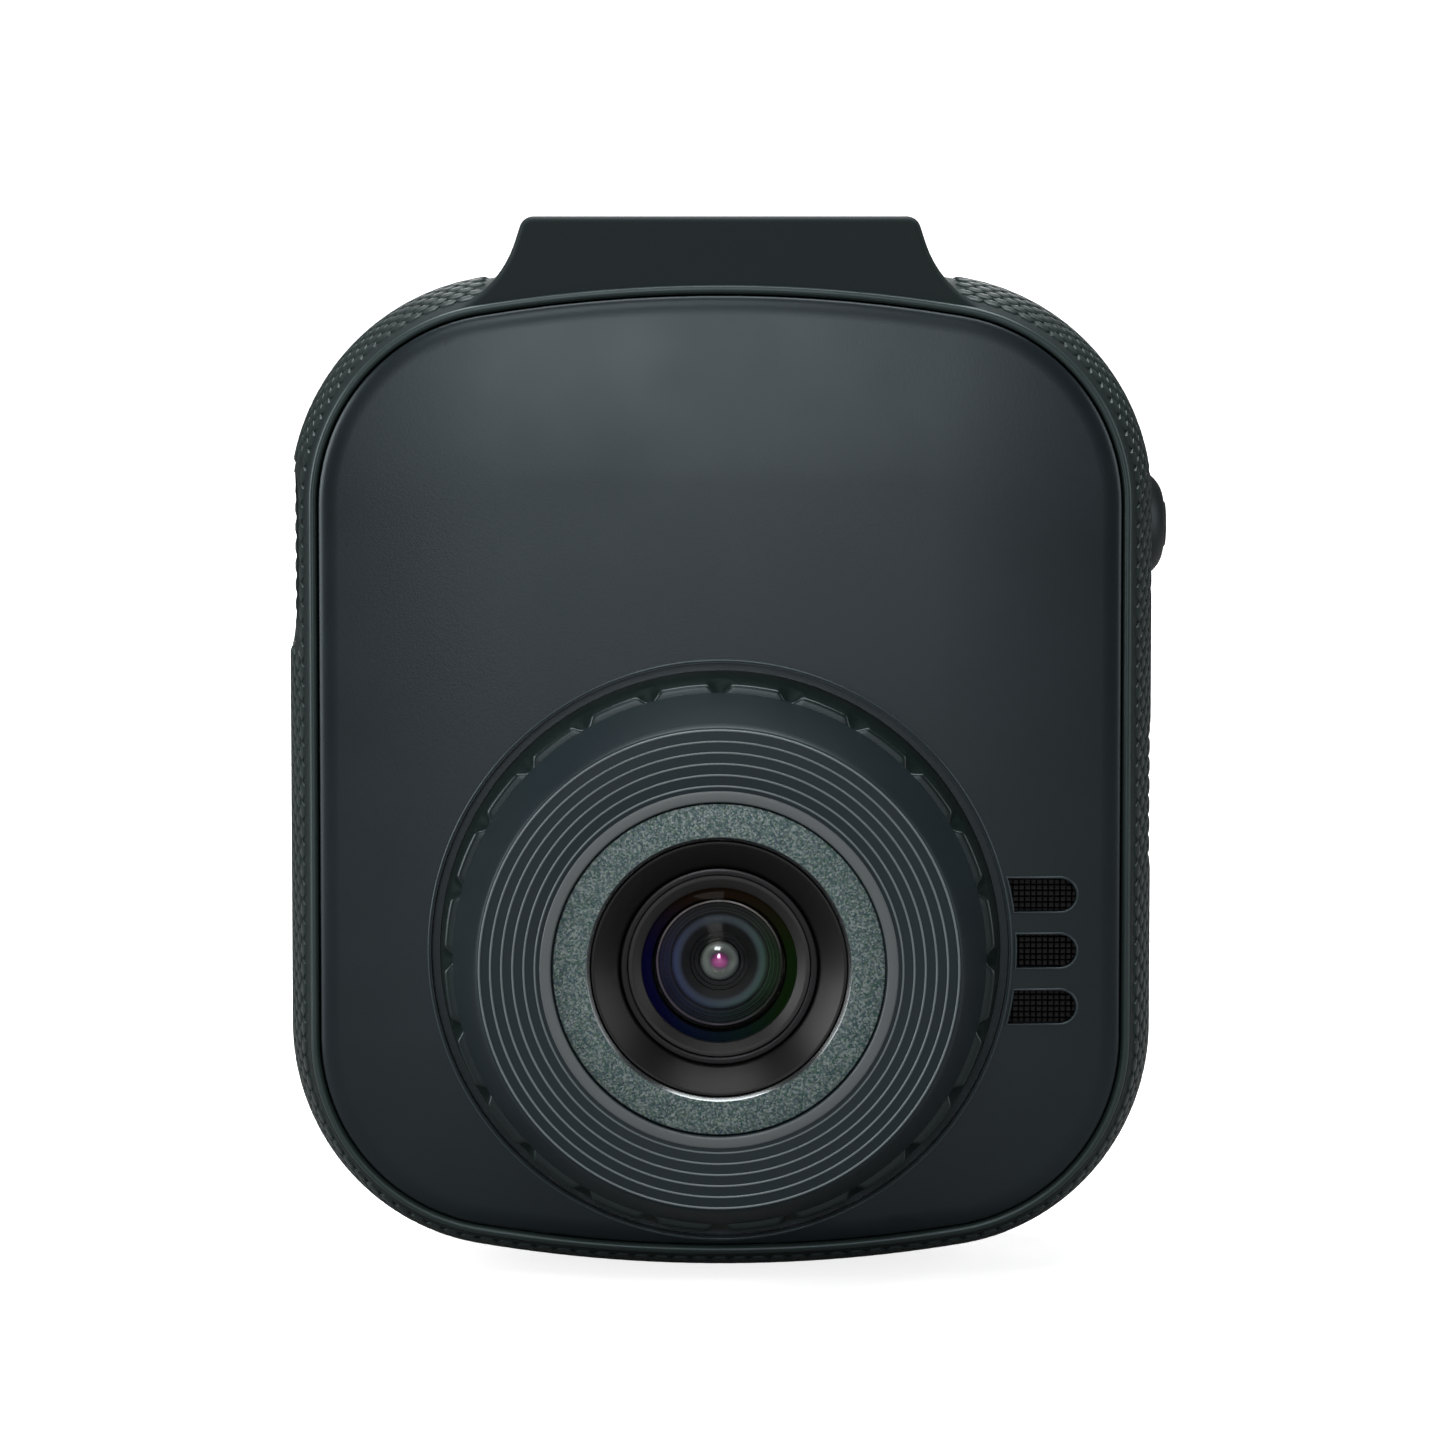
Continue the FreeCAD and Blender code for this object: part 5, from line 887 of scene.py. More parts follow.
def lofted(name: str, loops: Sequence[Sequence[Sequence[float]]],
           hollow: bool = False) -> bpy.types.Mesh:
    """Joins loops of equal length into a closed skin.

    Args:
        name: the mesh's name.
        loops: rings of points in mm, in order.
        hollow: whether the last loop joins the first; otherwise a face covers each end.

    Returns:
        The closed mesh.
    """
    count = len(loops[0])
    points = [p for loop in loops for p in loop]
    faces: list[Sequence[int]] = []
    if not hollow:
        faces += [range(count), range(len(points) - count, len(points))]
    for level in range(len(loops) - (0 if hollow else 1)):
        here, there = level * count, (level + 1) % len(loops) * count
        for i in range(count):
            j = (i + 1) % count
            faces.append((here + i, here + j, there + j, there + i))
    return mesh_from(name, points, faces, LOFT_SHARP_DEGREES)


def round_box(half_a: float, half_b: float, corner: float, steps: int = 6) -> list[Point2]:
    """Returns a rectangle with round corners about the origin, from its half sizes in mm."""
    return softened([Corner(half_a, half_b, corner), Corner(half_a, -half_b, corner),
                     Corner(-half_a, -half_b, corner), Corner(-half_a, half_b, corner)], steps)


def joined(name: str, meshes: Iterable[bpy.types.Mesh]) -> bpy.types.Mesh:
    """Puts several meshes together in one, and removes them."""
    whole = bmesh.new()
    for mesh in list(meshes):
        whole.from_mesh(mesh)
        bpy.data.meshes.remove(mesh)
    made = bpy.data.meshes.new(name)
    whole.to_mesh(made)
    whole.free()
    smooth(made, LOFT_SHARP_DEGREES)
    return made


# ---------------------------------------------------------------- geometry node helpers


def new_tree(name: str, inputs: dict[str, tuple[str, Any]]) -> tuple[Any, Any, Any]:
    """Makes a geometry tree with named inputs.

    Args:
        name: the tree's name.
        inputs: label to socket type and first value.

    Returns:
        The tree, its group input node and its group output node.
    """
    tree = bpy.data.node_groups.new(name, "GeometryNodeTree")
    tree.interface.new_socket(name="Geometry", in_out="INPUT", socket_type="NodeSocketGeometry")
    tree.interface.new_socket(name="Geometry", in_out="OUTPUT", socket_type="NodeSocketGeometry")
    for label, (kind, value) in inputs.items():
        socket = tree.interface.new_socket(name=label, in_out="INPUT", socket_type=kind)
        if value is not None:
            socket.default_value = value
    return tree, add(tree, "NodeGroupInput"), add(tree, "NodeGroupOutput")


def close_tree(tree: Any, group_out: Any, geometry: Any, finish: Finish) -> None:
    """Ends a tree in Realize Instances and Set Material.

    Args:
        tree: the geometry tree.
        group_out: its output node.
        geometry: the socket that carries the result.
        finish: the finish of what it makes.
    """
    real = add(tree, "GeometryNodeRealizeInstances", {"Geometry": geometry})
    dressed = add(tree, "GeometryNodeSetMaterial", {
        "Geometry": real.outputs[0], "Material": finish.material(),
    })
    tree.links.new(dressed.outputs[0], group_out.inputs[0])


def grown(
    name: str, tree: Any, carrier_mesh: bpy.types.Mesh, values: dict[str, Any] | None = None
) -> bpy.types.Object:
    """Runs a geometry tree on a mesh and returns the result as a plain object.

    Args:
        name: the new object's name.
        tree: the geometry tree.
        carrier_mesh: the mesh that the tree starts from.
        values: named inputs to set.

    Returns:
        An object with a plain mesh and no modifier.
    """
    carrier = make_object(name + "_carrier", carrier_mesh)
    modifier = carrier.modifiers.new("grow", "NODES")
    modifier.node_group = tree
    labels = {i.name: i.identifier for i in tree.interface.items_tree
              if i.item_type == "SOCKET" and i.in_out == "INPUT"}
    for label, value in (values or {}).items():
        modifier[labels[label]] = value
    settled = carrier.evaluated_get(bpy.context.evaluated_depsgraph_get())
    mesh = bpy.data.meshes.new_from_object(settled)
    mesh.name = name
    bpy.data.objects.remove(carrier)
    return make_object(name, mesh)


def rounded(tree: Any, lines: Any, radius: Any, sides: int = 10, capped: bool = False) -> Any:
    """Sweeps a small round along curves.

    Args:
        tree: the geometry tree.
        lines: the socket with the curves.
        radius: the socket with the round's radius.
        sides: sides of the round.
        capped: whether open ends are closed.

    Returns:
        The socket with the skin.
    """
    section = add(tree, "GeometryNodeCurvePrimitiveCircle", {
        "Resolution": sides, "Radius": radius,
    })
    return add(tree, "GeometryNodeCurveToMesh", {
        "Curve": lines, "Profile Curve": section.outputs[0], "Fill Caps": capped,
    }).outputs[0]


def swept(name: str, loops: Sequence[Sequence[Sequence[float]]], radius_mm: float,
          finish: Finish) -> bpy.types.Object:
    """Sweeps a small round along closed loops.

    Args:
        name: the new object's name.
        loops: closed rings of points in mm.
        radius_mm: the round's radius.
        finish: the finish of the result.

    Returns:
        One object with every swept loop.
    """
    tree, group_in, group_out = new_tree(name + "_sweep", {
        "Round Radius": ("NodeSocketFloat", radius_mm * MM),
    })
    lines = add(tree, "GeometryNodeMeshToCurve", {"Mesh": group_in.outputs["Geometry"]})
    skin = rounded(tree, lines.outputs[0], group_in.outputs["Round Radius"])
    close_tree(tree, group_out, skin, finish)
    points = [p for loop in loops for p in loop]
    edges: list[tuple[int, int]] = []
    for loop in loops:
        base = len(edges)
        edges.extend((base + i, base + (i + 1) % len(loop)) for i in range(len(loop)))
    whole = grown(name, tree, plain_mesh(name + "_line", points, edges))
    smooth(whole.data, 60.0)
    return whole


def copies_tree(finish: Finish) -> Any:
    """Makes the tree that puts a copy of a pattern object on every point it is given."""
    tree, group_in, group_out = new_tree("copies_on_points_" + finish.name, {
        "Pattern": ("NodeSocketObject", None),
    })
    pattern = add(tree, "GeometryNodeObjectInfo", {"Object": group_in.outputs["Pattern"]})
    placed = add(tree, "GeometryNodeInstanceOnPoints", {
        "Points": group_in.outputs["Geometry"], "Instance": pattern.outputs["Geometry"],
    })
    close_tree(tree, group_out, placed.outputs[0], finish)
    return tree


def copied(
    name: str, pattern: bpy.types.Mesh, places: Sequence[Sequence[float]], finish: Finish
) -> bpy.types.Object:
    """Puts a copy of a pattern mesh at each place.

    Args:
        name: the new object's name.
        pattern: the mesh to copy, round its own origin.
        places: where the copies go, in mm.
        finish: the finish of the copies.

    Returns:
        One object with all the copies.
    """
    stamp = make_object(name + "_pattern", pattern)
    points = plain_mesh(name + "_places", places)
    made = grown(name, copies_tree(finish), points, {"Pattern": stamp})
    bpy.data.objects.remove(stamp)
    return made


# ---------------------------------------------------------------- the body's outline


@dataclass(frozen=True)
class BodyOutline:
    """The body seen from the front: straight sides, round corners and crowned ends, in mm."""

    half_width: float = 26.0
    corner_radius: float = 13.6
    crown_radius: float = 88.0
    centre_z: float = -32.8
    corner_x: float = 12.4
    corner_z: float = 15.81
    crown_drop: float = 57.55
    cover_inset: float = 2.3

    def corner_angle(self) -> float:
        """Returns how far the corner arc turns from the side, in radians."""
        return math.atan2(self.corner_z + self.crown_drop, self.corner_x)

    def depth_inside(self, x: float, z: float) -> float:
        """Returns how far a point of the cover lies inside the cover's edge.

        Args:
            x: the point's X in mm.
            z: the point's Z in mm.

        Returns:
            The distance in mm, less than nothing outside the edge.
        """
        across, up = abs(x), abs(z - self.centre_z)
        over_x, over_z = across - self.corner_x, up - self.corner_z
        turn = math.atan2(over_z, over_x)
        if over_z > 0.0 and 0.0 <= turn <= self.corner_angle():
            return self.corner_radius - self.cover_inset - math.hypot(over_x, over_z)
        side = self.half_width - self.cover_inset - across
        crown = self.crown_radius - self.cover_inset - math.hypot(across, up + self.crown_drop)
        return min(side, crown) if over_z <= 0.0 else crown

    def loop(self, inset: float, per_corner: int = 40, per_crown: int = 60,
             per_side: int = 40) -> list[Point2]:
        """Returns the outline as a closed loop of points.

        Args:
            inset: how far the loop lies inside the widest outline, in mm.
            per_corner: steps in each corner.
            per_crown: steps in each crowned end.
            per_side: steps along each side.

        Returns:
            X and Z of each point, clockwise from the upper right corner.
        """
        turn = self.corner_angle()
        quarter: list[Point2] = []
        for step in range(per_crown // 2 + 1):
            angle = (math.pi / 2.0 - turn) * step / (per_crown // 2)
            reach = self.crown_radius - inset
            quarter.append((reach * math.sin(angle), reach * math.cos(angle) - self.crown_drop))
        for step in range(1, per_corner + 1):
            angle = turn * (1.0 - step / per_corner)
            reach = self.corner_radius - inset
            quarter.append((self.corner_x + reach * math.cos(angle),
                            self.corner_z + reach * math.sin(angle)))
        for step in range(1, per_side // 2 + 1):
            quarter.append((self.half_width - inset,
                            self.corner_z * (1.0 - step / (per_side // 2))))
        lower = [(x, -z) for x, z in reversed(quarter[:-1])]
        right = quarter + lower
        left = [(-x, z) for x, z in reversed(right[1:-1])]
        return [(x, z + self.centre_z) for x, z in right + left]


OUTLINE = BodyOutline()


# ---------------------------------------------------------------- sub-assemblies


@dataclass
class FrontShell:
    """Front cover with a crowned face, and the rounded lips of its three sound slots."""

    crown_mm: float = 0.38
    reach_mm: float = 10.0
    swell_mm: float = 0.12
    grid_mm: float = 1.1
    face_y_mm: float = -10.0
    edge_y_mm: float = -8.79
    edge_width_mm: float = 1.25
    edge_drop: float = 0.72
    seat_radius_mm: float = 17.3
    slot_height_mm: float = 2.1
    slot_pitch_mm: float = 3.33
    slot_end_mm: float = 21.15
    slot_start_radius_mm: float = 17.5
    rim_radius_mm: float = 17.23
    rim_height_mm: float = 0.17
    lip_mm: float = 0.08
    lip_inset_mm: float = 1.93
    lip_y_mm: float = -9.50
    lip_bead_mm: float = 0.26

    def lift(self, x: float, z: float) -> float:
        """Returns how far the face stands out at a point, in mm."""
        inside = max(0.0, min(1.0, OUTLINE.depth_inside(x, z) / self.reach_mm))
        broad = 1.0 - (x / OUTLINE.half_width) ** 2
        return self.crown_mm * (1.0 - (1.0 - inside) ** 2) + self.swell_mm * broad * inside

    def facing(self, x: float, z: float) -> Vector:
        """Returns the crowned face's outward direction at a point."""
        step = 0.05
        lean_x = (self.lift(x + step, z) - self.lift(x - step, z)) / (2.0 * step)
        lean_z = (self.lift(x, z + step) - self.lift(x, z - step)) / (2.0 * step)
        return Vector((-lean_x, -1.0, -lean_z)).normalized()

    def stands_out(self, place: Vector) -> bool:
        """Tells whether a corner of the cover moves with the crowned face.

        Args:
            place: the corner's place in mm.

        Returns:
            True on the face, on what stands on it and on the rounded edge round it.
        """
        if place.y < self.face_y_mm + 0.02:
            return True
        axis = middle("lens_barrel")
        clear = math.hypot(place.x - axis.x, place.z - axis.z) > self.seat_radius_mm
        near_edge = OUTLINE.depth_inside(place.x, place.z) < self.edge_width_mm
        return place.y < self.edge_y_mm and near_edge and clear

    def open_face(self, work: bmesh.types.BMesh) -> list[Any]:
        """Takes the flat face off the cover, and divides the edges round it.

        Args:
            work: the cover's working copy.

        Returns:
            The edges round the opening.
        """
        level = self.face_y_mm * MM
        flat = [f for f in work.faces
                if f.normal.y < -0.99 and all(abs(v.co.y - level) < 1e-6 for v in f.verts)]
        chosen = set(flat)
        rims = [e for f in flat for e in f.edges
                if sum(1 for other in e.link_faces if other in chosen) == 1]
        bmesh.ops.delete(work, geom=flat, context="FACES")
        divided: list[Any] = []
        for rim in rims:
            pieces = max(1, math.ceil(rim.calc_length() / (self.grid_mm * MM)))
            for left in range(pieces, 1, -1):
                cut, _ = bmesh.utils.edge_split(rim, rim.verts[0], 1.0 / left)
                divided.append(cut)
            divided.append(rim)
        return divided

    def fill_face(self, work: bmesh.types.BMesh, rims: Sequence[Any]) -> None:
        """Fills the opening with even triangles, marked in the layer crowned.

        Args:
            work: the cover's working copy.
            rims: the edges round the opening.
        """
        corners = list({v for e in rims for v in e.verts})
        number = {v: i for i, v in enumerate(corners)}
        flat = [Vector((v.co.x / MM, v.co.z / MM)) for v in corners]
        walls = [(number[e.verts[0]], number[e.verts[1]]) for e in rims]
        ends = np.array([[*flat[i], *flat[j]] for i, j in walls])

        def within(places: Sequence[Point2]) -> list[bool]:
            x, z = (np.array(places)[:, axis, None] for axis in (0, 1))
            x_1, z_1, x_2, z_2 = ends.T
            spanned = (z_1 > z) != (z_2 > z)
            rise = np.where(spanned, z_2 - z_1, 1.0)
            at = x_1 + (z - z_1) * (x_2 - x_1) / rise
            return ((spanned & (at > x)).sum(axis=1) % 2 == 1).tolist()

        near = KDTree(len(flat))
        for i, point in enumerate(flat):
            near.insert((point.x, point.y, 0.0), i)
        near.balance()
        low, high = span("front_cover")
        columns = int((high.x - low.x) / self.grid_mm)
        rows = int((high.z - low.z) / self.grid_mm)
        grid = [(low.x + (high.x - low.x) * column / columns, low.z + (high.z - low.z) * row / rows)
                for column in range(columns + 1) for row in range(rows + 1)]
        for (x, z), inside in zip(grid, within(grid)):
            if inside and near.find((x, z, 0.0))[2] > self.grid_mm * 0.55:
                corners.append(work.verts.new((x * MM, self.face_y_mm * MM, z * MM)))
                flat.append(Vector((x, z)))
        found = delaunay_2d_cdt(flat, walls, [], 0, 1e-5)
        points, triangles, sources = found[0], found[2], found[3]
        layer = work.faces.layers.int.new("crowned")
        centres = [(sum(points[i].x for i in t) / 3.0, sum(points[i].y for i in t) / 3.0)
                   for t in triangles]
        for triangle, inside in zip(triangles, within(centres)):
            around = [corners[sources[i][0]] for i in triangle]
            if inside and len(set(around)) == 3:
                face = work.faces.new(around)
                face.normal_update()
                if face.normal.y > 0.0:
                    face.normal_flip()
                face[layer] = 1

    def cover(self) -> None:
        """Makes the cover from its CAD mesh, with an evenly divided and crowned face."""
        work = merged_copy("front_cover")
        work.normal_update()
        self.fill_face(work, self.open_face(work))
        for corner in work.verts:
            place = corner.co / MM
            if self.stands_out(place):
                drop = max(0.0, place.y - self.face_y_mm)
                corner.co.y -= (self.lift(place.x, place.z) + drop * self.edge_drop) * MM
        mesh = bpy.data.meshes.new("front_shell")
        work.to_mesh(mesh)
        work.free()
        smooth(mesh, 30.0)
        marks = [mark.value for mark in mesh.attributes["crowned"].data]
        mesh.attributes.remove(mesh.attributes["crowned"])
        normals = [Vector((0.0, 0.0, 0.0)) for _ in mesh.loops]
        for face in mesh.polygons:
            if marks[face.index]:
                for loop in face.loop_indices:
                    place = mesh.vertices[mesh.loops[loop].vertex_index].co / MM
                    normals[loop] = self.facing(place.x, place.z)
        mesh.normals_split_custom_set(normals)
        settle(mesh, Rides.CAMERA, COVER_ABS, ["front_cover"])

    def slot_loop(self, row: int) -> list[tuple[float, float, float]]:
        """Returns the rim of one slot as a loop of points on the crowned face, in mm."""
        axis = middle("lens_barrel")
        z_mid = axis.z + row * self.slot_pitch_mm
        half = self.slot_height_mm / 2.0
        loop: list[Point2] = []
        for step in range(17):
            angle = math.pi / 2.0 - math.pi * step / 16
            loop.append((self.slot_end_mm - half + half * math.cos(angle),
                         z_mid + half * math.sin(angle)))
        for step in range(9):
            z = z_mid - half + 2.0 * half * step / 8
            reach = math.sqrt(self.slot_start_radius_mm ** 2 - (z - axis.z) ** 2)
            loop.append((axis.x + reach, z))
        return [(x, self.face_y_mm - self.lift(x, z), z) for x, z in loop]

    def seat_loop(self) -> list[tuple[float, float, float]]:
        """Returns the rim of the lens seat as a loop of points on the crowned face, in mm."""
        axis = middle("lens_barrel")
        loop: list[tuple[float, float, float]] = []
        for step in range(180):
            angle = FULL_TURN * step / 180
            x = axis.x + self.rim_radius_mm * math.cos(angle)
            z = axis.z + self.rim_radius_mm * math.sin(angle)
            loop.append((x, self.face_y_mm - self.rim_height_mm - self.lift(x, z), z))
        return loop

    def bright_edges(self) -> None:
        """Makes the lips of the slots and the rim of the lens seat."""
        loops = [self.slot_loop(row) for row in (-1, 0, 1)]
        edges = swept("bright_edges", [*loops, self.seat_loop()], self.lip_mm, EDGE_ABS)
        settle(edges, Rides.CAMERA, EDGE_ABS)

    def frame_lip(self) -> None:
        """Makes the polished bead of the frame that borders the cover."""
        line = [(x, self.lip_y_mm, z) for x, z in OUTLINE.loop(self.lip_inset_mm)]
        bead = swept("frame_lip", [line], self.lip_bead_mm, LIP_TPE)
        settle(bead, Rides.CAMERA, LIP_TPE)

    def build(self) -> None:
        """Makes the cover, its bright edges and the bead round it."""
        self.cover()
        self.bright_edges()
        self.frame_lip()


@dataclass(frozen=True)
class KeepOut:
    """A patch of the side wall without pads: which side, its middle and half sizes, in mm."""

    side: float
    y: float
    z: float
    half_y: float
    half_z: float


@dataclass
class SideRelief:
    """Staggered raised pads round the swollen side wall, apart from its openings."""

    pads_round: int = 168
    rows: int = 17
    row_pitch_mm: float = 1.03
    swell_radius_mm: float = 28.7
    pad_radius_mm: float = 0.56
    pad_stretch: float = 1.12
    pad_height_mm: float = 0.2
    pad_steps: Point2 = (0.72, 0.28)
    pad_narrowing: Point2 = (0.88, 0.72)
    sink_mm: float = 0.05
    neck_half_mm: float = 14.2
    neck_low_mm: float = -12.0
    flank_mm: float = 20.0
    openings: tuple[KeepOut, ...] = (
        KeepOut(1.0, 1.2, -18.4, 4.2, 4.2),
        KeepOut(-1.0, -2.95, -20.3, 5.0, 6.0),
        KeepOut(1.0, 1.05, -34.35, 1.6, 6.6),
        KeepOut(1.0, 1.05, -34.35, 4.3, 4.4),
    )

    def tree(self) -> Any:
        """Makes the tree that lays the pads along the outline."""
        tree, group_in, group_out = new_tree("side_pads", {
            "Pads Round": ("NodeSocketInt", self.pads_round),
            "Rows": ("NodeSocketInt", self.rows),
            "Row Pitch": ("NodeSocketFloat", self.row_pitch_mm * MM),
            "Swell Radius": ("NodeSocketFloat", self.swell_radius_mm * MM),
            "Pad Radius": ("NodeSocketFloat", self.pad_radius_mm * MM),
            "Pad Height": ("NodeSocketFloat", self.pad_height_mm * MM),
            "Sink": ("NodeSocketFloat", self.sink_mm * MM),
        })
        given = {socket.name: Amount(tree, socket) for socket in group_in.outputs}
        line = add(tree, "GeometryNodeMeshToCurve", {"Mesh": given["Geometry"]})
        round_count, swell = given["Pads Round"], given["Swell Radius"]
        points = add(tree, "GeometryNodePoints", {"Count": round_count * given["Rows"]})
        index = Amount(tree, add(tree, "GeometryNodeInputIndex").outputs[0])
        row = ((index + 0.5) / round_count).work("FLOOR")
        stagger = row.work("MODULO", 2.0) * 0.5
        along = (index - row * round_count + stagger) / round_count
        found = add(tree, "GeometryNodeSampleCurve", {
            "mode": "FACTOR", "Curves": line.outputs[0], "Factor": along,
        })
        across = add(tree, "ShaderNodeVectorMath", {
            "operation": "CROSS_PRODUCT", 0: found.outputs["Tangent"], 1: (0.0, 1.0, 0.0),
        })
        y = (row - (given["Rows"] - 1.0) * 0.5) * given["Row Pitch"]
        inset = swell - (swell * swell - y * y).work("SQRT")
        back = (inset + given["Sink"]) * -1.0
        depth = add(tree, "ShaderNodeCombineXYZ", {"Y": y})
        moved = add(tree, "ShaderNodeVectorMath", {
            "operation": "MULTIPLY_ADD", 0: across.outputs[0],
            1: add(tree, "ShaderNodeCombineXYZ", {"X": back, "Y": back, "Z": back}).outputs[0],
            2: found.outputs["Position"],
        })
        place = add(tree, "ShaderNodeVectorMath", {
            "operation": "ADD", 0: moved.outputs[0], 1: depth.outputs[0],
        })
        lean = add(tree, "ShaderNodeCombineXYZ", {"Y": y / swell})
        outward = add(tree, "ShaderNodeVectorMath", {
            "operation": "ADD", 0: across.outputs[0], 1: lean.outputs[0],
        })
        turn = add(tree, "FunctionNodeAxesToRotation", {
            "primary_axis": "Z", "secondary_axis": "X",
            "Primary Axis": outward.outputs[0], "Secondary Axis": found.outputs["Tangent"],
        })
        set_out = add(tree, "GeometryNodeSetPosition", {
            "Geometry": points.outputs[0], "Position": place.outputs[0],
        })
        laid = add(tree, "GeometryNodeInstanceOnPoints", {
            "Points": set_out.outputs[0], "Instance": self.pad(tree, given),
            "Selection": self.allowed(tree, place.outputs[0]),
            "Rotation": turn.outputs[0],
            "Scale": (self.pad_stretch, 1.0, 1.0),
        })
        close_tree(tree, group_out, laid.outputs[0], RELIEF_TPE)
        return tree

    def pad(self, tree: Any, given: dict[str, Amount]) -> Any:
        """Makes one six-sided pad that narrows in two steps, and returns its socket."""
        lower, upper = self.pad_steps
        lower_narrowing, upper_narrowing = self.pad_narrowing
        base = add(tree, "GeometryNodeMeshCircle", {
            "fill_type": "NGON", "Vertices": 6, "Radius": given["Pad Radius"],
        })
        rise = add(tree, "GeometryNodeExtrudeMesh", {
            "mode": "FACES", "Mesh": base.outputs[0],
            "Offset Scale": given["Pad Height"] * lower,
            "Individual": False,
        })
        drawn_in = add(tree, "GeometryNodeScaleElements", {
            "Geometry": rise.outputs["Mesh"], "Selection": rise.outputs["Top"],
            "Scale": lower_narrowing,
        })
        top = add(tree, "GeometryNodeExtrudeMesh", {
            "mode": "FACES", "Mesh": drawn_in.outputs[0], "Selection": rise.outputs["Top"],
            "Offset Scale": given["Pad Height"] * upper,
            "Individual": False,
        })
        rounded = add(tree, "GeometryNodeScaleElements", {
            "Geometry": top.outputs["Mesh"], "Selection": top.outputs["Top"],
            "Scale": upper_narrowing,
        })
        return rounded.outputs[0]

    def allowed(self, tree: Any, place: Any) -> Any:
        """Returns the socket that says whether a pad may stand at a place."""
        parts = add(tree, "ShaderNodeSeparateXYZ", {"Vector": place}).outputs
        x, y, z = (Amount(tree, parts[label]) for label in "XYZ")
        blocked = (x.work("ABSOLUTE") < self.neck_half_mm * MM) * (z > self.neck_low_mm * MM)
        for opening in self.openings:
            in_z = (z - opening.z * MM).work("ABSOLUTE") < opening.half_z * MM
            in_y = (y - opening.y * MM).work("ABSOLUTE") < opening.half_y * MM
            on_side = x * opening.side > self.flank_mm * MM
            blocked = blocked.work("MAXIMUM", in_z * in_y * on_side)
        return (blocked < 0.5).socket

    def build(self) -> None:
        """Makes the pads from the body's widest outline."""
        loop = OUTLINE.loop(0.0)
        line = plain_mesh("side_line", [(x, 0.0, z) for x, z in loop],
                          [(i, (i + 1) % len(loop)) for i in range(len(loop))])
        pads = grown("side_pads", self.tree(), line)
        smooth(pads.data, 24.0)
        settle(pads, Rides.CAMERA, RELIEF_TPE)


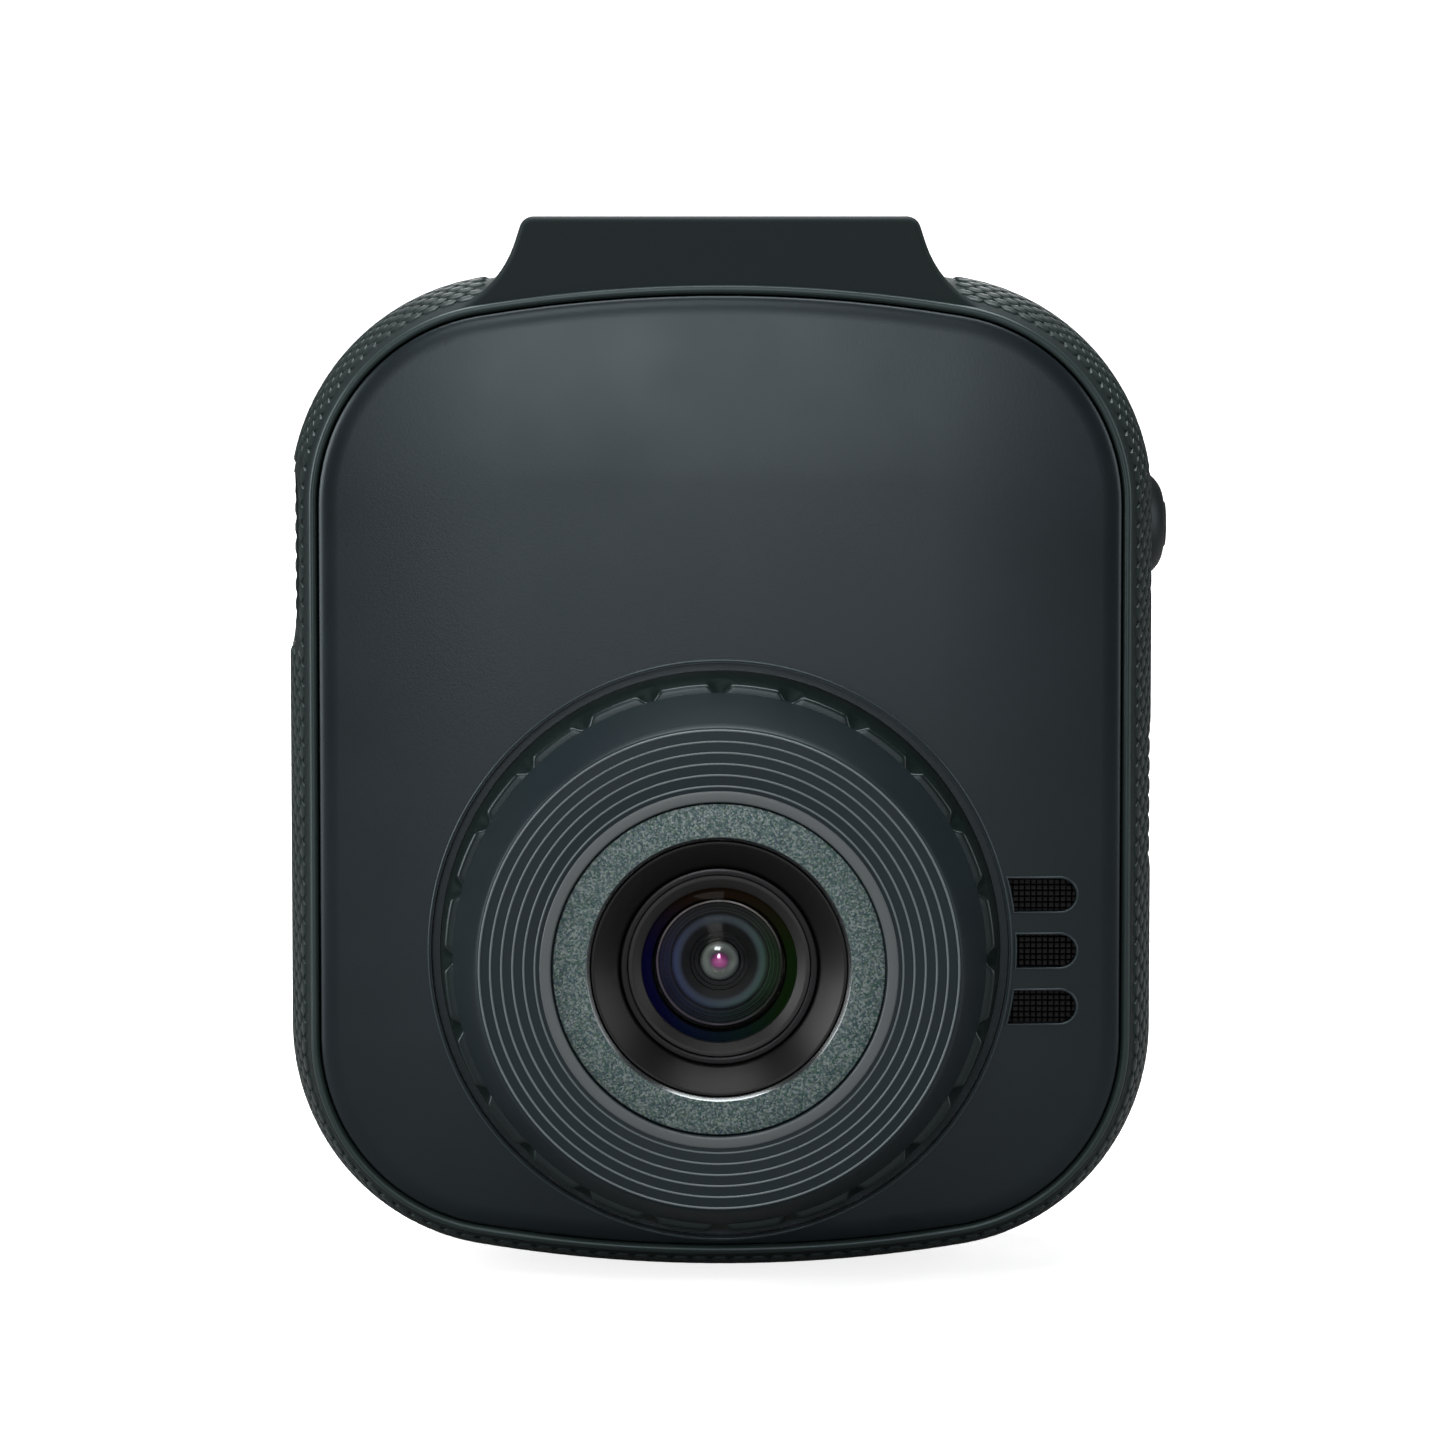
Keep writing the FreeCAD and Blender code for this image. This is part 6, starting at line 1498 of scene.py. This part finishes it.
@dataclass
class LensHousing:
    """Notched ring, ribbed housing, trim ring, hood and barrel, turned about the lens axis."""

    grip_base: float = 16.6
    grip_edge: float = 16.1
    grip_back_y: float = -9.4
    grip_front_y: float = -14.6
    notch_count: int = 24
    notch_half_width: float = 0.74
    notch_depth: float = 0.55
    notch_reach: float = 0.45
    notch_run: float = 1.5
    rib_count: int = 6
    rib_outer: float = 13.77
    rib_pitch: float = 0.64
    rib_radius: float = 0.062
    face_y: float = -20.0

    def notched(self, angle: float, r: float, y: float) -> float:
        """Returns a grip ring point's radius after its notches are cut.

        Args:
            angle: the point's angle round the axis.
            r: its radius in mm.
            y: its depth in mm.

        Returns:
            The radius in mm.
        """
        if r < self.grip_edge - self.notch_reach:
            return r
        pitch = FULL_TURN / self.notch_count
        off = abs((angle + pitch / 2.0) % pitch - pitch / 2.0) * self.grip_edge
        if off >= self.notch_half_width:
            return r
        dip = math.cos(math.pi / 2.0 * off / self.notch_half_width) ** 1.3
        run = max(0.0, 1.0 - (y - self.grip_front_y) / self.notch_run)
        return r - self.notch_depth * dip * min(1.0, 1.8 * run)

    def grip(self) -> None:
        """Makes the notched ring."""
        outline = softened([
            Corner(15.05, self.grip_back_y), Corner(self.grip_base, self.grip_back_y),
            Corner(self.grip_base, -10.0), Corner(self.grip_edge + 0.20, -12.4),
            Corner(self.grip_edge + 0.13, -13.2), Corner(self.grip_edge + 0.06, -13.9),
            Corner(self.grip_edge, self.grip_front_y, 0.28), Corner(15.05, self.grip_front_y, 0.1),
        ], steps=5)
        turned("notched_ring", outline, GRIP_PC, ["grip_ring"],
               self.notch_count * 30, 50.0, self.notched)

    def bezel(self) -> None:
        """Makes the housing that the ribs sit on, and its rim."""
        outline = softened([
            Corner(7.4, -19.1), Corner(9.63, -19.1), Corner(9.63, self.face_y, 0.05),
            Corner(13.92, self.face_y, 0.14), Corner(14.12, -19.62, 0.2),
            Corner(15.6, -14.65, 0.12), Corner(15.0, -14.65), Corner(15.0, -9.4),
            Corner(13.4, -9.4), Corner(13.4, -18.2), Corner(7.4, -18.2),
        ])
        turned("ribbed_housing", outline, HOUSING_PC, ["lens_bezel"])
        rim = softened([
            Corner(9.67, self.face_y + 0.06), Corner(9.67, -20.15, 0.10),
            Corner(10.3, -20.15, 0.16), Corner(10.3, self.face_y + 0.06),
        ], steps=6)
        turned("housing_rim", rim, RIM_PC, sharp_above=60.0)

    def ribs(self) -> None:
        """Makes the ribs: circles of growing radius, each swept with a small round."""
        tree, group_in, group_out = new_tree("housing_ribs", {
            "Ribs": ("NodeSocketInt", self.rib_count),
            "Outer Radius": ("NodeSocketFloat", self.rib_outer * MM),
            "Pitch": ("NodeSocketFloat", self.rib_pitch * MM),
            "Rib Radius": ("NodeSocketFloat", self.rib_radius * MM),
        })
        given = {socket.name: Amount(tree, socket) for socket in group_in.outputs}
        index = Amount(tree, add(tree, "GeometryNodeInputIndex").outputs[0])
        reach = given["Outer Radius"] - index * given["Pitch"]
        points = add(tree, "GeometryNodePoints", {"Count": given["Ribs"]})
        circle = add(tree, "GeometryNodeCurvePrimitiveCircle", {"Resolution": 224, "Radius": 1.0})
        spread = add(tree, "GeometryNodeInstanceOnPoints", {
            "Points": points.outputs[0], "Instance": circle.outputs[0],
            "Scale": add(tree, "ShaderNodeCombineXYZ",
                         {"X": reach, "Y": reach, "Z": reach}).outputs[0],
        })
        lines = add(tree, "GeometryNodeRealizeInstances", {"Geometry": spread.outputs[0]})
        axis = middle("lens_barrel") * MM
        stood = add(tree, "GeometryNodeTransform", {
            "Geometry": rounded(tree, lines.outputs[0], given["Rib Radius"]),
            "Rotation": (math.pi / 2.0, 0.0, 0.0),
            "Translation": (axis.x, self.face_y * MM, axis.z),
        })
        close_tree(tree, group_out, stood.outputs[0], RIB_PC)
        ribs = grown("housing_ribs", tree, bpy.data.meshes.new("rib_seed"))
        smooth(ribs.data, 60.0)
        settle(ribs, Rides.CAMERA, RIB_PC)

    def trim(self) -> None:
        """Makes the speckled ring and the bright edge at its bore."""
        outline = softened([
            Corner(7.58, -19.1), Corner(9.55, -19.1), Corner(9.55, -19.72, 0.06),
            Corner(7.62, -19.72),
        ])
        turned("blasted_ring", outline, TRIM_ALU, ["trim_ring"])
        edge = softened([
            Corner(7.4, -19.1), Corner(7.6, -19.1), Corner(7.64, -19.74, 0.03),
            Corner(7.44, -19.50, 0.05), Corner(7.4, -19.4),
        ])
        turned("cut_edge", edge, BARREL_EDGE)

    def hood(self) -> None:
        """Makes the funnel."""
        outline = softened([
            Corner(7.2, -19.42, 0.03), Corner(7.33, -19.42), Corner(7.33, -18.2),
            Corner(9.0, -18.2), Corner(9.0, -17.4), Corner(5.73, -17.4),
            Corner(5.73, -18.0, 0.06),
        ])
        turned("black_funnel", outline, HOOD_NYLON, ["lens_hood"], 224)

    def barrel(self) -> None:
        """Makes the barrel with its bright double edge, and the dished ring inside it."""
        outline = softened([
            Corner(5.3, -16.2), Corner(5.3, -18.2, 0.07), Corner(5.68, -18.2, 0.09),
            Corner(5.68, -15.2), Corner(5.95, -15.2), Corner(5.95, -5.1), Corner(3.4, -5.1),
            Corner(3.4, -5.7), Corner(4.3, -5.7), Corner(4.3, -16.2),
        ])
        turned("turned_barrel", outline, BARREL_ALU, ["lens_barrel"], 224)
        dish = softened([
            Corner(5.27, -17.2), Corner(5.27, -18.0, 0.05), Corner(5.02, -18.0, 0.04),
            Corner(4.5, -17.62, 0.05), Corner(4.5, -17.2),
        ])
        turned("dished_ring", dish, RETAINER_NYLON, ["retaining_ring"], 224)

    def build(self) -> None:
        """Makes every turned piece of the lens housing."""
        self.grip()
        self.bezel()
        self.ribs()
        self.trim()
        self.hood()
        self.barrel()


@dataclass
class LensStack:
    """What shows through the front glass: a stepped baffle, a bright bead and the small doublet."""

    bore: float = 4.26
    baffle_front: float = -16.15
    baffle_back: float = -11.1
    step_outer: float = 3.5
    step_count: int = 6
    step_in: float = 0.11
    step_back: float = 0.10
    bead_radius: float = 3.58
    bead_half: float = 0.05
    pupil_radius: float = 1.2
    pupil_curve: float = 1.9
    pupil_apex: float = -15.6
    pupil_back: float = -11.3

    def baffle(self) -> None:
        """Makes the blackened baffle with its fine steps and the dish behind them."""
        r, y = self.step_outer, self.baffle_front
        outline: list[Point2] = [(self.bore, self.baffle_back), (self.bore, y), (r, y)]
        for _ in range(self.step_count):
            outline += [(r, y + self.step_back), (r - self.step_in, y + self.step_back)]
            r, y = r - self.step_in, y + self.step_back
        outline += [(r - 0.05, y + 0.08), (2.5, y + 0.10), (2.2, y + 0.16), (1.75, y + 0.24),
                    (1.7, y + 0.32), (1.5, y + 0.34), (1.45, y + 0.44), (1.26, y + 0.46),
                    (1.24, self.baffle_back)]
        turned("stepped_baffle", outline, BAFFLE_PAINT, ["lens_spacer"], 200, 28.0)

    def bead(self) -> None:
        """Makes the bright bead."""
        low, high = self.bead_radius - self.bead_half, self.bead_radius + self.bead_half
        front, back = self.baffle_front - 0.11, self.baffle_front + 0.02
        turned("polished_bead", softened([
            Corner(low, front, 0.05), Corner(low, back), Corner(high, back),
            Corner(high, front, 0.05),
        ]), BEAD_ALU, segments=200, sharp_above=70.0)

    def pupil(self) -> None:
        """Makes the doublet and the stop that it sits in."""
        dome: list[Point2] = [(0.01, self.pupil_back), (0.01, self.pupil_apex)]
        for step in range(1, 17):
            r = self.pupil_radius * step / 16
            sag = self.pupil_curve - math.sqrt(self.pupil_curve ** 2 - r * r)
            dome.append((r, self.pupil_apex + sag))
        turned("small_doublet", dome + [(self.pupil_radius, self.pupil_back)],
               PUPIL_GLASS, ["middle_element"], 96, 50.0)
        low, high = span("aperture_stop")
        turned("thin_stop", softened([
            Corner(self.pupil_radius, low.y), Corner(self.bore, low.y, 0.03),
            Corner(self.bore, high.y, 0.03), Corner(self.pupil_radius, high.y),
        ]), HOOD_NYLON, ["aperture_stop"], 96)

    def build(self) -> None:
        """Makes every visible piece behind the front glass."""
        self.baffle()
        self.bead()
        self.pupil()


@dataclass
class RearKeys:
    """Pad-printed icons on the four keys and the printed border of the screen window."""

    ink_mm: float = 0.02
    border_mm: float = 2.1
    border_depth_mm: float = 0.04
    bar_half_mm: tuple[float, float] = (0.62, 0.09)
    bar_pitch_mm: float = 0.42
    arrow_mm: float = 0.62
    dot_mm: float = 0.58

    def shapes(self) -> dict[Rides, list[list[Point2]]]:
        """Returns the outlines of each key's icon about the key's middle, in mm."""
        half_x, half_z = self.bar_half_mm
        bars = [[(x, z + row * self.bar_pitch_mm) for x, z in round_box(half_x, half_z, 0.06, 3)]
                for row in (-1, 0, 1)]
        size = self.arrow_mm
        up = softened([Corner(0.0, size * 0.75, 0.1), Corner(size, -size * 0.6, 0.1),
                       Corner(-size, -size * 0.6, 0.1)], 3)
        dot = [(self.dot_mm * math.sin(FULL_TURN * i / 28),
                self.dot_mm * math.cos(FULL_TURN * i / 28)) for i in range(28)]
        return {Rides.MENU: bars, Rides.UP: [up], Rides.DOWN: [[(x, -z) for x, z in up]],
                Rides.OK: [dot]}

    def icons(self) -> None:
        """Prints every icon on its key."""
        for key, outlines in self.shapes().items():
            low, high = span(key.value)
            centre = (low + high) / 2.0
            layers = (high.y - 0.02, high.y + self.ink_mm)
            prints = [lofted("ink", [[(centre.x + x, y, centre.z + z) for x, z in outline]
                                     for y in layers]) for outline in outlines]
            settle(joined(key.value + "_icon", prints), key, PRINT_INK)

    def border(self) -> None:
        """Prints the black border inside the window."""
        low, high = span("screen_window")
        centre = (low + high) / 2.0
        half_x, half_z = (high.x - low.x) / 2.0 - 0.12, (high.z - low.z) / 2.0 - 0.12
        y_near = low.y + 0.02
        y_far = y_near + self.border_depth_mm
        cut = self.border_mm
        loops = [[(centre.x + x, y, centre.z + z) for x, z in round_box(a, b, corner)]
                 for a, b, corner, y in (
                     (half_x - cut, half_z - cut, 0.6, y_near),
                     (half_x, half_z, 1.5, y_near), (half_x, half_z, 1.5, y_far),
                     (half_x - cut, half_z - cut, 0.6, y_far))]
        settle(lofted("window_border", loops, hollow=True), Rides.CAMERA,
               WINDOW_INK)

    def build(self) -> None:
        """Makes the icons and the border."""
        self.icons()
        self.border()


@dataclass
class Sockets:
    """USB socket with its folded shell and tongue, and the memory card with its contacts."""

    shell_mm: float = 0.35
    shell_corner_mm: float = 1.1
    tongue_mm: tuple[float, float] = (0.5, 2.5)
    tongue_set_back_mm: float = 1.2
    shell_back_mm: float = 1.7
    contact_count: int = 5
    contact_pitch_mm: float = 0.8
    contact_reach_mm: float = 2.6
    contact_half_mm: Point2 = (2.2, 0.16)
    plate_half_mm: tuple[float, float] = (0.03, 0.02)
    card_edge_mm: float = 0.09
    card_notch_mm: float = 1.6
    card_corner_mm: float = 0.5
    pad_count: int = 8
    pad_pitch_mm: float = 1.1
    pad_start_mm: Point2 = (1.9, 1.1)
    pad_half_mm: Point2 = (1.35, 0.4)

    def usb(self) -> None:
        """Makes the shell, the tongue and its contacts."""
        low, high = span("usb_socket")
        centre = (low + high) / 2.0
        half_y, half_z = (high.y - low.y) / 2.0, (high.z - low.z) / 2.0
        wall, corner = self.shell_mm, self.shell_corner_mm
        rings = ((high.x, 0.05), (high.x - 0.05, 0.0), (low.x + 0.1, 0.0), (low.x, 0.1),
                 (low.x, wall - 0.08), (low.x + 0.12, wall),
                 (high.x - self.shell_back_mm, wall))
        shell = lofted("folded_shell", [
            [(x, centre.y + a, centre.z + b)
             for a, b in round_box(half_y - inset, half_z - inset, corner - inset)]
            for x, inset in rings])
        settle(shell, Rides.CAMERA, STEEL_PLATE, ["usb_socket"])
        mouth, back = low.x + self.tongue_set_back_mm, high.x - self.shell_back_mm
        tongue_y, tongue_z = self.tongue_mm
        tongue = lofted("socket_tongue", [
            [(x, centre.y + a, centre.z + b)
             for a, b in round_box(tongue_y - inset, tongue_z - inset, 0.12, 3)]
            for x, inset in ((mouth, 0.15), (mouth + 0.25, 0.0), (back, 0.0))])
        settle(tongue, Rides.CAMERA, CONNECTOR_LCP)
        thick = self.plate_half_mm[0]
        strip = lofted("contact", [
            [(x, y, z) for x, z in round_box(*self.contact_half_mm, 0.08, 3)]
            for y in (-thick, thick)])
        places = [(mouth + self.contact_reach_mm, centre.y + side * tongue_y,
                   centre.z + (i - (self.contact_count - 1) / 2.0) * self.contact_pitch_mm)
                  for i in range(self.contact_count) for side in (-1.0, 1.0)]
        strips = copied("socket_contacts", strip, places, GOLD_CONTACT)
        settle(strips, Rides.CAMERA, GOLD_CONTACT)

    def card(self) -> None:
        """Makes the card's body with its notch, and its contact pads."""
        low, high = span("memory_card")
        notch, round_mm = self.card_notch_mm, self.card_corner_mm
        step_x = (low.x + high.x) / 2.0

        def outline(inset: float) -> list[Point2]:
            left, right = low.x + inset, high.x - inset
            under, over = low.z + inset, high.z - inset
            return softened([
                Corner(left, under, round_mm), Corner(left, over - notch, round_mm),
                Corner(step_x - 1.2, over - notch, 0.2), Corner(step_x, over, 0.4),
                Corner(right, over, round_mm), Corner(right, under, round_mm),
            ], 4)

        edge = self.card_edge_mm
        body = lofted("card_body", [
            [(x, y, z) for x, z in outline(inset)]
            for inset, y in ((edge, low.y), (0.0, low.y + edge), (0.0, high.y - edge),
                             (edge, high.y))])
        settle(body, Rides.CARD, CARD_RESIN, ["memory_card"])
        thick = self.plate_half_mm[1]
        pad = lofted("pad", [[(x, y, z) for x, z in round_box(*self.pad_half_mm, 0.1, 3)]
                             for y in (-thick, thick)])
        start_x, start_z = self.pad_start_mm
        places = [(low.x + start_x, low.y, low.z + start_z + i * self.pad_pitch_mm)
                  for i in range(self.pad_count)]
        pads = copied("card_pads", pad, places, GOLD_CONTACT)
        settle(pads, Rides.CARD, GOLD_CONTACT)

    def build(self) -> None:
        """Makes the socket and the card."""
        self.usb()
        self.card()


@dataclass
class SpeakerCloth:
    """Woven wire cloth behind the sound slots."""

    pitch_mm: float = 0.34
    wire_mm: float = 0.05
    wave_mm: float = 0.05
    sides: int = 5

    def build(self) -> None:
        """Weaves wires both ways over the CAD mesh plate's box."""
        low, high = span("speaker_mesh")
        y_mid = (low.y + high.y) / 2.0
        columns = int((high.x - low.x) / self.pitch_mm)
        rows = int((high.z - low.z) / self.pitch_mm)
        points: list[Sequence[float]] = []
        edges: list[tuple[int, int]] = []
        for lengthwise in (True, False):
            lines, steps = (columns, rows * 2) if lengthwise else (rows, columns * 2)
            for line in range(lines + 1):
                base = len(points)
                for step in range(steps + 1):
                    phase = math.pi * (step / 2.0 + line)
                    wave = self.wave_mm * math.cos(phase) * (1.0 if lengthwise else -1.0)
                    x_share = line / lines if lengthwise else step / steps
                    z_share = step / steps if lengthwise else line / lines
                    points.append((low.x + (high.x - low.x) * x_share, y_mid + wave,
                                   low.z + (high.z - low.z) * z_share))
                edges.extend((base + s, base + s + 1) for s in range(steps))
        tree, group_in, group_out = new_tree("woven_wire", {
            "Wire Radius": ("NodeSocketFloat", self.wire_mm * MM),
        })
        wires = add(tree, "GeometryNodeMeshToCurve", {"Mesh": group_in.outputs["Geometry"]})
        skin = rounded(tree, wires.outputs[0], group_in.outputs["Wire Radius"], self.sides, True)
        close_tree(tree, group_out, skin, WIRE_STEEL)
        cloth = grown("wire_cloth", tree, plain_mesh("wire_lines", points, edges))
        smooth(cloth.data, 70.0)
        settle(cloth, Rides.CAMERA, WIRE_STEEL, ["speaker_mesh"])


def dress_nodes() -> None:
    """Gives every CAD node's material slots their finish."""
    for name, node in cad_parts.items():
        for slot in node.material_slots:
            given = slot.material.name.split(".")[0]
            slot.material = NODE_FINISHES.get(name, SLOT_FINISHES[given]).material()


# ---------------------------------------------------------------- studio


def aim(made: bpy.types.Object, target: Vector, azimuth: float, elevation: float,
        distance_mm: float) -> None:
    """Stands a light or camera round the object, turned towards a target.

    Args:
        made: the light or camera.
        target: what it looks at, in mm.
        azimuth: degrees round from the front.
        elevation: degrees up.
        distance_mm: how far away it stands.
    """
    bpy.context.scene.collection.objects.link(made)
    turn, up = math.radians(azimuth), math.radians(elevation)
    away = Vector((math.sin(turn) * math.cos(up), -math.cos(turn) * math.cos(up), math.sin(up)))
    made.location = (target + away * distance_mm) * MM
    made.rotation_euler = (-away).to_track_quat("-Z", "Y").to_euler()


@dataclass(frozen=True)
class Softbox:
    """A soft rectangular light: where it stands about the object, its size and its power."""

    name: str
    azimuth: float
    elevation: float
    distance_mm: float
    width_mm: float
    height_mm: float
    power: float
    colour: str = "#ffffff"

    def build(self, target: Vector) -> None:
        """Adds the light, aimed at a target in mm."""
        lamp = bpy.data.lights.new(self.name, "AREA")
        lamp.shape = "RECTANGLE"
        lamp.size = self.width_mm * MM
        lamp.size_y = self.height_mm * MM
        lamp.energy = self.power
        lamp.color = linear(self.colour)[:3]
        aim(bpy.data.objects.new(self.name, lamp), target, self.azimuth, self.elevation,
            self.distance_mm)


@dataclass
class Studio:
    """White cove, soft lights and the camera."""

    target_mm: tuple[float, float, float] = (0.15, -10.0, -29.8)
    camera_distance_mm: float = 300.0
    camera_elevation: float = 4.0
    camera_azimuth: float = 0.3
    lens_mm: float = 126.5
    cove_half_mm: float = 1800.0
    cove_back_mm: float = 500.0
    cove_radius_mm: float = 260.0
    cove_height_mm: float = 1500.0
    cove_steps: int = 12
    lights: tuple[Softbox, ...] = (
        Softbox("front_soft", -2.6, 10.2, 620.0, 96.0, 180.0, 0.55),
        Softbox("upper_soft", -9.0, 40.0, 560.0, 190.0, 130.0, 0.38),
        Softbox("top_soft", 0.0, 98.0, 560.0, 520.0, 460.0, 4.8),
        Softbox("left_soft", -76.0, 8.0, 520.0, 330.0, 460.0, 2.3),
        Softbox("right_soft", 78.0, 8.0, 520.0, 260.0, 460.0, 0.85),
        Softbox("back_soft", 180.0, 14.0, 640.0, 240.0, 200.0, 0.7),
    )

    def cove(self) -> None:
        """Makes the floor and its curved back as one pale sheet."""
        floor_z = CAD_LOW.z / MM
        line: list[Point2] = [(-self.cove_half_mm, floor_z)]
        for step in range(self.cove_steps + 1):
            angle = math.pi / 2.0 * step / self.cove_steps
            line.append((self.cove_back_mm + self.cove_radius_mm * math.sin(angle),
                         floor_z + self.cove_radius_mm * (1.0 - math.cos(angle))))
        line.append((self.cove_back_mm + self.cove_radius_mm, floor_z + self.cove_height_mm))
        points = [(x, y, z) for y, z in line for x in (-self.cove_half_mm, self.cove_half_mm)]
        faces = [(i, i + 1, i + 3, i + 2) for i in range(0, len(points) - 2, 2)]
        mesh = plain_mesh("cove", points, faces=faces)
        mesh.shade_smooth()
        material = bpy.data.materials.new("pale_paper")
        material.use_nodes = True
        tree = material.node_tree
        shader = tree.nodes["Principled BSDF"]
        fibre = add(tree, "ShaderNodeTexNoise", {
            "Vector": add(tree, "ShaderNodeTexCoord").outputs["Object"],
            "Scale": per_metre(0.8), "Detail": 3.0,
        })
        seen = Amount(tree, add(tree, "ShaderNodeLightPath").outputs["Is Camera Ray"])
        tone = add(tree, "ShaderNodeMix", {
            "data_type": "RGBA", 0: fibre.outputs["Fac"],
            6: linear("#e9e9e9"), 7: linear("#efefef"),
        })
        dimmed = add(tree, "ShaderNodeMix", {
            "data_type": "RGBA", 0: seen, 6: linear("#7c7c7c"), 7: tone.outputs[2],
        })
        assign(shader, {"Base Color": dimmed.outputs[2], "Roughness": 0.9,
                        "Emission Color": linear("#ffffff"),
                        "Emission Strength": seen * 0.80 + 0.02})
        mesh.materials.append(material)
        make_object("cove", mesh)

    def world(self) -> None:
        """Makes the room: white to look at, dimmer as a light."""
        world = bpy.data.worlds.new("room")
        bpy.context.scene.world = world
        world.use_nodes = True
        tree = world.node_tree
        tree.nodes.clear()
        seen = Amount(tree, add(tree, "ShaderNodeLightPath").outputs["Is Camera Ray"])
        sky = add(tree, "ShaderNodeBackground", {
            "Color": linear("#ffffff"), "Strength": seen * 0.94 + 0.06,
        })
        add(tree, "ShaderNodeOutputWorld", {"Surface": sky.outputs[0]})

    def camera(self) -> None:
        """Adds the camera."""
        eye = bpy.data.cameras.new("camera")
        eye.lens = self.lens_mm
        eye.sensor_width = 36.0
        eye.clip_start = 0.01
        made = bpy.data.objects.new("camera", eye)
        aim(made, Vector(self.target_mm), self.camera_azimuth, self.camera_elevation,
            self.camera_distance_mm)
        bpy.context.scene.camera = made

    def build(self) -> None:
        """Sets up the cove, the room, the lights and the camera."""
        bpy.context.scene.view_settings.view_transform = "Standard"
        self.cove()
        self.world()
        for light in self.lights:
            light.build(Vector(self.target_mm))
        self.camera()


def main() -> None:
    """Builds every sub-assembly in order, then the studio."""
    logging.basicConfig(level=logging.INFO, format="%(name)s %(message)s")
    dress_nodes()
    for part in (FrontShell(), SideRelief(), LensHousing(), LensStack(), SpeakerCloth(),
                 RearKeys(), Sockets()):
        part.build()
    Studio().build()


if __name__ == "__main__":
    main()
